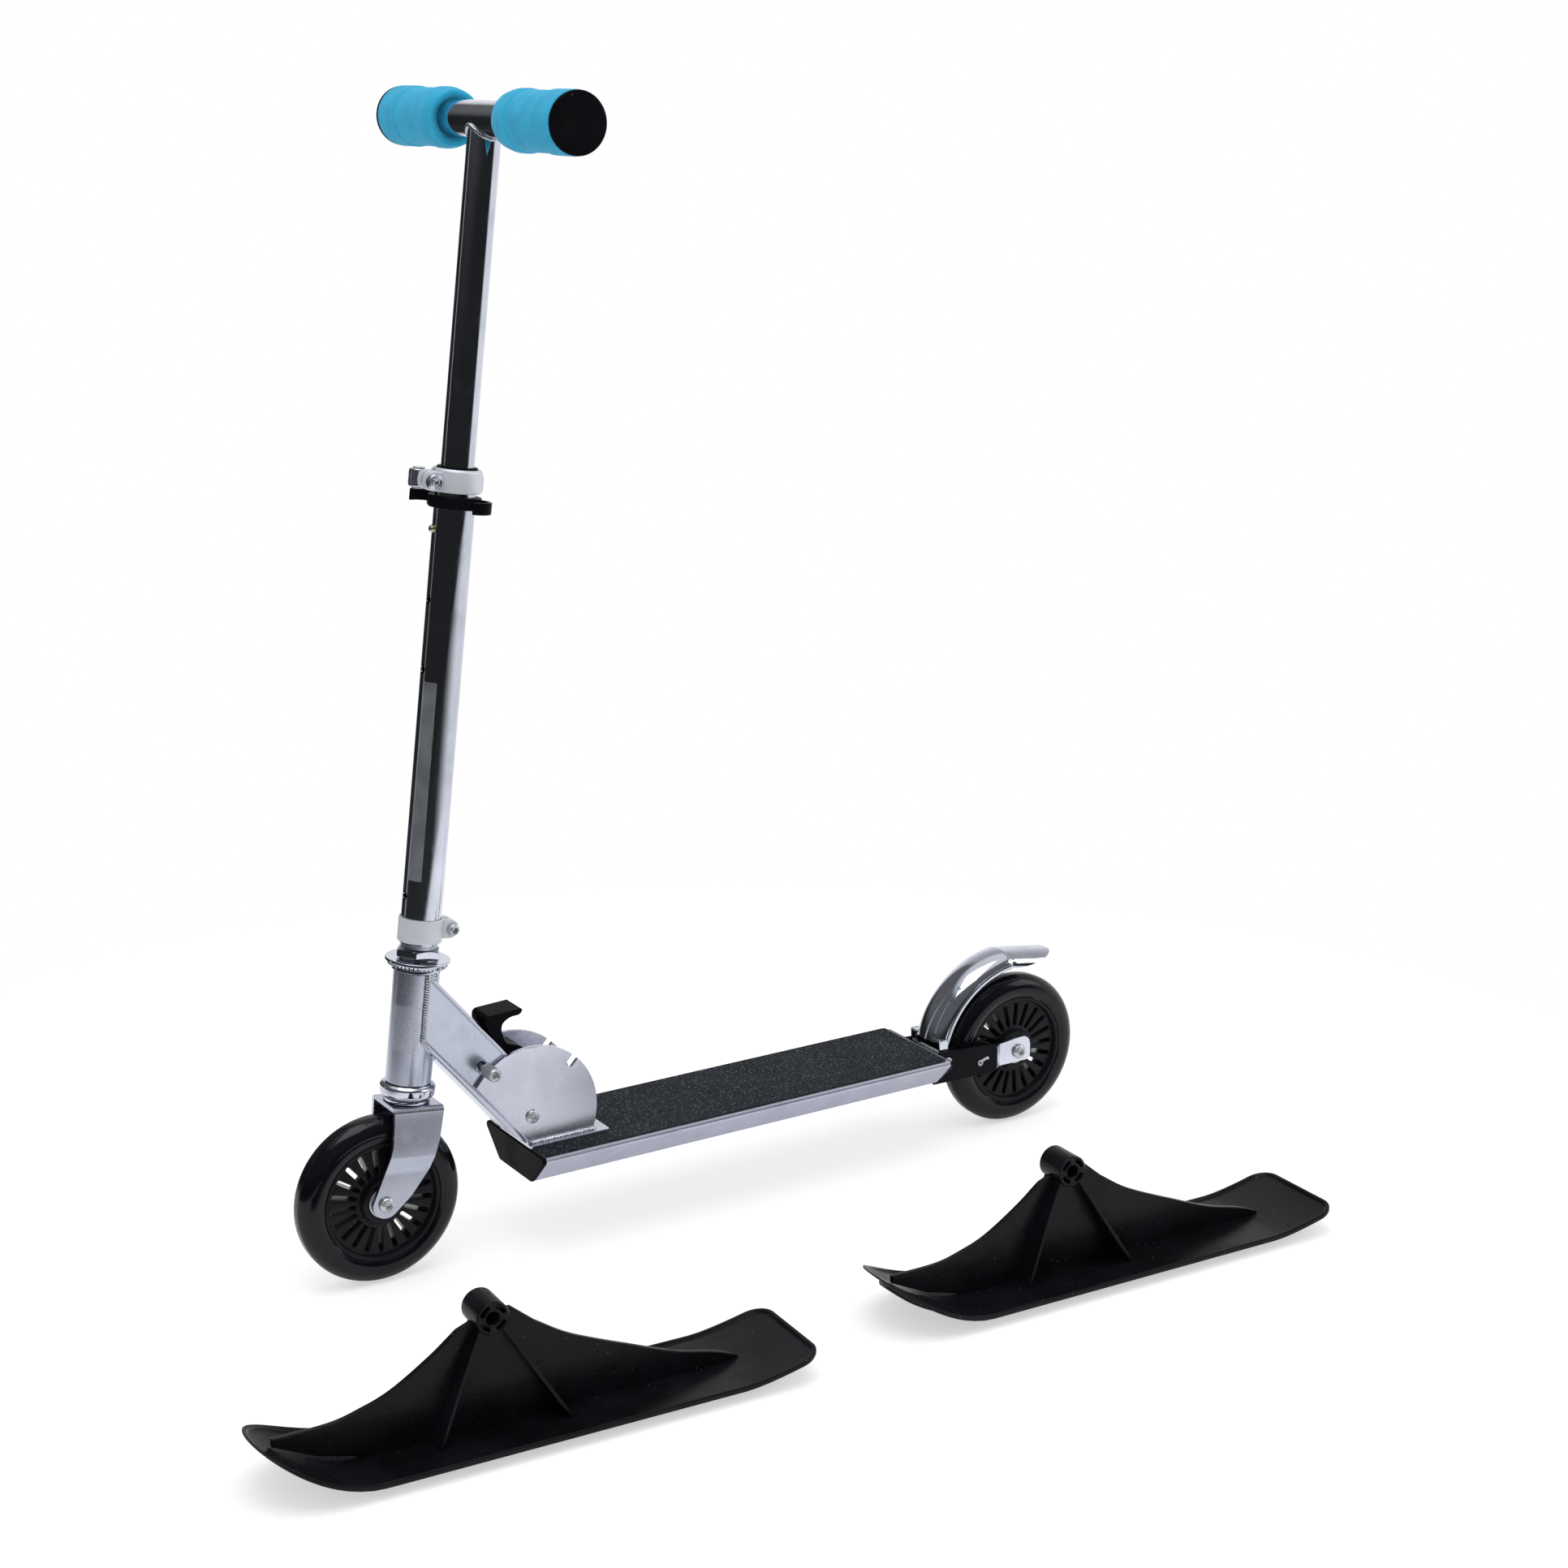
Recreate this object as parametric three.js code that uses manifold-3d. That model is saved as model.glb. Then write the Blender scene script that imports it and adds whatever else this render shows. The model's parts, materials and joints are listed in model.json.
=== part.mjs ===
// Folding kick scooter with a pair of snow skis that can take the place of its wheels.
// Millimetres, +Z up, front of the scooter towards -X, the side that is seen in the photograph towards -Y.
import * as THREE from "three";
import { mergeVertices } from "three/addons/utils/BufferGeometryUtils.js";
import Module from "manifold-3d";

const wasm = await Module();
wasm.setup();

// General clearances, and the sides of round pieces
const fitGap = 0.3;
const runningGap = 0.2;
const cutOverrun = 5;
const weldTolerance = 1e-4;
const wheelSides = 40;
const hubSides = 24;
const tubeSides = 20;
const boltSides = 12;
const boltCrownShare = 0.55;
const boltShoulderShare = 0.35;
const boltRoundShares = [0.85, 0.78];
const halfTurn = Math.PI;
const quarterTurn = Math.PI / 2;
const degree = Math.PI / 180;

// Wheels, the same at both ends
const wheelRadius = 60;
const wheelWidth = 24;
const crownWidth = 6;
const hubRimRadius = 43;
const hubRimWidth = 22;
const hubRimDepth = 3.5;
const hubWebWidth = 15;
const hubBossRadius = 15.5;
const hubShoulderRadius = 8.5;
const slotCount = 21;
const slotWidth = 3.2;
const slotInnerRadius = 18.5;
const slotOuterRadius = 38;
const bearingRadius = 11;
const bearingWidth = 7;
const axleRadius = 4;
const bearingSpacerRadius = 5.8;

// Steering axis
const rakeAngle = 7.35 * degree;
const forkOffset = 16.4;

// Deck
const frontTyreGap = 49;
const deckLength = 346;
const deckTopWidth = 89;
const deckBottomWidth = 50;
const deckTopHeight = 78.8;
const deckDepth = 24.2;
const deckWall = 2.2;
const deckLipHeight = 4.4;
const deckLipGroove = 0.7;
const deckRibOffset = 14;
const tapeThickness = 0.8;
const tapeInset = 2.2;
const endCapThickness = 2.5;
const endCapPlugDepth = 9;
const endCapChamfer = 2;

// Fold bracket on the deck
const pivotSetback = 2;
const pivotAboveDeck = 23.2;
const bracketPlateLength = 63;
const bracketPlateWidth = 50;
const bracketPlateThickness = 2.5;
const bracketPlateSetback = 4;
const cheekRadius = 51.5;
const cheekThickness = 3;
const cheekFrontAngle = 145 * degree;
const weldBead = 2.8;
const foldAngle = 82 * degree;
const notchDepth = 9.5;
const pivotBoltRadius = 4;
const pivotHeadRadius = 4.9;
const pivotHeadHeight = 2.6;
const pivotNutFlats = 10;
const pivotNutHeight = 5;

// Neck between the fold and the head tube
const neckSeatShare = 0.71;
const neckHeight = 37.6;
const neckWidth = 34;
const neckWall = 2.5;
const slotSeatRadius = 6;
const slotSeatHeight = 0.35;

// Lock pin, its knobs, lever and spring
const lockPinRadius = 2.5;
const lockPull = 3;
const lockEngage = 9;
const knobRadius = 5;
const knobLength = 14;
const knobGap = 0.6;
const knobChamfer = 0.8;
const knobSocketFlats = 4;
const knobSocketDepth = 3;
const leverWidth = 22;
const lockSpringRadius = 4.5;
const lockSpringWire = 0.7;
const lockSpringTurns = 7;
const lockSpringLength = 28;
const leverBossShare = 0.17;

// Head tube and headset
const headTubeLength = 79.5;
const headTubeRadius = 15.9;
const headTubeWall = 2.2;
const lowerCupLength = 8.9;
const upperCupLength = 2.5;
const lowerCupRadius = 19.3;
const lowerCupBead = 2.4;
const upperCupRadius = 17.6;
const crownRaceHeight = 3;
const crownRaceRadius = 16.2;
const headBearingHeight = 2.4;
const headBearingRadius = 15.6;
const flangeRadius = 22.4;
const flangeThickness = 2.2;
const flangeHubRadius = 18;
const flangeHubHeight = 3.2;
const lockNutFlats = 28;
const lockNutHeight = 7;

// Steerer, fork and lower clamp
const steererRadius = 12.4;
const steererWall = 1.2;
const steererProud = 2;
const crownGap = 5.1;
const crownThickness = 4;
const crownFront = 16;
const crownRear = 20;
const legThickness = 3;
const legUpperWidth = 38;
const legLowerWidth = 32;
const legKneeDrop = 26.5;
const legJogDrop = 35.5;
const legJogLength = 10;
const legEndRadius = 10;
const legEndSweep = 130 * degree;
const lowerClampGap = 4.7;
const lowerClampHeight = 16.5;
const lowerClampWall = 1.2;
const clampSlit = 2.2;
const lowerEarReach = 12;
const lowerBoltShare = 0.6;
const lowerEarWidth = 13;
const lowerEarHeight = 13;
const lowerBoltRadius = 2.2;
const lowerBoltHeadRadius = 4.2;
const lowerBoltHeadHeight = 4;
const axleHeadRadius = 5.6;
const axleHeadHeight = 3.6;
const axleNutFlats = 11.5;
const axleNutHeight = 5.5;
const axleSocketFlats = 4.5;

// Outer stem tube, quick release and grip holder
const outerTubeRadius = 13.7;
const outerTubeWall = 1;
const outerTubeLip = 1.5;
const outerTubeLength = 322;
const outerSlitLength = 22;
const buttonDrop = 14.3;
const buttonPitch = 47;
const buttonHoleCount = 3;
const storageHoleRise = 15;
const buttonRadius = 2.7;
const buttonDome = 3.5;
const buttonDomeShares = [
  [1, 0.2],
  [0.8, 0.7],
  [0.4, 1],
  [0, 1],
];
const sleeveLength = 26;
const sleeveLip = 2;
const upperClampDrop = 14.5;
const upperClampHeight = 15.4;
const upperClampWall = 3;
const upperClampChamfer = 1.6;
const upperEarReach = 11.5;
const upperEarNear = 9.6;
const upperEarFar = 6.2;
const upperEarHeight = 13;
const skewerOffset = 21.5;
const skewerRadius = 2.4;
const trunnionOffset = 13;
const trunnionRadius = 2.4;
const trunnionHeadRadius = 4.2;
const trunnionHeadHeight = 0.8;
const adjusterRadius = 5.4;
const adjusterLength = 5;
const adjusterChamfer = 0.9;
const adjusterSocketFlats = 4.3;
const adjusterSocketDepth = 1.5;
const leverBossRadius = 6.2;
const leverBossHeight = 12;
const leverBossSides = 24;
const leverArmInnerRadius = 17.9;
const leverArmThickness = 2.6;
const leverArmHeight = 12;
const leverArmStart = 16 * degree;
const leverArmEnd = 142 * degree;
const leverTabReach = 3;
const leverArmSink = 1.6;
const holderHeight = 8;
const holderGap = 2.6;
const holderRingWall = 3.6;
const holderClipRadius = 10.6;
const holderClipWall = 2.3;
const holderClipSides = 28;
const holderClipOffset = 26;
const holderClipLead = 4.5;
const holderTurn = 9 * degree;
const holderMouth = 62 * degree;

// Handlebar
const innerTubeRadius = 11.1;
const innerTubeWall = 1.3;
const innerTubeOverlap = 110;
const barRise = 225.5;
const crossTubeRadius = 12;
const crossTubeWall = 1.2;
const crossTubeHalfLength = 46;
const stemBushHeight = 14;
const handleTubeRadius = 10.4;
const handleTubeWall = 1.4;
const handleTubeInset = 12;
const handleEnd = 126.6;
const gripRadius = 20;
const gripStep = 0.9;
const gripFunnelRadius = 14.5;
const gripFunnelDepth = 9;
const gripRidgeShares = [
  [0, 2],
  [0.12, 0],
  [0.24, 0],
  [0.26, 1],
  [0.68, 1],
  [0.7, 0],
  [1, 0],
];
const gripInnerGap = 1;
const barCapThickness = 2.6;
const barCapPlugDepth = 12;
const barCapDimple = 1.4;

// Rear fork, axle plates and fender
const rearArmSpread = 39;
const rearArmThickness = 3;
const rearArmHeight = 25.4;
const rearArmSetback = 26;
const rearArmEndRise = 13.6;
const rearArmEndDrop = 9;
const rearForkBlockLength = 12;
const rearForkBackLength = 3;
const rearTyreGap = 23.7;
const axlePlateLead = 52;
const axlePlateRear = 11.6;
const axlePlateRise = 11.4;
const axlePlateDrop = 8.6;
const axlePlateThickness = 2.4;
const axlePlateCorner = 7.5;
const axlePlateJog = 9;
const fenderPivotSetback = 12;
const fenderPivotDrop = 9;
const fenderPinRadius = 2.4;
const fenderPinHead = 4;
const fenderTyreGap = 12;
const fenderRise = 12;
const fenderWidth = 36;
const fenderWall = 1.6;
const fenderTopAngle = 97 * degree;
const fenderBaseAngle = 164 * degree;
const fenderSetback = 1;
const fenderTailLength = 45;
const fenderTailDrop = 12.5;
const fenderTailShare = 0.97;
const fenderTabWidth = 8;
const fenderTabThickness = 1.6;
const fenderSpringRadius = 4.4;
const fenderSpringWire = 0.7;
const fenderSpringTurns = 4;

// Skis
const skiTip = 154;
const skiTail = 215;
const skiHalfWidth = 41;
const skiSoleHalfWidth = 14;
const skiSoleHeight = 6.5;
const skiFloor = 2.4;
const skiRimHeight = 1.6;
const skiRimWidth = 3;
const skiTipHeight = 36;
const skiTailHeight = 18;
const skiTipStart = 84;
const skiTailStart = 160;
const skiTipPower = 1.7;
const skiTailPower = 1.4;
const skiNosePower = 0.8;
const skiNoseLength = 55;
const skiTailCornerShare = 0.36;
const skiSoleInset = 9;
const skiSoleTailInset = 15;
const skiFinThickness = 4;
const skiHubHeight = 83.5;
const skiHubRadius = 11;
const skiHubLength = 24;
const skiHubBore = 4.2;
const skiHubSides = 24;
const skiSpokeCount = 4;
const skiSpokeSpan = 58 * degree;
const skiSpokeInnerShare = 0.58;
const skiSpokeOuterShare = 0.8;
const skiRibThickness = 2.6;
const skiRibTopSpan = 9;
const skiRibFootSpan = 20;
const skiRibTopX = 6;
const skiRibFrontFootX = 40;
const skiRibRearFootX = 48;
const frontSkiPlace = { x: -37, y: -243.5, turn: -3.05 * degree };
const rearSkiPlace = { x: 395, y: -258, turn: -2.2 * degree };

const colours = {
  chrome: 0xc9ccd2,
  satin: 0xb9bcc6,
  black: 0x15161a,
  tape: 0x1d1e20,
  foam: 0x2da5d2,
  rubber: 0x101114,
  brass: 0xb59a5b,
  zinc: 0xa9b0b8,
};

const chrome = metal(colours.chrome, 0.12);
const satin = metal(colours.satin, 0.38);
const zinc = metal(colours.zinc, 0.35);
const brass = metal(colours.brass, 0.3);
const blackPlastic = plain(colours.black, 0.45);
const blackPaint = plain(colours.black, 0.35);
const gripTapeFinish = plain(colours.tape, 0.95);
const foam = plain(colours.foam, 0.9);
const tyreRubber = plain(colours.rubber, 0.18);

function metal(color, roughness) {
  return new THREE.MeshStandardMaterial({ color, roughness, metalness: 1 });
}

function plain(color, roughness) {
  return new THREE.MeshStandardMaterial({ color, roughness, metalness: 0 });
}

// Places that follow from the sizes: along the deck, then up the steering axis

const deckFrontX = wheelRadius + frontTyreGap;
const deckRearX = deckFrontX + deckLength;
const forkBackX = deckRearX + fitGap;
const rearAxleX = forkBackX + rearForkBackLength + rearTyreGap + wheelRadius;
const pivotX = deckFrontX + pivotSetback;
const pivotZ = deckTopHeight + pivotAboveDeck;
const fenderEdgeRadius = wheelRadius + fenderTyreGap;
const fenderRidgeRadius = fenderEdgeRadius + fenderRise;
const fenderCentreX = rearAxleX - fenderSetback;

const steeringFootX = (forkOffset - wheelRadius * Math.sin(rakeAngle)) / Math.cos(rakeAngle);
const axleX = -forkOffset;
const axleHeight = wheelRadius * Math.cos(rakeAngle) - steeringFootX * Math.sin(rakeAngle);
const crownTop = axleHeight + wheelRadius + crownGap + crownThickness;
const legKneeHeight = crownTop - legKneeDrop;
const legJogHigh = crownTop - legJogDrop;
const legJogLow = legJogHigh - legJogLength;
const crownRaceLow = crownTop + fitGap;
const lowerBearingLow = crownRaceLow + crownRaceHeight + fitGap;
const lowerCupLow = lowerBearingLow + headBearingHeight / 2;
const lowerCupTop = lowerCupLow + lowerCupLength;
const headTubeLow = lowerCupTop + fitGap;
const headTubeHigh = headTubeLow + headTubeLength;
const neckSeatHeight = headTubeLow + headTubeLength * neckSeatShare;
const neckRise = neckSeatHeight * Math.cos(rakeAngle) - pivotZ;
const neckRun = pivotX - steeringFootX - neckSeatHeight * Math.sin(rakeAngle);
const neckSlope = Math.atan2(neckRise, neckRun);
const upperCupTop = headTubeHigh + fitGap + upperCupLength;
const upperBearingLow = upperCupTop + fitGap - headBearingHeight / 2;
const flangeLow = upperCupTop + fitGap;
const flangeTop = flangeLow + flangeHubHeight + flangeThickness;
const lockNutLow = flangeTop + fitGap;
const lowerClampLow = lockNutLow + lockNutHeight + lowerClampGap;
const lowerClampTop = lowerClampLow + lowerClampHeight;
const steererTop = lowerClampTop + steererProud;
const outerTubeLow = lowerClampLow - outerTubeLip;
const outerTubeHigh = outerTubeLow + outerTubeLength;
const upperClampLow = outerTubeHigh - upperClampDrop;
const upperClampTop = upperClampLow + upperClampHeight;
const holderLow = upperClampLow - holderGap - holderHeight;
const buttonHeight = holderLow - buttonDrop;
const innerTubeLow = outerTubeHigh - innerTubeOverlap;
const barHeight = outerTubeHigh + barRise;

// Joins and cuts

function solid(geometry) {
  const bare = geometry.index ? geometry.toNonIndexed() : geometry.clone();
  for (const name of Object.keys(bare.attributes)) if (name !== "position") bare.deleteAttribute(name);
  const merged = mergeVertices(bare, weldTolerance);
  const corners = merged.index.array;
  const forward = [];
  const backward = [];
  for (let i = 0; i < corners.length; i += 3) {
    const [a, b, c] = [corners[i], corners[i + 1], corners[i + 2]];
    if (a === b || b === c || c === a) continue;
    forward.push(a, b, c);
    backward.push(a, c, b);
  }
  const vertProperties = new Float32Array(merged.attributes.position.array);
  const made = (triangles) =>
    new wasm.Manifold(new wasm.Mesh({ numProp: 3, vertProperties, triVerts: new Uint32Array(triangles) }));
  const first = made(forward);
  return first.volume() < 0 ? made(backward) : first;
}

function geometryOf(body) {
  const { vertProperties, triVerts } = body.getMesh();
  const geometry = new THREE.BufferGeometry();
  geometry.setAttribute("position", new THREE.BufferAttribute(new Float32Array(vertProperties), 3));
  geometry.setIndex(new THREE.BufferAttribute(new Uint32Array(triVerts), 1));
  return geometry;
}

function join(...pieces) {
  return geometryOf(pieces.map(solid).reduce((whole, piece) => whole.add(piece)));
}

function cut(body, ...tools) {
  return geometryOf(tools.map(solid).reduce((rest, tool) => rest.subtract(tool), solid(body)));
}

function shared(first, second) {
  return geometryOf(solid(first).intersect(solid(second)));
}

// Shapes

function box(xRange, yRange, zRange) {
  const [width, depth, height] = [xRange, yRange, zRange].map(([low, high]) => high - low);
  const middle = [xRange, yRange, zRange].map(([low, high]) => (low + high) / 2);
  return new THREE.BoxGeometry(width, depth, height).translate(...middle);
}

function turned(profile, sides = tubeSides) {
  const points = profile.map(([radius, height]) => new THREE.Vector2(radius, height));
  return new THREE.LatheGeometry(points, sides).rotateX(quarterTurn);
}

function rod(radius, low, high, sides = boltSides) {
  return turned([[0, low], [radius, low], [radius, high], [0, high]], sides);
}

function tube(outer, inner, low, high, sides = tubeSides) {
  return turned([[inner, low], [outer, low], [outer, high], [inner, high], [inner, low]], sides);
}

function hexBar(acrossFlats, low, high) {
  return rod(acrossFlats / 2 / Math.cos(halfTurn / 6), low, high, 6);
}

// Turns a piece's own +Z towards -Y, the near side.
function facingNear(geometry) {
  return geometry.rotateX(quarterTurn);
}

// Turns a piece's own +Z towards +Y, the far side.
function facingFar(geometry) {
  return geometry.rotateX(-quarterTurn);
}

function at(geometry, x, y, z) {
  return geometry.translate(x, y, z);
}

function outline(points) {
  return new THREE.Shape(points.map(([x, z]) => new THREE.Vector2(x, z)));
}

// A plate that stands in the XZ plane and fills yRange.
function upright(shape, [yLow, yHigh], curveSegments = 12) {
  const settings = { depth: yHigh - yLow, bevelEnabled: false, curveSegments };
  return new THREE.ExtrudeGeometry(shape, settings).rotateX(quarterTurn).translate(0, yHigh, 0);
}

// A bar along X that fills xRange, with its section drawn in the YZ plane.
function lengthwise(shape, [xLow, xHigh]) {
  const settings = { depth: xHigh - xLow, bevelEnabled: false, curveSegments: 8 };
  const axes = new THREE.Matrix4().makeBasis(
    new THREE.Vector3(0, 1, 0),
    new THREE.Vector3(0, 0, 1),
    new THREE.Vector3(1, 0, 0),
  );
  return new THREE.ExtrudeGeometry(shape, settings).applyMatrix4(axes).translate(xLow, 0, 0);
}

// A plate that lies in the XY plane and fills zRange.
function flat(shape, [zLow, zHigh], curveSegments = 12) {
  const settings = { depth: zHigh - zLow, bevelEnabled: false, curveSegments };
  return new THREE.ExtrudeGeometry(shape, settings).translate(0, 0, zLow);
}

// A cutting tool for a hole right through the part, along Y.
function crossBore(radius, x, z, sides = boltSides) {
  return at(facingNear(rod(radius, ...symmetric(2 * deckTopWidth), sides)), x, 0, z);
}

function arcPoints(centreX, centreZ, radius, from, to, steps) {
  return Array.from({ length: steps + 1 }, (_, i) => {
    const angle = from + ((to - from) * i) / steps;
    return [centreX + radius * Math.cos(angle), centreZ + radius * Math.sin(angle)];
  });
}

function symmetric(range) {
  return [-range / 2, range / 2];
}

// A button-head bolt: the head stands above z = 0 and the shank goes down from it.
function buttonBolt(shankRadius, shankLength, headRadius, headHeight, socketFlats) {
  const shoulder = headHeight * boltShoulderShare;
  const [roundShare, riseShare] = boltRoundShares;
  const body = turned(
    [
      [0, -shankLength],
      [shankRadius, -shankLength],
      [shankRadius, 0],
      [headRadius, 0],
      [headRadius, shoulder],
      [headRadius * roundShare, headHeight * riseShare],
      [headRadius * boltCrownShare, headHeight],
      [0, headHeight],
    ],
    boltSides,
  );
  return cut(body, hexBar(socketFlats, shoulder, headHeight + cutOverrun));
}

function hexNut(acrossFlats, boreRadius, height, boreSides = boltSides) {
  return cut(hexBar(acrossFlats, 0, height), rod(boreRadius, -cutOverrun, height + cutOverrun, boreSides));
}

class Helix extends THREE.Curve {
  constructor(radius, length, turns) {
    super();
    Object.assign(this, { radius, length, turns });
  }

  getPoint(share) {
    const angle = share * this.turns * 2 * halfTurn;
    const height = share * this.length;
    return new THREE.Vector3(this.radius * Math.cos(angle), this.radius * Math.sin(angle), height);
  }
}

function spring(radius, wire, length, turns) {
  const wireSides = 5;
  const stepsPerTurn = 8;
  const lastSide = (2 * halfTurn * (wireSides - 1)) / wireSides;
  const section = outline(arcPoints(0, 0, wire, 0, lastSide, wireSides - 1));
  return new THREE.ExtrudeGeometry(section, {
    steps: turns * stepsPerTurn,
    bevelEnabled: false,
    extrudePath: new Helix(radius, length, turns),
  });
}

function piece(name, geometry, material) {
  const mesh = new THREE.Mesh(geometry, material);
  mesh.name = name;
  return mesh;
}

function group(...children) {
  const made = new THREE.Group();
  made.add(...children);
  return made;
}

// Wheels, in a frame with its origin at the wheel's centre and the axle along Y

function tyre() {
  const half = wheelWidth / 2;
  const crown = crownWidth / 2;
  const centreRadius = wheelRadius - Math.sqrt(half ** 2 - crown ** 2);
  const steps = 3;
  const upper = arcPoints(centreRadius, 0, half, Math.asin(crown / half), quarterTurn, steps);
  const lower = upper.map(([radius, height]) => [radius, -height]);
  const seat = hubRimRadius + fitGap;
  const shoulder = [seat, hubRimWidth / 2];
  const profile = [[seat, -shoulder[1]], ...lower.reverse(), ...upper, shoulder, [seat, -shoulder[1]]];
  return facingNear(turned(profile, wheelSides));
}

function hub() {
  const [half, rim, web] = [wheelWidth / 2, hubRimWidth / 2, hubWebWidth / 2];
  const seat = bearingRadius + runningGap;
  const shoulder = half - bearingWidth;
  const rimInner = hubRimRadius - hubRimDepth;
  const side = [
    [hubShoulderRadius, shoulder],
    [seat, shoulder],
    [seat, half],
    [hubBossRadius, half],
    [hubBossRadius, web],
    [rimInner, web],
    [rimInner, rim],
    [hubRimRadius, rim],
  ];
  const mirrored = side.map(([radius, height]) => [radius, -height]).reverse();
  const wheelBody = turned([...side, ...mirrored, side[0]], hubSides);
  const slots = Array.from({ length: slotCount }, (_, i) => hubSlot((i * 2 * halfTurn) / slotCount));
  return facingNear(cut(wheelBody, ...slots));
}

function hubSlot(angle) {
  const end = slotWidth / 2;
  const steps = 2;
  const inner = slotInnerRadius + end;
  const outer = slotOuterRadius - end;
  const shape = outline([
    ...arcPoints(outer, 0, end, -quarterTurn, quarterTurn, steps),
    ...arcPoints(inner, 0, end, quarterTurn, 3 * quarterTurn, steps),
  ]);
  return flat(shape, symmetric(hubWebWidth + 2 * cutOverrun)).rotateZ(angle);
}

function bearing() {
  const bore = axleRadius + runningGap;
  return facingNear(tube(bearingRadius, bore, ...symmetric(bearingWidth)));
}

function bearingSpacer() {
  const reach = wheelWidth / 2 - bearingWidth - fitGap;
  return facingNear(tube(bearingSpacerRadius, axleRadius + runningGap, -reach, reach, boltSides));
}

function wheel(end) {
  const bearingY = (wheelWidth - bearingWidth) / 2;
  return group(
    piece(`${end}_tyre`, tyre(), tyreRubber),
    piece(`${end}_hub`, hub(), blackPlastic),
    piece(`${end}_bearing_near`, at(bearing(), 0, -bearingY, 0), zinc),
    piece(`${end}_bearing_far`, at(bearing(), 0, bearingY, 0), zinc),
    piece(`${end}_bearing_spacer`, bearingSpacer(), zinc),
  );
}

// The bolt that carries a wheel between two plates whose outer faces are at reach from the middle.
function axleBolt(reach) {
  const shank = 2 * reach + 2 * fitGap + axleNutHeight;
  const bolt = buttonBolt(axleRadius, shank, axleHeadRadius, axleHeadHeight, axleSocketFlats);
  return at(facingNear(bolt), 0, -reach - fitGap, 0);
}

function axleNut(reach) {
  const nut = hexNut(axleNutFlats, axleRadius + runningGap, axleNutHeight - fitGap);
  return at(facingFar(nut), 0, reach + fitGap, 0);
}

// Deck, in the part's frame

const deckBottomHeight = deckTopHeight - deckDepth;

function deckSection(inset, lowered = inset) {
  const top = deckTopHeight - lowered;
  const lip = deckTopHeight - deckLipHeight;
  const half = deckTopWidth / 2 - inset;
  const foot = deckBottomWidth / 2 - inset / 2;
  const bottom = deckBottomHeight + inset;
  return [
    [-half, top],
    [-half, lip],
    [-foot, bottom],
    [foot, bottom],
    [half, lip],
    [half, top],
  ];
}

function deckExtrusion() {
  const body = lengthwise(outline(deckSection(0)), [deckFrontX, deckRearX]);
  const hollow = [deckFrontX - cutOverrun, deckRearX + cutOverrun];
  const rib = (y) =>
    box(hollow, [y - deckWall / 2, y + deckWall / 2], [deckBottomHeight, deckTopHeight]);
  const channels = cut(
    lengthwise(outline(deckSection(deckWall)), hollow),
    rib(-deckRibOffset),
    rib(deckRibOffset),
  );
  const groove = (side) => {
    const edge = (side * deckTopWidth) / 2;
    const depth = side * deckLipGroove;
    const [low, high] = [deckTopHeight - deckLipHeight / 2, deckTopHeight - deckLipHeight / 4];
    return box(hollow, [edge - depth, edge + depth].sort((a, b) => a - b), [low, high]);
  };
  return cut(body, channels, groove(-1), groove(1));
}

const bracketFrontX = pivotX - bracketPlateSetback;
const bracketRearX = bracketFrontX + bracketPlateLength;

function gripTape() {
  const low = deckTopHeight + runningGap;
  const high = low + tapeThickness;
  const sheet = box(
    [deckFrontX + fitGap, deckRearX - tapeInset],
    symmetric(deckTopWidth - 2 * tapeInset),
    [low, high],
  );
  const window = box(
    [bracketFrontX - cutOverrun, bracketRearX + fitGap],
    symmetric(bracketPlateWidth + 2 * fitGap),
    [low - cutOverrun, high + cutOverrun],
  );
  return cut(sheet, window);
}

function frontEndCap() {
  const coverX = deckFrontX - fitGap;
  const frontX = coverX - endCapThickness;
  const [topLeft, lipLeft, footLeft, footRight, lipRight, topRight] = deckSection(0);
  const chamfered = outline([
    [topLeft[0] + endCapChamfer, topLeft[1]],
    [topLeft[0], topLeft[1] - endCapChamfer],
    lipLeft,
    footLeft,
    footRight,
    lipRight,
    [topRight[0], topRight[1] - endCapChamfer],
    [topRight[0] - endCapChamfer, topRight[1]],
  ]);
  const cover = lengthwise(chamfered, [frontX, coverX]);
  const plugHalf = deckRibOffset - deckWall / 2 - fitGap;
  const plugLow = deckBottomHeight + deckWall + fitGap;
  const plugHigh = deckTopHeight - deckWall - fitGap;
  const plug = box([frontX, deckFrontX + endCapPlugDepth], [-plugHalf, plugHalf], [plugLow, plugHigh]);
  return join(cover, plug);
}

// Fold bracket: a base plate with two round cheeks, welded into one piece

const bracketPlateLow = deckTopHeight + runningGap;
const bracketPlateTop = bracketPlateLow + bracketPlateThickness;
const neckHalfWidth = neckWidth / 2;
const cheekInnerY = neckHalfWidth + fitGap + runningGap;
const cheekOuterY = cheekInnerY + cheekThickness;
const pinRestRadius = cheekRadius + lockPinRadius + fitGap;
const neckDirection = halfTurn - neckSlope;

function cheekOutline() {
  const weldLine = bracketPlateTop;
  const rearAngle = Math.asin((weldLine - pivotZ) / cheekRadius);
  const arcSteps = 22;
  const arc = arcPoints(pivotX, pivotZ, cheekRadius, rearAngle, cheekFrontAngle, arcSteps);
  return outline([
    ...arc,
    [bracketFrontX, weldLine + cheekThickness],
    [bracketFrontX, weldLine - runningGap],
  ]);
}

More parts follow.
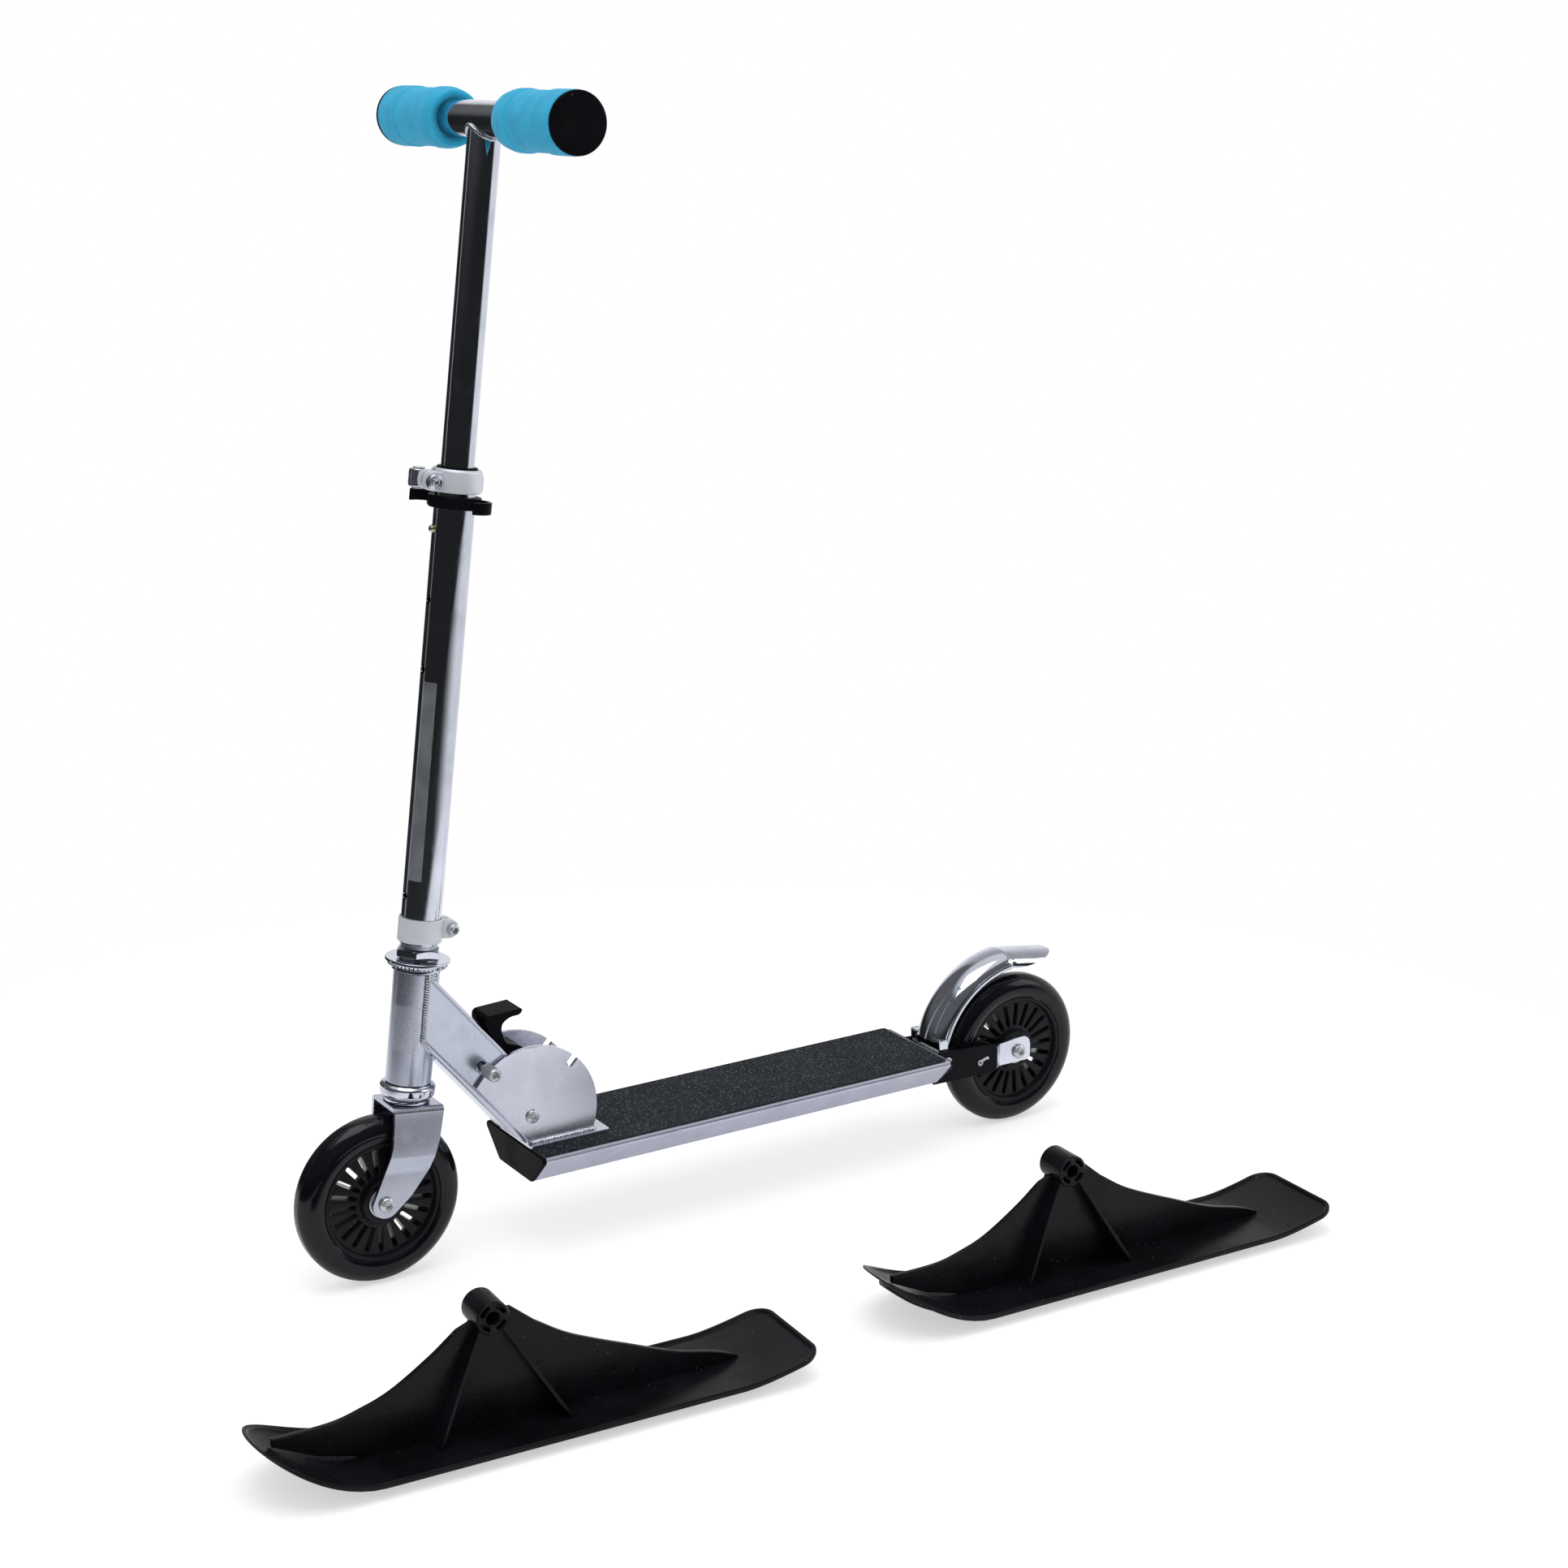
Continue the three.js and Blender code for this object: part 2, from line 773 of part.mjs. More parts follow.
// A notch in the cheeks' rim for the lock pin, at an angle about the pivot.
function cheekNotch(angle) {
  const half = lockPinRadius + fitGap;
  const floor = cheekRadius - notchDepth + half;
  const steps = 6;
  const shape = outline([
    [cheekRadius + cutOverrun, -half],
    [cheekRadius + cutOverrun, half],
    ...arcPoints(floor, 0, half, quarterTurn, 3 * quarterTurn, steps),
  ]);
  const notch = upright(shape, symmetric(2 * cheekOuterY + 2 * cutOverrun)).rotateY(-angle);
  return at(notch, pivotX, 0, pivotZ);
}

function weldFillet(side) {
  const [low, high] = [bracketPlateTop - runningGap, bracketPlateTop + weldBead];
  const root = side * (cheekOuterY - runningGap);
  const toe = side * (cheekOuterY + weldBead);
  const section = outline([[root, low], [toe, low], [root, high]]);
  const rearX = pivotX + Math.sqrt(cheekRadius ** 2 - (high - pivotZ) ** 2);
  return lengthwise(section, [bracketFrontX + fitGap, rearX]);
}

function foldBracket() {
  const plate = box(
    [bracketFrontX, bracketRearX],
    symmetric(bracketPlateWidth),
    [bracketPlateLow, bracketPlateTop],
  );
  const near = upright(cheekOutline(), [-cheekOuterY, -cheekInnerY]);
  const far = upright(cheekOutline(), [cheekInnerY, cheekOuterY]);
  return cut(
    join(plate, near, far, weldFillet(-1), weldFillet(1)),
    cheekNotch(neckDirection),
    cheekNotch(neckDirection - foldAngle),
    crossBore(pivotBoltRadius + runningGap, pivotX, pivotZ),
  );
}

function pivotBolt() {
  const reach = cheekOuterY + fitGap;
  const length = 2 * reach + pivotNutHeight;
  const bolt = buttonBolt(pivotBoltRadius, length, pivotHeadRadius, pivotHeadHeight, pivotHeadRadius);
  return at(facingNear(bolt), pivotX, -reach, pivotZ);
}

function pivotNut() {
  const nut = hexNut(pivotNutFlats, pivotBoltRadius + runningGap, pivotNutHeight - fitGap);
  return at(facingFar(nut), pivotX, cheekOuterY + fitGap, pivotZ);
}

// Rear fork, axle plates and fender, in the part's frame

const armInnerY = rearArmSpread / 2;
const armOuterY = armInnerY + rearArmThickness;
const plateInnerY = wheelWidth / 2 + fitGap + runningGap;
const plateOuterY = plateInnerY + axlePlateThickness;
const armTop = deckTopHeight - deckWall / 2;
const armEndX = rearAxleX - rearArmSetback;
const fenderPivotX = forkBackX + fenderPivotSetback;
const fenderPivotZ = armTop - fenderPivotDrop;

function rearFork() {
  const section = deckSection(deckWall / 2);
  const back = lengthwise(outline(section), [forkBackX, forkBackX + rearForkBackLength]);
  const blockHalf = deckRibOffset - deckWall / 2 - fitGap;
  const block = box(
    [deckRearX - rearForkBlockLength, forkBackX + rearForkBackLength],
    [-blockHalf, blockHalf],
    [deckBottomHeight + deckWall + fitGap, deckTopHeight - deckWall - fitGap],
  );
  const side = outline([
    [forkBackX, armTop],
    [forkBackX, armTop - rearArmHeight],
    [armEndX, wheelRadius - rearArmEndDrop],
    [armEndX, wheelRadius + rearArmEndRise],
  ]);
  const near = upright(side, [-armOuterY, -armInnerY]);
  const far = upright(side, [armInnerY, armOuterY]);
  return cut(
    join(back, block, near, far),
    crossBore(fenderPinRadius + runningGap, fenderPivotX, fenderPivotZ),
  );
}

// A plate that lies against the inside of an arm and is joggled inwards to the wheel's hub.
function axlePlate(side) {
  const frontX = rearAxleX - axlePlateLead;
  const rearX = rearAxleX + axlePlateRear;
  const [low, high] = [wheelRadius - axlePlateDrop, wheelRadius + axlePlateRise];
  const blank = outline([
    [frontX, low],
    [frontX, high - axlePlateThickness],
    [armEndX, high - axlePlateThickness / 2],
    [rearX - axlePlateCorner, high],
    [rearX, high - axlePlateCorner],
    [rearX - axlePlateThickness, low],
    [armEndX - axlePlateCorner, low - axlePlateThickness / 2],
  ]);
  const rest = armInnerY - fitGap;
  const [jogStart, jogEnd] = [armEndX + fitGap, armEndX + fitGap + axlePlateJog];
  const bend = outline(
    [
      [frontX, rest],
      [jogStart, rest],
      [jogEnd, plateOuterY],
      [rearX, plateOuterY],
      [rearX, plateInnerY],
      [jogEnd, plateInnerY],
      [jogStart, rest - axlePlateThickness],
      [frontX, rest - axlePlateThickness],
    ].map(([x, y]) => [x, side * y]),
  );
  const plate = shared(
    upright(blank, symmetric(2 * armOuterY)),
    flat(bend, [low - cutOverrun, high + cutOverrun]),
  );
  return cut(plate, crossBore(axleRadius + runningGap, rearAxleX, wheelRadius));
}

function fenderPin() {
  const reach = armOuterY + fitGap;
  const pin = rod(fenderPinRadius, -reach - fitGap, reach + fitGap);
  const head = (low) => rod(fenderPinHead, low, low + fenderPinRadius);
  const headed = join(pin, head(reach), head(-reach - fenderPinRadius));
  return at(facingNear(headed), fenderPivotX, 0, fenderPivotZ);
}

// The arched section of the fender at a share of its width, as a radius about the rear axle.
function fenderArch(yShare) {
  return fenderEdgeRadius + fenderRise * Math.sqrt(Math.max(0, 1 - yShare ** 2));
}

// A skin swept from the fender's base, round the wheel and out to the tail, as a closed grid of points.
function fenderSkin() {
  const across = 10;
  const along = 9;
  const tailSteps = 4;
  const half = fenderWidth / 2;
  const stations = [];
  for (let i = 0; i <= along; i += 1) {
    const angle = fenderBaseAngle + ((fenderTopAngle - fenderBaseAngle) * i) / along;
    stations.push({ angle, run: 0, widthShare: 1 });
  }
  for (let i = 1; i <= tailSteps; i += 1) {
    const share = i / tailSteps;
    const widthShare = Math.sqrt(1 - (fenderTailShare * share) ** 4);
    stations.push({ angle: fenderTopAngle, run: share * fenderTailLength, widthShare });
  }
  const rows = stations.map(({ angle, run, widthShare }) => {
    const row = [];
    for (const wall of [0, fenderWall]) {
      const line = [];
      for (let j = 0; j <= across; j += 1) {
        const yShare = Math.cos((halfTurn * j) / across);
        const radius = fenderArch(yShare * widthShare) - wall;
        const y = yShare * (half - wall) * widthShare;
        const drop = (fenderTailDrop * run) / fenderTailLength;
        const x = fenderCentreX + (radius - drop) * Math.cos(angle) + run * Math.sin(angle);
        const z = wheelRadius + (radius - drop) * Math.sin(angle) - run * Math.cos(angle);
        line.push([x, y, z]);
      }
      row.push(...(wall ? line.reverse() : line));
    }
    return row;
  });
  return loft(rows);
}

// A closed body through rings of points, all with as many points, with flat ends.
function loft(rows) {
  const count = rows[0].length;
  const positions = [];
  const triangle = (...corners) => corners.forEach((corner) => positions.push(...corner));
  for (let i = 0; i + 1 < rows.length; i += 1) {
    for (let j = 0; j < count; j += 1) {
      const next = (j + 1) % count;
      triangle(rows[i][j], rows[i + 1][j], rows[i + 1][next]);
      triangle(rows[i][j], rows[i + 1][next], rows[i][next]);
    }
  }
  const strip = (row, flip) => {
    for (let j = 0; j + 1 < count / 2; j += 1) {
      const [a, b, c, d] = [row[j], row[j + 1], row[count - 2 - j], row[count - 1 - j]];
      if (flip) {
        triangle(a, c, b);
        triangle(a, d, c);
      } else {
        triangle(a, b, c);
        triangle(a, c, d);
      }
    }
  };
  strip(rows[0], false);
  strip(rows[rows.length - 1], true);
  const geometry = new THREE.BufferGeometry();
  geometry.setAttribute("position", new THREE.Float32BufferAttribute(positions, 3));
  return geometry;
}

function rearFender() {
  const tabOuterY = armInnerY - fitGap;
  const tabInnerY = tabOuterY - fenderTabThickness;
  const tabHalf = fenderTabWidth / 2;
  const skinRadius = (fenderEdgeRadius + fenderRidgeRadius) / 2;
  const skinX = fenderCentreX + skinRadius * Math.cos(fenderBaseAngle);
  const skinZ = wheelRadius + skinRadius * Math.sin(fenderBaseAngle);
  const tabShape = outline([
    ...arcPoints(fenderPivotX, fenderPivotZ, tabHalf, halfTurn, 2 * halfTurn, 6),
    [skinX + tabHalf, skinZ + tabHalf],
    [skinX - tabHalf, skinZ + tabHalf],
  ]);
  const near = upright(tabShape, [-tabOuterY, -tabInnerY]);
  const far = upright(tabShape, [tabInnerY, tabOuterY]);
  const bridge = box(
    [skinX - tabHalf, skinX + tabHalf],
    [-tabOuterY, tabOuterY],
    [skinZ + tabHalf - fenderTabThickness, skinZ + tabHalf],
  );
  const bore = crossBore(fenderPinRadius + runningGap, fenderPivotX, fenderPivotZ);
  return cut(join(fenderSkin(), near, far, bridge), bore);
}

function fenderSpring() {
  const length = 2 * (armInnerY - 2 * fitGap - fenderTabThickness) - 2 * fenderSpringWire - 2 * fitGap;
  const coil = spring(fenderSpringRadius, fenderSpringWire, length, fenderSpringTurns);
  return at(facingNear(coil), fenderPivotX, length / 2, fenderPivotZ);
}

// Neck, in a frame with its origin at the fold's pivot and its X axis along the neck, away from the head tube

const steeringFrame = new THREE.Matrix4()
  .makeRotationY(rakeAngle)
  .setPosition(steeringFootX, 0, 0);
const neckFrame = new THREE.Matrix4().makeRotationY(neckSlope).setPosition(pivotX, 0, pivotZ);
const steeringToNeck = neckFrame.clone().invert().multiply(steeringFrame);

// How far the head tube's axis is from the pivot, measured along the neck.
function neckReach() {
  const foot = new THREE.Vector3(0, 0, 0).applyMatrix4(steeringToNeck);
  const head = new THREE.Vector3(0, 0, headTubeHigh).applyMatrix4(steeringToNeck);
  const share = foot.z / (foot.z - head.z);
  return -(foot.x + (head.x - foot.x) * share);
}

function neck() {
  const half = neckHeight / 2;
  const reach = neckReach() + headTubeRadius;
  const endSteps = 10;
  const side = outline([
    ...arcPoints(0, 0, half, -quarterTurn, quarterTurn, endSteps),
    [-reach, half],
    [-reach, -half],
  ]);
  const body = upright(side, symmetric(neckWidth));
  const channelEnd = pinRestRadius + neckHeight;
  const inside = box(
    [-reach - cutOverrun, half + cutOverrun],
    symmetric(neckWidth - 2 * neckWall),
    [-half + neckWall, half - neckWall],
  );
  const mouth = box(
    [-channelEnd, half + cutOverrun],
    symmetric(neckWidth - 2 * neckWall),
    [0, half + cutOverrun],
  );
  const boreRadius = headTubeRadius - headTubeWall;
  const headTubeBore = rod(boreRadius, 0, headTubeHigh + neckHeight, tubeSides).applyMatrix4(steeringToNeck);
  const frontCut = box(
    [-neckHeight - headTubeRadius, headTubeRadius / 2],
    symmetric(neckWidth + 2 * cutOverrun),
    [0, headTubeHigh + neckHeight],
  ).applyMatrix4(steeringToNeck);
  const pinSlotHalf = lockPinRadius + fitGap;
  const slotSteps = 6;
  const slot = outline([
    ...arcPoints(-pinRestRadius + lockEngage, 0, pinSlotHalf, -quarterTurn, quarterTurn, slotSteps),
    ...arcPoints(-pinRestRadius - lockPull, 0, pinSlotHalf, quarterTurn, 3 * quarterTurn, slotSteps),
  ]);
  const seatDisc = () => facingNear(rod(slotSeatRadius, ...symmetric(2 * slotSeatHeight), tubeSides));
  const seat = (face) => at(seatDisc(), -pinRestRadius, face * neckHalfWidth, 0);
  const channel = cut(join(body, seat(-1), seat(1)), inside, mouth, frontCut);
  return cut(
    join(channel, headTube().applyMatrix4(steeringToNeck)),
    headTubeBore,
    upright(slot, symmetric(neckWidth + 2 * cutOverrun)),
    crossBore(pivotBoltRadius + runningGap, 0, 0),
  );
}

function lockPin() {
  const reach = cheekOuterY + knobGap + knobLength / 2;
  return at(facingNear(rod(lockPinRadius, -reach, reach)), -pinRestRadius, 0, 0);
}

function lockKnob(side) {
  const low = cheekOuterY + knobGap;
  const high = low + knobLength;
  const body = turned([
    [0, low],
    [knobRadius - knobChamfer, low],
    [knobRadius, low + knobChamfer],
    [knobRadius, high - knobChamfer],
    [knobRadius - knobChamfer, high],
    [0, high],
  ]);
  const bore = rod(lockPinRadius + runningGap, 0, low + knobLength / 2 + fitGap);
  const socket = hexBar(knobSocketFlats, high - knobSocketDepth, high + cutOverrun);
  const knob = cut(body, bore, socket);
  return at(side < 0 ? facingNear(knob) : facingFar(knob), -pinRestRadius, 0, 0);
}

// The release lever's outline along the neck, as shares of the neck's height from the lock pin.
const leverShares = [
  [-leverBossShare, -0.16],
  [0.5, -0.16],
  [0.7, 0.2],
  [0.7, 0.55],
  [0.6, 0.74],
  [0.45, 0.8],
  [0.28, 0.74],
  [0.1, 0.64],
  [-0.07, 0.68],
  [-0.2, 0.76],
  [-0.25, 0.86],
  [-0.22, 1.02],
  [-0.12, 1.17],
  [-0.13, 1.27],
  [-0.18, 1.28],
  [-0.58, 0.74],
  [-0.58, 0.66],
  [-0.5, 0.58],
  [-leverBossShare, 0.5],
];

function releaseLever() {
  const points = leverShares.map(([x, z]) => [x * neckHeight - pinRestRadius, z * neckHeight]);
  const body = upright(outline(points), symmetric(leverWidth));
  return cut(body, crossBore(lockPinRadius + runningGap, -pinRestRadius, 0));
}

function lockSpring() {
  const coil = spring(lockSpringRadius, lockSpringWire, lockSpringLength, lockSpringTurns);
  const seatX = -pinRestRadius - neckHeight * leverBossShare - lockSpringWire - fitGap;
  return at(coil.rotateY(-quarterTurn), seatX, 0, 0);
}

// Everything on the steering axis, in a frame with its Z axis along it and its foot on the ground

function headTube() {
  return tube(headTubeRadius, headTubeRadius - headTubeWall, headTubeLow, headTubeHigh);
}

const steererSeat = steererRadius + fitGap;

function crownRace() {
  return tube(crownRaceRadius, steererSeat, crownRaceLow, crownRaceLow + crownRaceHeight);
}

function headBearing(low) {
  return tube(headBearingRadius, steererSeat + fitGap, low, low + headBearingHeight);
}

function lowerCup() {
  const top = lowerCupTop;
  const seat = headBearingRadius + fitGap;
  const seatTop = lowerBearingLow + headBearingHeight + fitGap;
  const centre = lowerCupRadius - lowerCupBead;
  const steps = 2;
  return turned([
    [steererSeat + fitGap, top],
    [steererSeat + fitGap, seatTop],
    [seat, seatTop],
    [seat, lowerCupLow],
    ...arcPoints(centre, lowerCupLow + lowerCupBead, lowerCupBead, -quarterTurn, 0, steps),
    ...arcPoints(centre, top - lowerCupBead, lowerCupBead, 0, quarterTurn, steps),
    [steererSeat + fitGap, top],
  ]);
}

function upperCup() {
  const low = headTubeHigh + fitGap;
  const seat = headBearingRadius + fitGap;
  const floor = upperBearingLow - fitGap;
  return turned([
    [steererSeat + fitGap, low],
    [upperCupRadius, low],
    [upperCupRadius, upperCupTop],
    [seat, upperCupTop],
    [seat, floor],
    [steererSeat + fitGap, floor],
    [steererSeat + fitGap, low],
  ]);
}

function headsetFlange() {
  const seat = headBearingRadius + fitGap;
  const ceiling = upperBearingLow + headBearingHeight + fitGap;
  return turned([
    [steererSeat, flangeTop],
    [steererSeat, ceiling],
    [seat, ceiling],
    [seat, flangeLow],
    [flangeHubRadius, flangeLow],
    [flangeRadius, flangeLow + flangeHubHeight],
    [flangeRadius, flangeTop],
    [steererSeat, flangeTop],
  ]);
}

function lockNut() {
  return at(hexNut(lockNutFlats, steererSeat, lockNutHeight, tubeSides), 0, 0, lockNutLow);
}

function steerer() {
  const low = crownTop - crownThickness;
  return tube(steererRadius, steererRadius - steererWall, low, steererTop);
}

function forkLeg(side) {
  const endSteps = 8;
  const shape = outline([
    [-crownFront - legThickness / 3, crownTop],
    [-crownFront, legKneeHeight],
    [-crownFront - legThickness, legJogLow],
    ...arcPoints(axleX, axleHeight, legEndRadius, halfTurn, halfTurn + legEndSweep, endSteps),
    [axleX + 2 * legEndRadius - legThickness / 2, axleHeight + legEndRadius / 2],
    [crownRear - 2 * legThickness, legJogLow],
    [crownRear - legThickness / 2, legKneeHeight + legThickness],
    [crownRear, crownTop],
  ]);
  const reach = legUpperWidth / 2 + cutOverrun;
  const blank = upright(shape, side < 0 ? [-reach, 0] : [0, reach]);
  const [upper, lower] = [(side * legUpperWidth) / 2, (side * legLowerWidth) / 2];
  const inward = -side * legThickness;
  const below = axleHeight - legEndRadius - cutOverrun;
  const bend = outline([
    [upper, crownTop],
    [upper, legJogHigh],
    [lower, legJogLow],
    [lower, below],
    [lower + inward, below],
    [lower + inward, legJogLow],
    [upper + inward, legJogHigh],
    [upper + inward, crownTop],
  ]);
  return shared(blank, lengthwise(bend, symmetric(4 * crownRear + 2 * wheelRadius)));
}

function fork() {
  const crown = box(
    [-crownFront - legThickness / 3, crownRear],
    symmetric(legUpperWidth),
    [crownTop - crownThickness, crownTop],
  );
  const steererBore = rod(steererRadius - steererWall, crownTop - 2 * crownThickness, crownTop, tubeSides);
  return cut(
    join(crown, forkLeg(-1), forkLeg(1), steerer()),
    crossBore(axleRadius + runningGap, axleX, axleHeight),
    steererBore,
  );
}

function lowerClamp() {
  const bore = outerTubeRadius + fitGap;
  const outer = bore + lowerClampWall;
  const top = lowerClampTop;
  const band = tube(outer, bore, lowerClampLow, top);
  const earLow = lowerClampLow + (lowerClampHeight - lowerEarHeight) / 2;
  const ears = cut(
    box([bore, bore + lowerEarReach], symmetric(lowerEarWidth), [earLow, earLow + lowerEarHeight]),
    rod(bore, lowerClampLow, top, tubeSides),
  );
  const through = [lowerClampLow - cutOverrun, top + cutOverrun];
  const slit = box([0, outer + lowerEarReach], symmetric(clampSlit), through);
  const hole = facingNear(rod(lowerBoltRadius + runningGap, ...symmetric(lowerEarWidth + 2 * cutOverrun)));
  return cut(join(band, ears), slit, at(hole, lowerBoltX, 0, lowerBoltZ));
}

const lowerBoltX = outerTubeRadius + fitGap + lowerEarReach * lowerBoltShare;
const lowerBoltZ = lowerClampLow + lowerClampHeight / 2;

function lowerClampBolt() {
  const reach = lowerEarWidth / 2 + fitGap;
  const [headRadius, headHeight] = [lowerBoltHeadRadius, lowerBoltHeadHeight];
  const bolt = buttonBolt(lowerBoltRadius, 2 * reach, headRadius, headHeight, headRadius);
  const nut = at(hexBar(2 * headRadius, 0, headHeight), 0, 0, -2 * reach - headHeight);
  return at(facingNear(join(bolt, nut)), lowerBoltX, -reach, lowerBoltZ);
}

// Where the holes for the snap button are, up the front of the outer tube.
function buttonHoleHeights() {
  const steps = Array.from({ length: buttonHoleCount }, (_, i) => buttonHeight - i * buttonPitch);
  return [...steps, lowerClampTop + storageHoleRise];
}

function frontHole(radius, height, reach) {
  return at(rod(radius, -reach, 0).rotateY(quarterTurn), 0, 0, height);
}

function outerStemTube() {
  const body = tube(outerTubeRadius, outerTubeRadius - outerTubeWall, outerTubeLow, outerTubeHigh);
  const holes = buttonHoleHeights().map((height) =>
    frontHole(buttonRadius + fitGap, height, outerTubeRadius + cutOverrun),
  );
  const topSlit = box(
    [-outerTubeRadius - cutOverrun, 0],
    symmetric(clampSlit),
    [outerTubeHigh - outerSlitLength, outerTubeHigh + cutOverrun],
  );
  const lowSlit = box(
    [0, outerTubeRadius + cutOverrun],
    symmetric(clampSlit),
    [outerTubeLow - cutOverrun, outerTubeLow + outerSlitLength],
  );
  return cut(body, ...holes, topSlit, lowSlit);
}

function snapButton() {
  const inner = innerTubeRadius + fitGap;
  const face = outerTubeRadius;
  const profile = [
    [0, inner],
    [buttonRadius, inner],
    ...buttonDomeShares.map(([radius, rise]) => [radius * buttonRadius, face + rise * buttonDome]),
  ];
  return at(turned(profile, boltSides).rotateY(-quarterTurn), 0, 0, buttonHeight);
}

function stemSleeve() {
  const outer = outerTubeRadius - outerTubeWall - fitGap;
  const inner = innerTubeRadius + fitGap;
  const sleeveLow = outerTubeHigh - sleeveLength;
  const lipLow = outerTubeHigh + fitGap;
  const lipTop = lipLow + sleeveLip;
  return turned([
    [inner, sleeveLow],
    [outer, sleeveLow],
    [outer, lipLow],
    [outerTubeRadius, lipLow],
    [outerTubeRadius, lipTop],
    [inner, lipTop],
    [inner, sleeveLow],
  ]);
}

const clampBore = outerTubeRadius + fitGap;
const clampOuter = clampBore + upperClampWall;
const skewerZ = upperClampLow + upperClampHeight / 2 - upperClampChamfer / 2;

function upperClamp() {
  const band = turned([
    [clampBore, upperClampLow],
    [clampOuter, upperClampLow],
    [clampOuter, upperClampTop - upperClampChamfer],
    [clampOuter - upperClampChamfer, upperClampTop],
    [clampBore, upperClampTop],
    [clampBore, upperClampLow],
  ]);
  const earLow = skewerZ - upperEarHeight / 2;
  const ears = cut(
    box(
      [-clampBore - upperEarReach, -clampBore + upperClampWall],
      [-upperEarNear, upperEarFar],
      [earLow, earLow + upperEarHeight],
    ),
    rod(clampBore, earLow - cutOverrun, earLow + upperEarHeight + cutOverrun, tubeSides),
  );
  const slit = box(
    [-clampOuter - upperEarReach, 0],
    symmetric(clampSlit),
    [upperClampLow - cutOverrun, upperClampTop + cutOverrun],
  );
  const hole = facingNear(rod(skewerRadius + runningGap, ...symmetric(4 * trunnionOffset)));
  return cut(join(band, ears), slit, at(hole, -skewerOffset, 0, skewerZ));
}

// The skewer of the quick release: a bolt through the clamp's ears with an upright trunnion at its far end.
function quickReleaseSkewer() {
  const nearEnd = upperEarNear + fitGap + adjusterLength / 2;
  const shank = facingNear(rod(skewerRadius, -trunnionOffset, nearEnd));
  const half = leverBossHeight / 2 + fitGap;
  const trunnion = join(
    rod(trunnionRadius, -half, half),
    rod(trunnionHeadRadius, half, half + trunnionHeadHeight),
    rod(trunnionHeadRadius, -half - trunnionHeadHeight, -half),
  );
  return at(join(shank, at(trunnion, 0, trunnionOffset, 0)), -skewerOffset, 0, skewerZ);
}

function adjusterNut() {
  const bore = rod(skewerRadius + runningGap, -cutOverrun, adjusterLength / 2 + fitGap);
  const profile = [
    [0, 0],
    [adjusterRadius, 0],
    [adjusterRadius, adjusterLength - adjusterChamfer],
    [adjusterRadius - adjusterChamfer, adjusterLength],
    [0, adjusterLength],
  ];
  const face = turned(profile, leverBossSides);
  const socketFloor = adjusterLength - adjusterSocketDepth;
  const socket = hexBar(adjusterSocketFlats, socketFloor, adjusterLength + cutOverrun);
  return at(facingNear(cut(face, bore, socket)), -skewerOffset, -upperEarNear - fitGap, skewerZ);
}

function quickReleaseLever() {
  const bossHalf = leverBossHeight / 2;
  const onTrunnion = (geometry) => at(geometry, -skewerOffset, trunnionOffset, 0);
  const boss = onTrunnion(rod(leverBossRadius, -bossHalf, bossHalf, leverBossSides));
  const outer = leverArmInnerRadius + leverArmThickness;
  const arcSteps = 14;
  const tabX = outer * Math.cos(leverArmStart) + leverTabReach;
  const tabY = outer * Math.sin(leverArmStart) - leverTabReach;
  const arm = outline([
    ...arcPoints(0, 0, outer, leverArmStart, leverArmEnd, arcSteps),
    ...arcPoints(0, 0, leverArmInnerRadius, leverArmEnd, leverArmStart, arcSteps),
    [tabX - leverArmThickness, tabY],
    [tabX, tabY],
  ]);
  const band = at(flat(arm, symmetric(leverArmHeight)), 0, 0, -leverArmSink);
  const reach = leverBossRadius + cutOverrun;
  const shankSlot = box(
    [-skewerOffset - reach, -skewerOffset + skewerRadius + fitGap],
    [trunnionOffset - reach, trunnionOffset + reach],
    symmetric(2 * skewerRadius + 2 * fitGap),
  );
  const bore = onTrunnion(rod(trunnionRadius + runningGap, -bossHalf - cutOverrun, bossHalf + cutOverrun));
  return at(cut(join(boss, band), shankSlot, bore), 0, 0, skewerZ);
}

// A ring round the outer tube with a clip for a spare grip on each side, open to the front.
function gripHolder() {
  const bore = outerTubeRadius + fitGap;
  const range = [holderLow, holderLow + holderHeight];
  const through = [holderLow - cutOverrun, holderLow + holderHeight + cutOverrun];
  const clipOuter = holderClipRadius + holderClipWall;
  const beside = (geometry, side) => at(geometry, -holderClipLead, side * holderClipOffset, 0);
  const mouthReach = 2 * clipOuter;
  const mouthEdge = mouthReach * Math.tan(holderMouth);
  const wedge = outline([[0, 0], [-mouthReach, mouthEdge], [-mouthReach, -mouthEdge]]);
  const clip = (side) =>
    cut(beside(rod(clipOuter, ...range, holderClipSides), side), beside(flat(wedge, through), side));
  const hole = (side) => beside(rod(holderClipRadius, ...through, holderClipSides), side);
  const ring = rod(bore + holderRingWall, ...range, tubeSides);
  const holder = cut(
    join(ring, clip(-1), clip(1)),
    hole(-1),
    hole(1),
    rod(bore, ...through, tubeSides),
  );
  return holder.rotateZ(holderTurn);
}

// Handlebar, in the steering frame

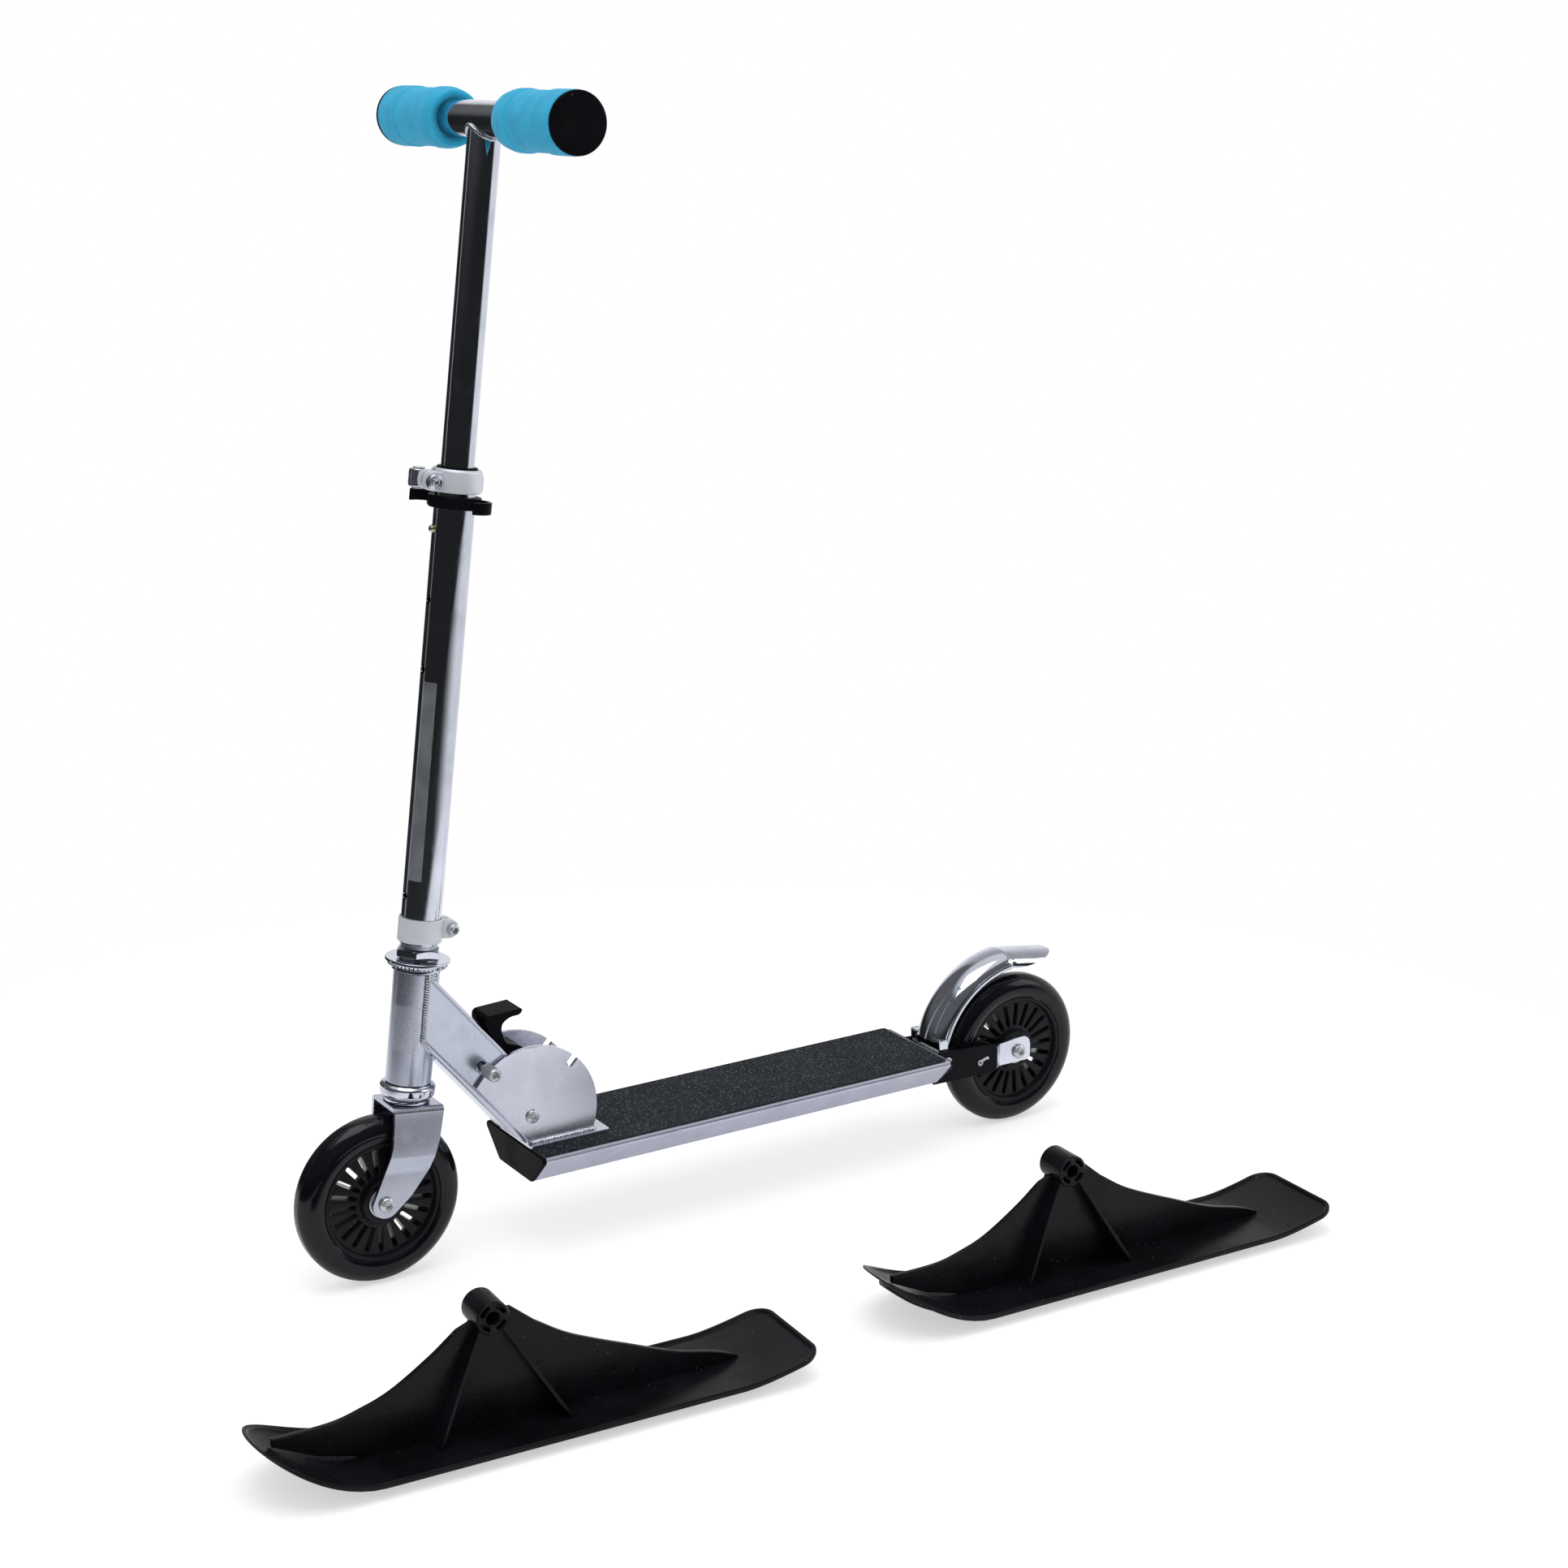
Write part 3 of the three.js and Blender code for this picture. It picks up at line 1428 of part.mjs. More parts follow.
function tBar() {
  const stem = rod(innerTubeRadius, innerTubeLow, barHeight, tubeSides);
  const cross = at(
    facingNear(rod(crossTubeRadius, -crossTubeHalfLength, crossTubeHalfLength, tubeSides)),
    0,
    0,
    barHeight,
  );
  const crossRange = symmetric(2 * crossTubeHalfLength + 2 * cutOverrun);
  const hollow = facingNear(rod(crossTubeRadius - crossTubeWall, ...crossRange, tubeSides));
  const stemBore = rod(innerTubeRadius - innerTubeWall, innerTubeLow - cutOverrun, barHeight, tubeSides);
  const buttonHole = frontHole(buttonRadius + fitGap, buttonHeight, outerTubeRadius + cutOverrun);
  return cut(join(stem, cross), at(hollow, 0, 0, barHeight), stemBore, buttonHole);
}

function stemBush() {
  const outer = outerTubeRadius - outerTubeWall - fitGap;
  return tube(outer, innerTubeRadius + fitGap, innerTubeLow, innerTubeLow + stemBushHeight);
}

const gripStart = crossTubeHalfLength + gripInnerGap;
const gripEnd = handleEnd - barCapThickness - fitGap;

function handleTube() {
  return tube(handleTubeRadius, handleTubeRadius - handleTubeWall, handleTubeInset, gripEnd);
}

// Foam grip: a funnel at its inner end, a waist, and a ridge where each third of its length starts.
function foamGrip() {
  const bore = handleTubeRadius + fitGap;
  const length = gripEnd - gripStart;
  const outside = gripRidgeShares.map(([share, steps]) => [
    gripRadius - steps * gripStep,
    gripStart + share * length,
  ]);
  return turned([
    [gripFunnelRadius, gripStart],
    ...outside,
    [bore, gripEnd],
    [bore, gripStart + gripFunnelDepth],
    [gripFunnelRadius, gripStart],
  ]);
}

function barCap() {
  const low = handleEnd - barCapThickness;
  const edge = gripRadius - gripStep;
  return turned([
    [0, low - barCapPlugDepth],
    [handleTubeRadius - handleTubeWall - fitGap, low - barCapPlugDepth],
    [handleTubeRadius - handleTubeWall - fitGap, low],
    [edge, low],
    [edge, handleEnd - gripStep],
    [edge - gripStep, handleEnd],
    [edge / 2, handleEnd],
    [0, handleEnd - barCapDimple],
  ]);
}

function handle(side, place) {
  const turn = side < 0 ? facingNear : facingFar;
  const set = (geometry) => at(turn(geometry), 0, 0, barHeight);
  return group(
    piece(`handle_tube_${place}`, set(handleTube()), chrome),
    piece(`foam_grip_${place}`, set(foamGrip()), foam),
    piece(`bar_end_cap_${place}`, set(barCap()), blackPlastic),
  );
}

// Ski, in a frame with its origin on the ground under the hub and its tip towards -X

function skiHeight(x) {
  const tipShare = Math.max(0, (-x - skiTipStart) / (skiTip - skiTipStart));
  const tailShare = Math.max(0, (x - skiTailStart) / (skiTail - skiTailStart));
  return skiTipHeight * tipShare ** skiTipPower + (skiTailHeight - skiSoleHeight) * tailShare ** skiTailPower;
}

// A bent slab that follows the ski's rise at tip and tail, between two heights over its sole's line.
function skiSlab(low, high, from, to, halfWidth) {
  const steps = 16;
  const xs = Array.from({ length: steps + 1 }, (_, i) => from + ((to - from) * i) / steps);
  const lift = (x, base) => base + skiHeight(x) * (1 - base / (2 * skiTipHeight));
  const lower = xs.map((x) => [x, lift(x, low)]);
  const upper = xs.map((x) => [x, lift(x, high)]).reverse();
  return upright(outline([...lower, ...upper]), [-halfWidth, halfWidth]);
}

// The ski seen from above: a round tip, straight sides and a tail with rounded corners.
function skiPlan(inset, zRange) {
  const half = skiHalfWidth - inset;
  const corner = half * skiTailCornerShare;
  const tipSteps = 10;
  const cornerSteps = 4;
  const nose = arcPoints(0, 0, 1, quarterTurn, 3 * quarterTurn, tipSteps).map(([x, y]) => [
    skiNoseLength - skiTip + Math.sign(x) * Math.abs(x) ** skiNosePower * (skiNoseLength - inset),
    y * half,
  ]);
  const rear = skiTail - inset;
  const farTail = arcPoints(rear - corner, half - corner, corner, 0, quarterTurn, cornerSteps);
  const nearTail = arcPoints(rear - corner, -half + corner, corner, -quarterTurn, 0, cornerSteps);
  return flat(outline([...nose, ...nearTail, ...farTail]), zRange);
}

const skiFinShares = [
  [-0.9, 0.42],
  [-0.67, 0.425],
  [-0.54, 0.475],
  [-0.41, 0.56],
  [-0.245, 0.745],
  [-0.127, 0.91],
  [0, 1],
  [0.075, 1],
  [0.15, 0.84],
  [0.265, 0.655],
  [0.455, 0.445],
  [0.6, 0.3],
  [0.73, 0.22],
  [0.81, 0.17],
  [0.81, 0.09],
  [-0.5, 0.09],
  [-0.72, 0.2],
  [-0.9, 0.36],
];

function skiFin() {
  const points = skiFinShares.map(([x, z]) => [x * (x < 0 ? skiTip : skiTail), z * skiHubHeight]);
  return upright(outline(points), symmetric(skiFinThickness));
}

function skiRib(footX) {
  const topZ = skiHubHeight - skiHubRadius / 2;
  const footZ = skiSoleHeight + skiFloor / 2;
  const topX = Math.sign(footX) * skiRibTopX;
  const length = Math.hypot(footX - topX, topZ - footZ);
  const lean = Math.atan2(footX - topX, topZ - footZ);
  const shape = outline([
    [-skiRibFootSpan, -length],
    [skiRibFootSpan, -length],
    [skiRibTopSpan, 0],
    [-skiRibTopSpan, 0],
  ]);
  return at(lengthwise(shape, symmetric(skiRibThickness)).rotateY(-lean), topX, 0, topZ);
}

function hubFaceSlots() {
  const slotInner = skiHubRadius * skiSpokeInnerShare;
  const slotOuter = skiHubRadius * skiSpokeOuterShare;
  const depth = skiHubLength / 6;
  const steps = 4;
  const ends = [-skiHubLength / 2, skiHubLength / 2];
  return ends.flatMap((y) =>
    Array.from({ length: skiSpokeCount }, (_, i) => {
      const from = (i * 2 * halfTurn) / skiSpokeCount + (quarterTurn - skiSpokeSpan) / 2;
      const shape = outline([
        ...arcPoints(0, skiHubHeight, slotOuter, from, from + skiSpokeSpan, steps),
        ...arcPoints(0, skiHubHeight, slotInner, from + skiSpokeSpan, from, steps),
      ]);
      return upright(shape, [y - depth, y + depth]);
    }),
  );
}

function ski() {
  const rimTop = skiSoleHeight + skiFloor + skiRimHeight;
  const above = skiTipHeight + skiHubHeight;
  const tray = shared(
    skiSlab(skiSoleHeight, rimTop, -skiTip - cutOverrun, skiTail + cutOverrun, skiHalfWidth + cutOverrun),
    skiPlan(0, [0, above]),
  );
  const pocket = shared(
    skiSlab(skiSoleHeight + skiFloor, rimTop + cutOverrun, -skiTip, skiTail, skiHalfWidth),
    skiPlan(skiRimWidth, [0, above]),
  );
  const soleFrom = skiSoleInset - skiTip;
  const soleTo = skiTail - skiSoleTailInset;
  const sole = shared(
    skiSlab(0, skiSoleHeight + skiFloor / 2, soleFrom, soleTo, skiSoleHalfWidth),
    skiPlan(skiSoleInset, [0, above]),
  );
  const hubTube = facingNear(rod(skiHubRadius, ...symmetric(skiHubLength), skiHubSides));
  const bore = crossBore(skiHubBore, 0, skiHubHeight);
  const body = join(
    cut(tray, pocket),
    sole,
    skiFin(),
    skiRib(-skiRibFrontFootX),
    skiRib(skiRibRearFootX),
    at(hubTube, 0, 0, skiHubHeight),
  );
  return cut(body, bore, ...hubFaceSlots());
}

function placedSki(name, { x, y, turn }) {
  const mesh = piece(name, ski(), blackPlastic);
  mesh.position.set(x, y, 0);
  mesh.rotation.z = turn;
  return mesh;
}

// Assembly

function chassis() {
  return group(
    piece("deck_extrusion", deckExtrusion(), satin),
    piece("grip_tape", gripTape(), gripTapeFinish),
    piece("front_end_cap", frontEndCap(), blackPlastic),
    piece("fold_bracket", foldBracket(), satin),
    piece("pivot_bolt", pivotBolt(), zinc),
    piece("pivot_nut", pivotNut(), zinc),
    piece("rear_fork", rearFork(), blackPaint),
    piece("axle_plate_near", axlePlate(-1), satin),
    piece("axle_plate_far", axlePlate(1), satin),
    piece("rear_axle_bolt", at(axleBolt(plateOuterY), rearAxleX, 0, wheelRadius), zinc),
    piece("rear_axle_nut", at(axleNut(plateOuterY), rearAxleX, 0, wheelRadius), zinc),
    piece("fender_pin", fenderPin(), zinc),
    piece("fender_spring", fenderSpring(), zinc),
    piece("rear_fender", rearFender(), chrome),
  );
}

function placedWheel(end, x, z) {
  const made = wheel(end);
  made.position.set(x, 0, z);
  return made;
}

function inFrame(matrix, ...children) {
  const made = group(...children);
  made.applyMatrix4(matrix);
  return made;
}

function neckAssembly() {
  return inFrame(
    neckFrame,
    piece("neck_and_head_tube", neck(), satin),
    piece("lock_pin", lockPin(), zinc),
    piece("lock_knob_near", lockKnob(-1), zinc),
    piece("lock_knob_far", lockKnob(1), zinc),
    piece("release_lever", releaseLever(), blackPlastic),
    piece("lock_spring", lockSpring(), zinc),
  );
}

function steeringAssembly() {
  return inFrame(
    steeringFrame,
    piece("lower_cup", lowerCup(), chrome),
    piece("upper_cup", upperCup(), chrome),
    piece("lower_head_bearing", headBearing(lowerBearingLow), zinc),
    piece("upper_head_bearing", headBearing(upperBearingLow), zinc),
    piece("crown_race", crownRace(), chrome),
    piece("headset_flange", headsetFlange(), chrome),
    piece("lock_nut", lockNut(), chrome),
    piece("fork_and_steerer", fork(), satin),
    piece("front_axle_bolt", at(axleBolt(legLowerWidth / 2), axleX, 0, axleHeight), zinc),
    piece("front_axle_nut", at(axleNut(legLowerWidth / 2), axleX, 0, axleHeight), zinc),
    placedWheel("front", axleX, axleHeight),
    piece("lower_clamp", lowerClamp(), satin),
    piece("lower_clamp_bolt", lowerClampBolt(), zinc),
    piece("outer_stem_tube", outerStemTube(), chrome),
    piece("stem_sleeve", stemSleeve(), blackPlastic),
    piece("upper_clamp", upperClamp(), satin),
    piece("quick_release_skewer", quickReleaseSkewer(), zinc),
    piece("adjuster_nut", adjusterNut(), zinc),
    piece("quick_release_lever", quickReleaseLever(), satin),
    piece("grip_holder", gripHolder(), blackPlastic),
    piece("snap_button", snapButton(), brass),
    piece("t_bar", tBar(), chrome),
    piece("stem_bush", stemBush(), blackPlastic),
    handle(-1, "near"),
    handle(1, "far"),
  );
}

const set = group(
  chassis(),
  placedWheel("rear", rearAxleX, wheelRadius),
  neckAssembly(),
  steeringAssembly(),
  placedSki("front_ski", frontSkiPlace),
  placedSki("rear_ski", rearSkiPlace),
);

// The part's origin is on the ground, under the middle of the whole set.
const extent = new THREE.Box3().setFromObject(set, true);
const middle = extent.getCenter(new THREE.Vector3());
set.position.set(-middle.x, -middle.y, -extent.min.z);

export default group(set);
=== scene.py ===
"""Folding snow scooter: the pieces and finishes that dress its CAD frame, with a plain studio round it.

Lengths in the classes are millimetres in the frame of the sub-assembly; meshes are written in metres, in the
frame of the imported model.
"""

from __future__ import annotations

import json
import logging
import math
from collections.abc import Iterable, Sequence
from dataclasses import dataclass
from enum import Enum

import bmesh
import bpy
from mathutils import Matrix, Vector

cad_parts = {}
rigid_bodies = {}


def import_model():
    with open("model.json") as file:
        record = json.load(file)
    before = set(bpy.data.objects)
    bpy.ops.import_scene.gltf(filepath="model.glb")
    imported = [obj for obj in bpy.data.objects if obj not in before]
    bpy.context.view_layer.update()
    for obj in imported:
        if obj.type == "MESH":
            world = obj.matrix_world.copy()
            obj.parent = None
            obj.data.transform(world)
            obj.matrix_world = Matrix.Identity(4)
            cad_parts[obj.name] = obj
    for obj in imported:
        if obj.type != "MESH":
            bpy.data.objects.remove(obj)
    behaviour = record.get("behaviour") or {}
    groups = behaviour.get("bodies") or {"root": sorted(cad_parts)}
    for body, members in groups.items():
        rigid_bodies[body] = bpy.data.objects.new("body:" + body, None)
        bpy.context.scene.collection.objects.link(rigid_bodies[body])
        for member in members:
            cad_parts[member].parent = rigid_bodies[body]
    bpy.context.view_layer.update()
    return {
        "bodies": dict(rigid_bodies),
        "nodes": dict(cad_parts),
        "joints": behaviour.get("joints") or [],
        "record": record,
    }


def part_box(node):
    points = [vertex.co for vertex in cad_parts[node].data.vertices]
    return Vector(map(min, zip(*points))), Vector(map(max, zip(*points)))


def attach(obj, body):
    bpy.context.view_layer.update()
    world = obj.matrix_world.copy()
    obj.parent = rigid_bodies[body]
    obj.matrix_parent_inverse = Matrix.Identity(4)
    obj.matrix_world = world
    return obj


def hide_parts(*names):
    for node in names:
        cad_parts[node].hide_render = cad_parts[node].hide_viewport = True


LOG = logging.getLogger("snow_scooter")

MM = 0.001
FULL_TURN = 2 * math.pi
QUARTER_TURN = math.pi / 2

GAP = 0.3
PIVOT = (111, 102)
BOLT_BORE = 4.2
NECK_HEIGHT = 37.6
PIN_PLACE = -54.3
HEAD_TUBE_RADIUS = 15.9
SKEWER_HEIGHT = 554.38
SKEWER_FORWARD = 21.5
AXLE_HEIGHT = 60
WHEELBASE = 542
FRONT_AXLE = (58.382, 16.4)
FORK_INSIDE = 16
PLATE_INSIDE = 14.9
FENDER_PIN = (467.3, 68.7)
TOP_HOLE = 522.58
RAKE = 7.35
NECK_SLOPE = 50.8

Piece = bpy.types.Object
Node = bpy.types.Node
Socket = bpy.types.NodeSocket
Tree = bpy.types.NodeTree
Point2 = tuple[float, float]
Point3 = tuple[float, float, float]


class Body(Enum):
    """The CAD bodies that pieces ride on."""

    CHASSIS = "chassis"
    REAR_WHEEL = "rear_wheel"
    FENDER = "fender"
    NECK = "neck"
    FOLD_LOCK = "fold_lock"
    STEERING = "steering"
    CLAMP_LEVER = "clamp_lever"
    BUTTON = "button"
    FRONT_WHEEL = "front_wheel"
    STEM = "stem"
    NEAR_GRIP = "near_grip"
    FAR_GRIP = "far_grip"
    SKI_ONE = "ski_one"
    SKI_TWO = "ski_two"


class Side(Enum):
    """The two sides of the scooter, as the sign of Y."""

    NEAR = -1
    FAR = 1


# Outlines and profiles


def arc(centre: Point2, radius: float, start: float, end: float, steps: int) -> list[Point2]:
    """Points along an arc.

    Args:
        centre: The arc's centre.
        radius: Its radius.
        start: First angle in degrees.
        end: Last angle in degrees.
        steps: How many chords the arc has.

    Returns:
        The points from start to end, both included.
    """
    angles = (math.radians(start + (end - start) * i / steps) for i in range(steps + 1))
    return [(centre[0] + radius * math.cos(a), centre[1] + radius * math.sin(a)) for a in angles]


def rounded(points: Sequence[Point2], radius: float, steps: int = 4, skip: Iterable[int] = ()) -> list[
    Point2
]:
    """Rounds the corners of a closed outline.

    Args:
        points: The outline's corners.
        radius: How far from a corner the rounding starts, at most.
        steps: How many chords each rounding has.
        skip: Indices of corners that stay sharp.

    Returns:
        The outline with its corners rounded.
    """
    kept = set(skip)
    made: list[Point2] = []
    count = len(points)
    for i, here in enumerate(points):
        before, after = Vector(points[i - 1]), Vector(points[(i + 1) % count])
        corner = Vector(here)
        back, ahead = before - corner, after - corner
        reach = min(radius, back.length * 0.48, ahead.length * 0.48)
        turn = back.angle(ahead, math.pi) if back.length and ahead.length else math.pi
        if i in kept or reach < 1e-4 or turn > math.radians(172):
            made.append(here)
            continue
        first, last = corner + back.normalized() * reach, corner + ahead.normalized() * reach
        for j in range(steps + 1):
            t = j / steps
            p = first * (1 - t) ** 2 + corner * 2 * t * (1 - t) + last * t**2
            made.append((p.x, p.y))
    return made


def smooth_line(points: Sequence[Sequence[float]], steps: int = 6) -> list[Vector]:
    """A smooth curve through points.

    Args:
        points: Points in two or three dimensions.
        steps: How many pieces each stretch between two points has.

    Returns:
        Points along a Catmull-Rom curve, with the first and last point kept.
    """
    knots = [Vector(p) for p in points]
    knots = [knots[0] * 2 - knots[1], *knots, knots[-1] * 2 - knots[-2]]
    made: list[Vector] = []
    for i in range(1, len(knots) - 2):
        a, b, c, d = knots[i - 1 : i + 3]
        for j in range(steps):
            t = j / steps
            made.append(
                0.5 * (
                    2 * b + (c - a) * t + (2 * a - 5 * b + 4 * c - d) * t**2 + (3 * b - a - 3 * c + d) * t**3
                )
            )
    made.append(knots[-2])
    return made


def ease(value: float, low: float, high: float) -> float:
    """A smooth step from 0 at low to 1 at high."""
    t = min(1.0, max(0.0, (value - low) / (high - low)))
    return t * t * (3 - 2 * t)


# Meshes


def mesh_object(
    name: str, points: Iterable[Sequence[float]], faces: Iterable[Sequence[int]], frame: Matrix
) -> Piece:
    """Makes an object whose mesh lies in the record's frame.

    Args:
        name: The object's name.
        points: Its points in millimetres, in the local frame.
        faces: Its faces, as indices of points.
        frame: The local frame, in metres.

    Returns:
        The object, at the origin.
    """
    mesh = bpy.data.meshes.new(name)
    mesh.from_pydata([frame @ (Vector(p) * MM) for p in points], [], [tuple(f) for f in faces])
    mesh.update()
    made = bpy.data.objects.new(name, mesh)
    bpy.context.scene.collection.objects.link(made)
    return made


def tidy_mesh(obj: Piece, merge: float = 1e-6, outward: bool = True) -> Piece:
    """Merges double points and turns the faces outwards."""
    edit = bmesh.new()
    edit.from_mesh(obj.data)
    bmesh.ops.remove_doubles(edit, verts=edit.verts, dist=merge)
    bmesh.ops.dissolve_degenerate(edit, dist=merge, edges=edit.edges)
    if outward:
        bmesh.ops.recalc_face_normals(edit, faces=edit.faces)
    edit.to_mesh(obj.data)
    edit.free()
    return obj


def plain(obj: Piece) -> Piece:
    """Turns an object and its modifiers into a plain mesh at the origin.

    Args:
        obj: A mesh, curve or text object.

    Returns:
        A mesh object of the same name, without modifiers.
    """
    name = obj.name
    bpy.context.view_layer.update()
    graph = bpy.context.evaluated_depsgraph_get()
    mesh = bpy.data.meshes.new_from_object(obj.evaluated_get(graph))
    mesh.transform(obj.matrix_world)
    bpy.data.objects.remove(obj)
    mesh.name = name
    made = bpy.data.objects.new(name, mesh)
    bpy.context.scene.collection.objects.link(made)
    return made


def smooth(obj: Piece, angle: float = 34) -> Piece:
    """Shades a mesh smoothly, apart from edges sharper than an angle in degrees."""
    obj.data.polygons.foreach_set("use_smooth", [True] * len(obj.data.polygons))
    obj.data.set_sharp_from_angle(angle=math.radians(angle))
    return obj


def bevelled(obj: Piece, width: float, segments: int = 3, angle: float = 32) -> Piece:
    """Rounds the sharp edges of a mesh.

    Args:
        obj: The mesh object.
        width: The rounding's width in millimetres.
        segments: How many faces cross each rounding.
        angle: Edges that turn less than this, in degrees, stay as they are.

    Returns:
        The finished object.
    """
    modifier = obj.modifiers.new("edge", "BEVEL")
    modifier.width = width * MM
    modifier.segments = segments
    modifier.limit_method = "ANGLE"
    modifier.angle_limit = math.radians(angle)
    modifier.harden_normals = False
    obj.modifiers.new("shade", "WEIGHTED_NORMAL").keep_sharp = True
    smooth(obj, 60)
    return plain(obj)


def weighted(obj: Piece, angle: float = 50) -> Piece:
    """Shades a mesh smoothly, with large faces deciding the shading."""
    smooth(obj, angle)
    obj.modifiers.new("shade", "WEIGHTED_NORMAL").keep_sharp = True
    return plain(obj)


def lathe(name: str, profile: Sequence[Point2], frame: Matrix, sides: int = 96) -> Piece:
    """Turns a closed profile round the local Z axis.

    Args:
        name: The object's name.
        profile: Corners as (radius, height). Points on the axis have radius 0.
        frame: The local frame, in metres.
        sides: How many sides the round has.

    Returns:
        The turned object, facing outwards.
    """
    points: list[Point3] = []
    rings: list[list[int]] = []
    for radius, height in profile:
        if radius < 1e-4:
            points.append((0, 0, height))
            rings.append([len(points) - 1] * sides)
            continue
        rings.append([len(points) + i for i in range(sides)])
        turns = (FULL_TURN * i / sides for i in range(sides))
        points.extend((radius * math.cos(a), radius * math.sin(a), height) for a in turns)
    faces = []
    for ring, nxt in zip(rings, rings[1:] + rings[:1]):
        for i in range(sides):
            corners = [ring[i], ring[(i + 1) % sides], nxt[(i + 1) % sides], nxt[i]]
            face = list(dict.fromkeys(corners))
            if len(face) > 2:
                faces.append(face)
    made = mesh_object(name, points, faces, frame)
    return weighted(tidy_mesh(made))


def grid_shell(
    name: str, rows: Sequence[Sequence[Sequence[float]]], frame: Matrix, closed: bool = False
) -> Piece:
    """Makes a surface through rows of points.

    Args:
        name: The object's name.
        rows: Rows with as many points each, in millimetres.
        frame: The local frame, in metres.
        closed: Whether each row is a ring; the two ends are then capped.

    Returns:
        The object.
    """
    width = len(rows[0])
    points = [p for row in rows for p in row]
    faces = []
    for i in range(len(rows) - 1):
        for j in range(width if closed else width - 1):
            k = (j + 1) % width
            faces.append((i * width + j, i * width + k, (i + 1) * width + k, (i + 1) * width + j))
    if closed:
        faces.append(tuple(range(width))[::-1])
        faces.append(tuple((len(rows) - 1) * width + j for j in range(width)))
    return tidy_mesh(mesh_object(name, points, faces, frame))


def thickened(obj: Piece, wall: float, offset: float = -1, edge: float = 0.35) -> Piece:
    """Gives a surface a wall and rounds its edges.

    Args:
        obj: The surface.
        wall: The wall's thickness in millimetres.
        offset: -1 grows inwards, 1 outwards and 0 both ways.
        edge: The rounding of the edges in millimetres.

    Returns:
        The finished object.
    """
    modifier = obj.modifiers.new("wall", "SOLIDIFY")
    modifier.thickness = wall * MM
    modifier.offset = offset
    modifier.use_even_offset = True
    solid = plain(obj)
    return bevelled(solid, edge, 2, 40)


def flat_plate(
    name: str,
    outlines: Sequence[Sequence[Point2]],
    thickness: float,
    frame: Matrix,
    edge: float = 0.4,
) -> Piece:
    """Makes a plate with rounded edges and holes.

    Args:
        name: The object's name.
        outlines: The outer outline, then those of the holes, in the local XY plane.
        thickness: The plate's thickness, centred on the plane.
        frame: The local frame, in metres.
        edge: The rounding of the edges.

    Returns:
        The finished object.
    """
    curve = bpy.data.curves.new(name, "CURVE")
    curve.dimensions = "2D"
    curve.fill_mode = "BOTH"
    curve.extrude = (thickness / 2 - edge) * MM
    curve.bevel_depth = edge * MM
    curve.bevel_resolution = 1
    curve.offset = -edge * MM
    for outline in outlines:
        spline = curve.splines.new("POLY")
        spline.points.add(len(outline) - 1)
        spline.use_cyclic_u = True
        for point, (x, y) in zip(spline.points, outline):
            point.co = (x * MM, y * MM, 0, 1)
    made = bpy.data.objects.new(name, curve)
    bpy.context.scene.collection.objects.link(made)
    flat = plain(made)
    flat.data.transform(frame)
    return weighted(tidy_mesh(flat, 2e-6))


class Trim(Enum):
    """How a tool acts on a mesh."""

    AWAY = "DIFFERENCE"
    WITHIN = "INTERSECT"


def trimmed(obj: Piece, how: Trim, *tools: Piece) -> Piece:
    """Cuts away or keeps what tools cover, and removes the tools.

    Args:
        obj: The mesh.
        how: What the tools do.
        tools: Closed meshes.

    Returns:
        The finished mesh.
    """
    for tool in tools:
        modifier = obj.modifiers.new("trim", "BOOLEAN")
        modifier.operation = how.value
        modifier.solver = "EXACT"
        modifier.object = tool
    made = plain(obj)
    for tool in tools:
        bpy.data.objects.remove(tool)
    return made


def cut(obj: Piece, *tools: Piece) -> Piece:
    """Cuts tools out of a mesh."""
    return trimmed(obj, Trim.AWAY, *tools)


def joined(name: str, objects: Sequence[Piece]) -> Piece:
    """Puts several meshes into one object.

    Args:
        name: The new object's name.
        objects: The meshes, which are removed.

    Returns:
        The joined object.
    """
    made = bpy.data.objects.new(name, bpy.data.meshes.new(name))
    bpy.context.scene.collection.objects.link(made)
    with bpy.context.temp_override(active_object=made, selected_editable_objects=[made, *objects]):
        bpy.ops.object.join()
    made.name = name
    return made


def box_tool(low: Point3, high: Point3, frame: Matrix) -> Piece:
    """A plain block between two corners, for cutting."""
    corners = [(x, y, z) for z in (low[2], high[2]) for y in (low[1], high[1]) for x in (low[0], high[0])]
    faces = [(0, 2, 3, 1), (4, 5, 7, 6), (0, 1, 5, 4), (2, 6, 7, 3), (0, 4, 6, 2), (1, 3, 7, 5)]
    return mesh_object("block", corners, faces, frame)


def prism_tool(outline: Sequence[Point2], low: float, high: float, frame: Matrix) -> Piece:
    """A prism over an outline in the local XY plane, for cutting."""
    count = len(outline)
    points = [(x, y, z) for z in (low, high) for x, y in outline]
    faces: list[tuple[int, ...]] = [tuple(range(count))[::-1], tuple(range(count, 2 * count))]
    faces.extend((i, (i + 1) % count, count + (i + 1) % count, count + i) for i in range(count))
    return tidy_mesh(mesh_object("prism", points, faces, frame))


# Shader node groups for what several finishes share


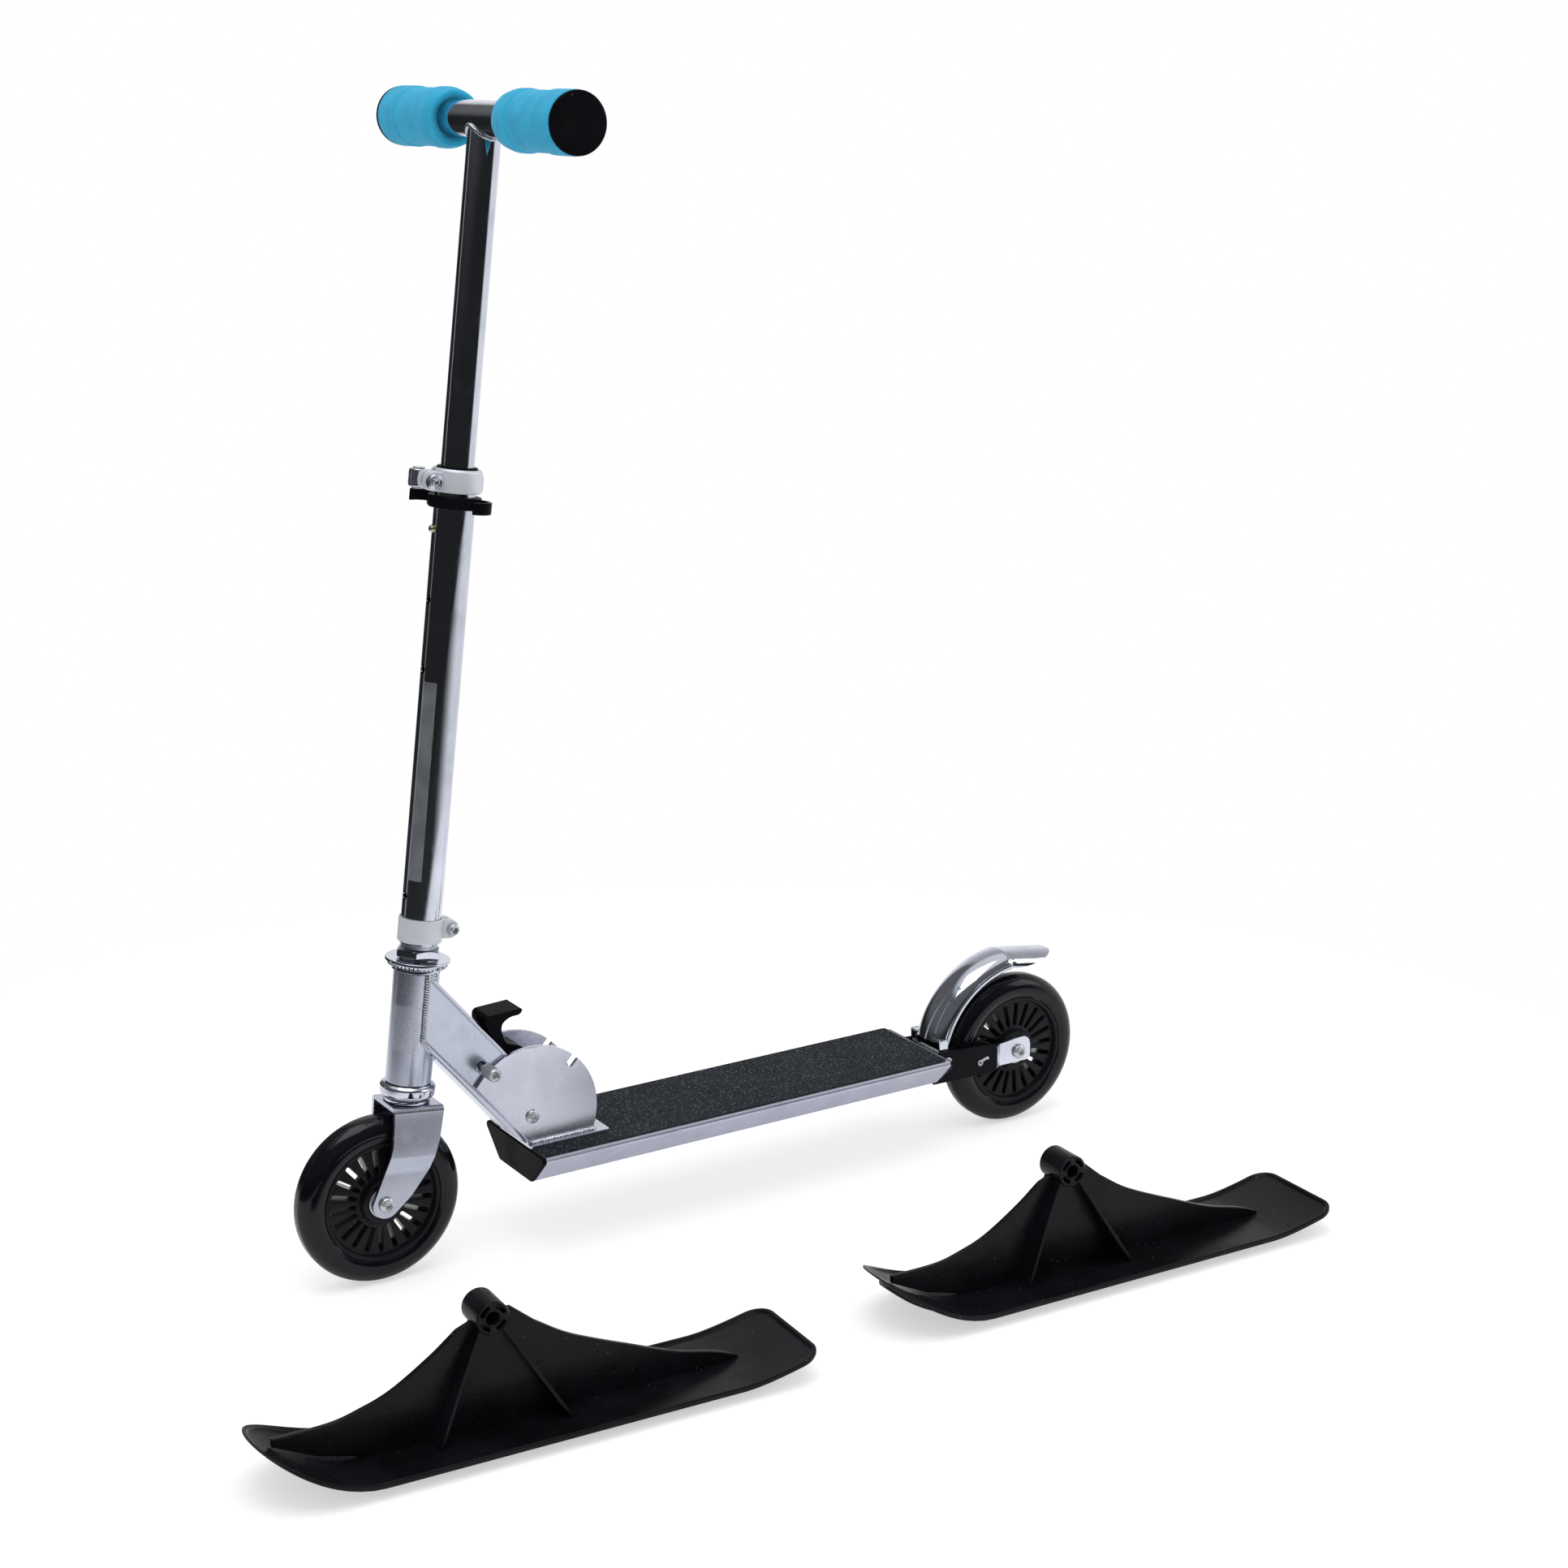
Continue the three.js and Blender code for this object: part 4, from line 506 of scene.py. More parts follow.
class Graph:
    """Adds and joins the nodes of one tree."""

    def __init__(self, tree: Tree) -> None:
        """Takes over a tree and empties it."""
        self.tree = tree
        tree.nodes.clear()

    def add(self, kind: str, inputs: dict[str | int, object] | None = None, **settings: object) -> Node:
        """Adds a node.

        Args:
            kind: The node's type.
            inputs: Values or sockets for its inputs, by name or index.
            settings: Values for its own options.

        Returns:
            The node.
        """
        node = self.tree.nodes.new(kind)
        for key, value in settings.items():
            setattr(node, key, value)
        for key, value in (inputs or {}).items():
            self.feed(node.inputs[key], value)
        return node

    def feed(self, socket: Socket, value: object) -> None:
        """Links a socket to an input, or sets the input's value."""
        if isinstance(value, Socket):
            self.tree.links.new(value, socket)
        else:
            socket.default_value = value

    def math(self, operation: str, *values: object) -> Socket:
        """The result of a math node."""
        return self.add("ShaderNodeMath", dict(enumerate(values)), operation=operation).outputs[0]

    def spread(
        self, value: object, low: float, high: float, to_low: object = 0.0, to_high: object = 1.0
    ) -> Socket:
        """A value mapped smoothly from one range to another."""
        inputs = {0: value, 1: low, 2: high, 3: to_low, 4: to_high}
        return self.add("ShaderNodeMapRange", inputs, interpolation_type="SMOOTHSTEP").outputs[0]

    def blend(self, share: object, first: object, second: object) -> Socket:
        """A mix of two colours."""
        return self.add("ShaderNodeMix", {0: share, 6: first, 7: second}, data_type="RGBA").outputs[2]

    def place(self, scale: object = 1.0, stretch: Point3 = (1, 1, 1)) -> Socket:
        """Object coordinates, scaled all round and then along each axis."""
        where = self.add("ShaderNodeTexCoord").outputs["Object"]
        scaled = self.add("ShaderNodeVectorMath", {0: where, "Scale": scale}, operation="SCALE").outputs[0]
        return self.add("ShaderNodeVectorMath", {0: scaled, 1: stretch}, operation="MULTIPLY").outputs[0]

    def noise(self, where: Socket, detail: float = 3, rough: float = 0.55) -> Socket:
        """Soft noise from 0 to 1."""
        return self.add(
            "ShaderNodeTexNoise", {"Vector": where, "Scale": 1.0, "Detail": detail, "Roughness": rough}
        ).outputs[0]


@dataclass(frozen=True)
class Effect:
    """A pattern over a surface, kept as one node group.

    Attributes:
        name: The group's name.
        inputs: Its inputs and their usual values.
        outputs: The names of its outputs.
    """

    name: str
    inputs: tuple[tuple[str, float], ...]
    outputs: tuple[str, ...]

    def draw(self, graph: Graph, given: Node) -> tuple[Socket, ...]:
        """Builds the nodes between the group's inputs and outputs.

        Args:
            graph: The group's tree.
            given: Its input node.

        Returns:
            One socket for each output.
        """
        raise NotImplementedError

    def group(self) -> Tree:
        """The node group, built on first use."""
        found = bpy.data.node_groups.get(self.name)
        if found:
            return found
        tree = bpy.data.node_groups.new(self.name, "ShaderNodeTree")
        for name, value in self.inputs:
            tree.interface.new_socket(
                name, in_out="INPUT", socket_type="NodeSocketFloat"
            ).default_value = value
        for name in self.outputs:
            tree.interface.new_socket(name, in_out="OUTPUT", socket_type="NodeSocketFloat")
        graph = Graph(tree)
        made = self.draw(graph, graph.add("NodeGroupInput"))
        graph.add("NodeGroupOutput", dict(enumerate(made)))
        return tree

    def use(self, graph: Graph, **values: float) -> Node:
        """Places the group in a material with its own values."""
        node = graph.add("ShaderNodeGroup", node_tree=self.group())
        for name, value in values.items():
            graph.feed(node.inputs[name.replace("_", " ").capitalize()], value)
        return node


class Handling(Effect):
    """Smudges from hands, fine rubbed scratches and a few specks of dust."""

    def draw(self, graph: Graph, given: Node) -> tuple[Socket, ...]:
        """Smudge, scratch and speck masks."""
        smudge = graph.spread(
            graph.noise(graph.place(graph.math("MULTIPLY", given.outputs[0], 38.0)), 4, 0.6), 0.42, 0.72
        )
        streaks = []
        for stretch in ((1, 0.06, 0.09), (0.07, 1, 0.1), (0.2, 0.08, 1)):
            lines = graph.noise(
                graph.place(graph.math("MULTIPLY", given.outputs[0], 2600.0), stretch), 2, 0.5
            )
            patch = graph.noise(graph.place(graph.math("MULTIPLY", given.outputs[0], 60.0), stretch[::-1]), 1)
            streaks.append(
                graph.math("MULTIPLY", graph.spread(lines, 0.66, 0.72), graph.spread(patch, 0.5, 0.66))
            )
        scratch = graph.math("MAXIMUM", graph.math("MAXIMUM", streaks[0], streaks[1]), streaks[2])
        cells = graph.add("ShaderNodeTexVoronoi", {"Vector": graph.place(given.outputs[1]), "Scale": 1.0})
        chosen = graph.add("ShaderNodeSeparateColor", {0: cells.outputs["Color"]}).outputs[0]
        size = graph.spread(chosen, 0.93, 1.0, 0.0, 0.16)
        speck = graph.math("LESS_THAN", cells.outputs["Distance"], size)
        return smudge, scratch, speck


class Grain(Effect):
    """The fine uneven skin of cast, sprayed or moulded surfaces."""

    def draw(self, graph: Graph, given: Node) -> tuple[Socket, ...]:
        """A fine height, and slow cloudy shade from 0 to 1."""
        fine = graph.noise(graph.place(given.outputs[0]), 2, 0.6)
        cloud = graph.noise(graph.place(given.outputs[1]), 3, 0.5)
        return fine, graph.spread(cloud, 0.3, 0.7)


class Lines(Effect):
    """Drawing or brushing marks along an axis."""

    def draw(self, graph: Graph, given: Node) -> tuple[Socket, ...]:
        """The height of the marks, which run along the part's length."""
        where = graph.place(given.outputs[0])
        along = graph.add(
            "ShaderNodeCombineXYZ", {0: given.outputs[1], 1: given.outputs[2], 2: given.outputs[3]}
        ).outputs[0]
        squeezed = graph.add("ShaderNodeVectorMath", {0: where, 1: along}, operation="MULTIPLY").outputs[0]
        return (graph.noise(squeezed, 3, 0.65),)


class Grit(Effect):
    """Mineral grit glued to a sheet, with single grains marked for a painted glint."""

    def draw(self, graph: Graph, given: Node) -> tuple[Socket, ...]:
        """The grains' height, their shade and a mask of the few that get a painted glint."""
        grains = graph.add("ShaderNodeTexVoronoi", {"Vector": graph.place(given.outputs[0]), "Scale": 1.0})
        shade = graph.add("ShaderNodeSeparateColor", {0: grains.outputs["Color"]})
        height = graph.math("SUBTRACT", 1.0, grains.outputs["Distance"])
        lifted = graph.math("MULTIPLY", height, graph.spread(shade.outputs[1], 0, 1, 0.35, 1.0))
        return lifted, shade.outputs[0], graph.spread(shade.outputs[2], 0.93, 1.0)


class Pores(Effect):
    """The skin of a soft foam: close pores, drawn along its length where it was ground round."""

    def draw(self, graph: Graph, given: Node) -> tuple[Socket, ...]:
        """The height of the skin and how deep in a pore a point is; the foam finish paints shade in the pores
        by this depth.
        """
        cells = graph.add(
            "ShaderNodeTexVoronoi", {"Vector": graph.place(given.outputs[0], (1, 0.8, 1)), "Scale": 1.0}
        )
        pore = graph.spread(cells.outputs["Distance"], 0.05, 0.5, 1.0, 0.0)
        mottle = graph.noise(graph.place(graph.math("MULTIPLY", given.outputs[0], 0.35)), 4, 0.7)
        height = graph.math("SUBTRACT", mottle, graph.math("MULTIPLY", pore, 0.6))
        return height, pore


HANDLING = Handling("handling_marks", (("Size", 1.0), ("Dust", 420.0)), ("Smudge", "Scratch", "Speck"))
GRAIN = Grain("fine_grain", (("Fine", 1400.0), ("Cloud", 30.0)), ("Height", "Shade"))
LINES = Lines("drawn_lines", (("Scale", 900.0), ("X", 0.02), ("Y", 1.0), ("Z", 1.0)), ("Height",))
# Its third output marks the grains that get a painted glint in the tape's colour.
GRIT = Grit("mineral_grit", (("Scale", 1900.0),), ("Height", "Shade", "Shine"))
PORES = Pores("foam_pores", (("Scale", 1500.0),), ("Height", "Pore"))


# Finishes


def seen(red: int, green: int, blue: int) -> tuple[float, float, float, float]:
    """A colour given as it is seen on a screen."""
    parts = (c / 255 for c in (red, green, blue))
    linear = [c / 12.92 if c <= 0.04045 else ((c + 0.055) / 1.055) ** 2.4 for c in parts]
    return (linear[0], linear[1], linear[2], 1.0)


@dataclass(frozen=True)
class Finish:
    """A surface finish.

    Attributes:
        name: The material's name.
        slot: The material slot of the record that it belongs to; not used.
        colour: Its main colour.
        deep: The colour of its worn, dull or low places.
        rough: Roughness where it is clean.
        dull: Roughness where it is smudged.
        bump: How strongly its fine relief shows.
        fine: The scale of the fine relief.
    """

    name: str
    slot: str
    colour: tuple[float, float, float, float]
    deep: tuple[float, float, float, float]
    rough: float
    dull: float
    bump: float = 0.1
    fine: float = 1400.0

    def fill(self, graph: Graph, shader: Node) -> None:
        """Sets and feeds the shader's sockets."""
        raise NotImplementedError

    def material(self) -> bpy.types.Material:
        """The material, built on first use."""
        found = bpy.data.materials.get(self.name)
        if found:
            return found
        made = bpy.data.materials.new(self.name)
        made.use_nodes = True
        graph = Graph(made.node_tree)
        shader = graph.add("ShaderNodeBsdfPrincipled")
        graph.add("ShaderNodeOutputMaterial", {0: shader.outputs[0]})
        self.fill(graph, shader)
        return made

    def relief(self, graph: Graph, shader: Node, height: object, distance: float = 0.0002) -> None:
        """Feeds a height into the shader's normal."""
        bump = graph.add("ShaderNodeBump", {"Height": height, "Strength": self.bump, "Distance": distance})
        graph.feed(shader.inputs["Normal"], bump.outputs[0])


@dataclass(frozen=True)
class Metal(Finish):
    """Bare, plated or satin metal.

    Attributes:
        along: How much the drawn lines stretch along X, Y and Z; small numbers draw them out.
        lines: How strongly these lines show in the roughness.
        metallic: 1 for bare metal, less for a pale cast or plated skin.
    """

    along: Point3 = (1.0, 1.0, 1.0)
    lines: float = 0.0
    metallic: float = 1.0

    def fill(self, graph: Graph, shader: Node) -> None:
        """Metal with smudges, rubbed scratches, faint grain and drawn lines."""
        marks = HANDLING.use(graph)
        grain = GRAIN.use(graph, fine=self.fine)
        drawn = LINES.use(graph, x=self.along[0], y=self.along[1], z=self.along[2])
        graph.feed(shader.inputs["Metallic"], self.metallic)
        tone = graph.math(
            "MULTIPLY_ADD", grain.outputs["Shade"], 0.3, graph.math("MULTIPLY", marks.outputs["Smudge"], 0.4)
        )
        graph.feed(shader.inputs["Base Color"], graph.blend(tone, self.colour, self.deep))
        worn = graph.spread(marks.outputs["Smudge"], 0, 1, self.rough, self.dull)
        scratched = graph.math("MULTIPLY_ADD", marks.outputs["Scratch"], 0.12, worn)
        graph.feed(
            shader.inputs["Roughness"], graph.math("MULTIPLY_ADD", drawn.outputs[0], self.lines, scratched)
        )
        height = graph.math("MULTIPLY_ADD", drawn.outputs[0], self.lines * 4, grain.outputs["Height"])
        self.relief(graph, shader, graph.math("SUBTRACT", height, marks.outputs["Scratch"]))


@dataclass(frozen=True)
class Moulded(Finish):
    """Black or coloured plastic or rubber, with a fine skin, dust and rubbed places.

    Attributes:
        dust: How much the specks show.
        coat: The strength of a clear glossy skin.
        shine: How much it mirrors.
    """

    dust: float = 0.25
    coat: float = 0.0
    shine: float = 0.13

    def fill(self, graph: Graph, shader: Node) -> None:
        """Plastic with a fine skin, rubbed places and specks."""
        marks = HANDLING.use(graph)
        grain = GRAIN.use(graph, fine=self.fine)
        tone = graph.math(
            "MAXIMUM", graph.math("MULTIPLY", grain.outputs["Shade"], 0.6), marks.outputs["Scratch"]
        )
        skin = graph.blend(tone, self.colour, self.deep)
        speck = graph.math("MULTIPLY", marks.outputs["Speck"], self.dust)
        graph.feed(shader.inputs["Base Color"], graph.blend(speck, skin, seen(150, 150, 155)))
        graph.feed(
            shader.inputs["Roughness"], graph.spread(marks.outputs["Smudge"], 0, 1, self.rough, self.dull)
        )
        shader.inputs["Specular IOR Level"].default_value = self.shine
        shader.inputs["Coat Weight"].default_value = self.coat
        shader.inputs["Coat Roughness"].default_value = 0.06
        self.relief(graph, shader, grain.outputs["Height"])


@dataclass(frozen=True)
class GripTape(Finish):
    """Black abrasive tape."""

    def fill(self, graph: Graph, shader: Node) -> None:
        """Dark grains, of which a few get a painted glint, a pale grey colour, and are also smoother."""
        grit = GRIT.use(graph, scale=self.fine)
        worn = GRAIN.use(graph, fine=700.0, cloud=24.0)
        tone = graph.blend(graph.math("POWER", grit.outputs["Shade"], 2.2), self.colour, self.deep)
        faded = graph.blend(graph.math("MULTIPLY", worn.outputs["Shade"], 0.3), tone, self.deep)
        # Painted glint: a few grains get a pale grey base colour; their lower roughness below is real gloss.
        shine = graph.blend(grit.outputs["Shine"], faded, seen(104, 112, 122))
        graph.feed(shader.inputs["Base Color"], shine)
        graph.feed(
            shader.inputs["Roughness"], graph.spread(grit.outputs["Shine"], 0, 1, self.rough, self.dull)
        )
        shader.inputs["Specular IOR Level"].default_value = 0.15
        self.relief(graph, shader, grit.outputs["Height"], 0.0004)


@dataclass(frozen=True)
class Foam(Finish):
    """Soft closed foam with a ground skin."""

    def fill(self, graph: Graph, shader: Node) -> None:
        """A dull skin whose pores get painted shade: the colour darkens towards the deep colour inside them.
        """
        pores = PORES.use(graph, scale=self.fine)
        cloud = GRAIN.use(graph, fine=2400.0, cloud=90.0)
        skin = graph.blend(graph.math("MULTIPLY", cloud.outputs["Shade"], 0.35), self.colour, self.deep)
        # Painted shade: the base colour darkens in the pores by their depth; the relief draws the pores
        # themselves.
        graph.feed(
            shader.inputs["Base Color"],
            graph.blend(graph.math("MULTIPLY", pores.outputs["Pore"], 0.6), skin, self.deep)
        )
        graph.feed(
            shader.inputs["Roughness"], graph.spread(pores.outputs["Pore"], 0, 1, self.rough, self.dull)
        )
        shader.inputs["Specular IOR Level"].default_value = 0.2
        shader.inputs["Sheen Weight"].default_value = 0.1
        shader.inputs["Sheen Roughness"].default_value = 0.4
        self.relief(graph, shader, pores.outputs["Height"], 0.0005)


@dataclass(frozen=True)
class Film(Finish):
    """Thin clear film over metal."""

    def fill(self, graph: Graph, shader: Node) -> None:
        """Clear plastic that is cloudier in places."""
        grain = GRAIN.use(graph, fine=self.fine, cloud=60.0)
        graph.feed(shader.inputs["Base Color"], graph.blend(grain.outputs["Shade"], self.colour, self.deep))
        graph.feed(
            shader.inputs["Roughness"], graph.spread(grain.outputs["Shade"], 0, 1, self.rough, self.dull)
        )
        graph.feed(shader.inputs["Alpha"], graph.spread(grain.outputs["Shade"], 0, 1, 0.05, 0.09))
        self.relief(graph, shader, grain.outputs["Height"])


CHROME = Metal("bright_chrome", "chrome", seen(208, 212, 224), seen(176, 181, 196), 0.05, 0.14, 0.04)
SATIN = Metal(
    "brushed_steel", "satin_steel", seen(212, 215, 228), seen(200, 203, 217), 0.27, 0.31, 0.12, 1800.0
)
PRESSED = Metal(
    "pressed_neck", "satin_steel", seen(190, 195, 211), seen(181, 186, 203), 0.24, 0.28, 0.1, 1800.0
)
BLASTED = Metal(
    "blasted_steel", "satin_steel", seen(204, 207, 214), seen(186, 189, 197), 0.4, 0.52, 0.3, 2600.0,
    metallic=0.35
)
FORGED = Metal("fork_steel", "satin_steel", seen(184, 188, 202), seen(172, 176, 190), 0.24, 0.3, 0.16, 2200.0)
ALLOY = Metal(
    "drawn_deck_alloy",
    "deck_alloy",
    seen(196, 198, 213),
    seen(178, 180, 196),
    0.34,
    0.44,
    0.1,
    1500.0,
    (0.015, 1.0, 1.0),
    0.16,
)
ZINC = Metal(
    "zinc_plate", "zinc_steel", seen(198, 201, 206), seen(160, 164, 170), 0.24, 0.4, 0.12, metallic=0.65
)
BRASS = Metal("turned_brass", "brass", seen(208, 198, 170), seen(164, 150, 118), 0.22, 0.36, 0.1)
WELD = Metal("weld_metal", "satin_steel", seen(206, 208, 216), seen(150, 153, 165), 0.26, 0.4, 0.4, 900.0)
BLACK_PLASTIC = Moulded(
    "black_moulding", "black_plastic", seen(9, 9, 12), seen(17, 17, 21), 0.3, 0.42, 0.1, shine=0.02
)
HUB_PLASTIC = Moulded("hub_moulding", "black_plastic", seen(12, 12, 15), seen(24, 25, 30), 0.24, 0.4, 0.1)
SKI_PLASTIC = Moulded(
    "ski_moulding", "ski_plastic", seen(9, 9, 12), seen(20, 21, 26), 0.27, 0.42, 0.12, 1100.0, 0.4
)
BLACK_PAINT = Moulded(
    "fork_paint", "black_paint", seen(11, 11, 15), seen(19, 20, 25), 0.26, 0.38, 0.1, 900.0, 0.1, shine=0.06
)
TYRE = Moulded(
    "gloss_tyre", "tyre_black", seen(8, 8, 13), seen(16, 16, 24), 0.13, 0.3, 0.05, 1400.0, 0.2, 0.25
)
TAPE = GripTape("grit_tape", "grip_tape", seen(14, 16, 20), seen(40, 45, 53), 0.8, 0.4, 0.6, 1500.0)
# The foam's deep colour is also the painted shade in its pores.
FOAM = Foam("ground_foam", "blue_foam", seen(44, 160, 198), seen(26, 128, 166), 0.82, 0.92, 0.5)
FILM = Film("clear_film", "satin_steel", seen(222, 226, 232), seen(198, 204, 212), 0.12, 0.3, 0.1)


# Geometry Nodes trees for what repeats or follows a path


@dataclass(frozen=True)
class Pattern:
    """A shape made by Geometry Nodes, kept as one tree.

    Attributes:
        name: The tree's name.
        inputs: Its inputs: name, type of socket and usual value.
    """

    name: str
    inputs: tuple[tuple[str, str, float], ...]

    def draw(self, graph: Graph, given: Node) -> Socket:
        """Builds the nodes between the tree's inputs and its geometry.

        Args:
            graph: The tree.
            given: Its input node.

        Returns:
            The geometry's socket.
        """
        raise NotImplementedError

    def tree(self) -> Tree:
        """The tree, built on first use."""
        found = bpy.data.node_groups.get(self.name)
        if found:
            return found
        tree = bpy.data.node_groups.new(self.name, "GeometryNodeTree")
        tree.interface.new_socket("Geometry", in_out="INPUT", socket_type="NodeSocketGeometry")
        for name, kind, value in self.inputs:
            tree.interface.new_socket(name, in_out="INPUT", socket_type=kind).default_value = value
        tree.interface.new_socket("Finish", in_out="INPUT", socket_type="NodeSocketMaterial")
        tree.interface.new_socket("Geometry", in_out="OUTPUT", socket_type="NodeSocketGeometry")
        graph = Graph(tree)
        given = graph.add("NodeGroupInput")
        real = graph.add("GeometryNodeRealizeInstances", {0: self.draw(graph, given)})
        painted = graph.add(
            "GeometryNodeSetMaterial", {"Geometry": real.outputs[0], "Material": given.outputs["Finish"]}
        )
        graph.add("NodeGroupOutput", {0: painted.outputs[0]})
        return tree

    def run(self, obj: Piece, finish: Finish, frame: Matrix, **values: float) -> Piece:
        """Runs the tree on an object.

        Args:
            obj: The object that the pattern starts from, in its own frame.
            finish: The finish of what it makes.
            frame: Where the result goes.
            values: Values for the tree's inputs.

        Returns:
            A plain mesh.
        """
        tree = self.tree()
        modifier = obj.modifiers.new("pattern", "NODES")
        modifier.node_group = tree
        for socket in tree.interface.items_tree:
            key = socket.name.lower().replace(" ", "_")
            if socket.in_out == "INPUT" and key in values:
                modifier[socket.identifier] = values[key]
            if socket.name == "Finish":
                modifier[socket.identifier] = finish.material()
        made = plain(obj)
        made.data.transform(frame)
        return made


class Ring(Pattern):
    """Copies of a shape round the Z axis."""

    def draw(self, graph: Graph, given: Node) -> Socket:
        """One copy for each share of a turn."""
        count = given.outputs["Count"]
        points = graph.add("GeometryNodePoints", {"Count": count}).outputs[0]
        index = graph.add("GeometryNodeInputIndex").outputs[0]
        angle = graph.math("DIVIDE", graph.math("MULTIPLY", index, FULL_TURN), count)
        turn = graph.add("ShaderNodeCombineXYZ", {2: angle}).outputs[0]
        inputs = {"Points": points, "Instance": given.outputs["Geometry"], "Rotation": turn}
        return graph.add("GeometryNodeInstanceOnPoints", inputs).outputs[0]


class Coil(Pattern):
    """A wire wound round the Z axis."""

    def draw(self, graph: Graph, given: Node) -> Socket:
        """A round wire along a spiral of even radius."""
        radius = given.outputs["Radius"]
        inputs = {
            "Resolution": 28,
            "Rotations": given.outputs["Turns"],
            "Start Radius": radius,
            "End Radius": radius,
            "Height": given.outputs["Length"],
        }
        path = graph.add("GeometryNodeCurveSpiral", inputs).outputs[0]
        section = graph.add(
            "GeometryNodeCurvePrimitiveCircle", {"Resolution": 10, "Radius": given.outputs["Wire"]}
        )
        inputs = {"Curve": path, "Profile Curve": section.outputs[0], "Fill Caps": True}
        return graph.add("GeometryNodeCurveToMesh", inputs).outputs[0]


class WeldBead(Pattern):
    """A rippled weld bead along a line."""

    def draw(self, graph: Graph, given: Node) -> Socket:
        """A round bead whose radius swells at each ripple, with some unevenness."""
        pitch = given.outputs["Pitch"]
        line = graph.add("GeometryNodeMeshToCurve", {0: given.outputs["Geometry"]}).outputs[0]
        step = graph.math("DIVIDE", pitch, 5.0)
        fine = graph.add("GeometryNodeResampleCurve", {"Curve": line, "Length": step}, mode="LENGTH").outputs[
            0
        ]
        run = graph.add("GeometryNodeSplineParameter").outputs["Length"]
        wave = graph.math(
            "ABSOLUTE", graph.math("SINE", graph.math("DIVIDE", graph.math("MULTIPLY", run, math.pi), pitch))
        )
        where = graph.add("GeometryNodeInputPosition").outputs[0]
        inputs = {"Vector": where, "W": given.outputs["Seed"], "Scale": 260.0, "Detail": 1.0}
        uneven = graph.add("ShaderNodeTexNoise", inputs, noise_dimensions="4D").outputs[0]
        swell = graph.math("MULTIPLY_ADD", wave, 0.2, graph.math("MULTIPLY_ADD", uneven, 0.5, 0.55))
        thick = graph.add("GeometryNodeSetCurveRadius", {"Curve": fine, "Radius": swell}).outputs[0]
        section = graph.add(
            "GeometryNodeCurvePrimitiveCircle", {"Resolution": 12, "Radius": given.outputs["Width"]}
        )
        swept = graph.add(
            "GeometryNodeCurveToMesh",
            {"Curve": thick, "Profile Curve": section.outputs[0], "Fill Caps": True}
        )
        if "Scale" in swept.inputs:
            graph.feed(swept.inputs["Scale"], swell)
        return swept.outputs[0]


RING = Ring("ring_of_copies", (("Count", "NodeSocketInt", 12),))
COIL = Coil(
    "wire_coil",
    (
        ("Radius", "NodeSocketFloat", 0.004),
        ("Length", "NodeSocketFloat", 0.02),
        ("Turns", "NodeSocketFloat", 6.0),
        ("Wire", "NodeSocketFloat", 0.0007),
    ),
)
BEAD = WeldBead(
    "weld_bead",
    (
        ("Width", "NodeSocketFloat", 0.002),
        ("Pitch", "NodeSocketFloat", 0.002),
        ("Seed", "NodeSocketFloat", 3.0),
    ),
)


def line_object(name: str, points: Iterable[Sequence[float]], closed: bool = False) -> Piece:
    """A bare line of points in millimetres, for a pattern to follow."""
    spots = [Vector(p) * MM for p in points]
    edges = [(i, i + 1) for i in range(len(spots) - 1)]
    if closed:
        edges.append((len(spots) - 1, 0))
    mesh = bpy.data.meshes.new(name)
    mesh.from_pydata(spots, edges, [])
    made = bpy.data.objects.new(name, mesh)
    bpy.context.scene.collection.objects.link(made)
    return made


def weld(
    name: str, points: Sequence[Sequence[float]], width: float, frame: Matrix, seed: float,
    closed: bool = False
) -> Piece:
    """A weld bead along points.

    Args:
        name: The object's name.
        points: The bead's line, in millimetres.
        width: The bead's radius in millimetres.
        frame: The frame of the points.
        seed: Which unevenness it has.
        closed: Whether the line is a ring.

    Returns:
        The bead.
    """
    line = line_object(name, points, closed)
    return smooth(BEAD.run(line, WELD, frame, width=width * MM, pitch=width * 0.95 * MM, seed=seed), 60)


# Pieces that several sub-assemblies use


@dataclass(frozen=True)
class Places:
    """Where the frames of the sub-assemblies lie.

    Attributes:
        base: The scooter's frame: on the ground under the front wheel, X rearwards, Y away from the viewer.
    """

    base: Matrix

    def at(self, x: float, y: float, z: float) -> Matrix:
        """The scooter's frame moved to a point."""
        return self.base @ Matrix.Translation(Vector((x, y, z)) * MM)

    def steering(self, height: float = 0.0, forward: float = 0.0) -> Matrix:
        """The raked frame of the steering axis."""
        turn = Matrix.Rotation(math.radians(RAKE), 4, "Y")
        return self.at(8.796, 0, 0) @ turn @ Matrix.Translation(Vector((-forward, 0, height)) * MM)

    def neck(self) -> Matrix:
        """The neck's frame at the fold's pivot; X runs away from the head tube."""
        return self.at(PIVOT[0], 0, PIVOT[1]) @ Matrix.Rotation(math.radians(NECK_SLOPE), 4, "Y")


def facing(side: Side) -> Matrix:
    """Turns a piece's Z axis to the near or the far side."""
    return Matrix.Rotation(-side.value * QUARTER_TURN, 4, "X")


def moved(x: float, y: float, z: float) -> Matrix:
    """A move in millimetres."""
    return Matrix.Translation(Vector((x, y, z)) * MM)


UPRIGHT = Matrix.Rotation(QUARTER_TURN, 4, "X")
LAID = Matrix.Rotation(-QUARTER_TURN, 4, "Y")
ACROSS = Matrix(((0, 0, 1, 0), (1, 0, 0, 0), (0, 1, 0, 0), (0, 0, 0, 1)))


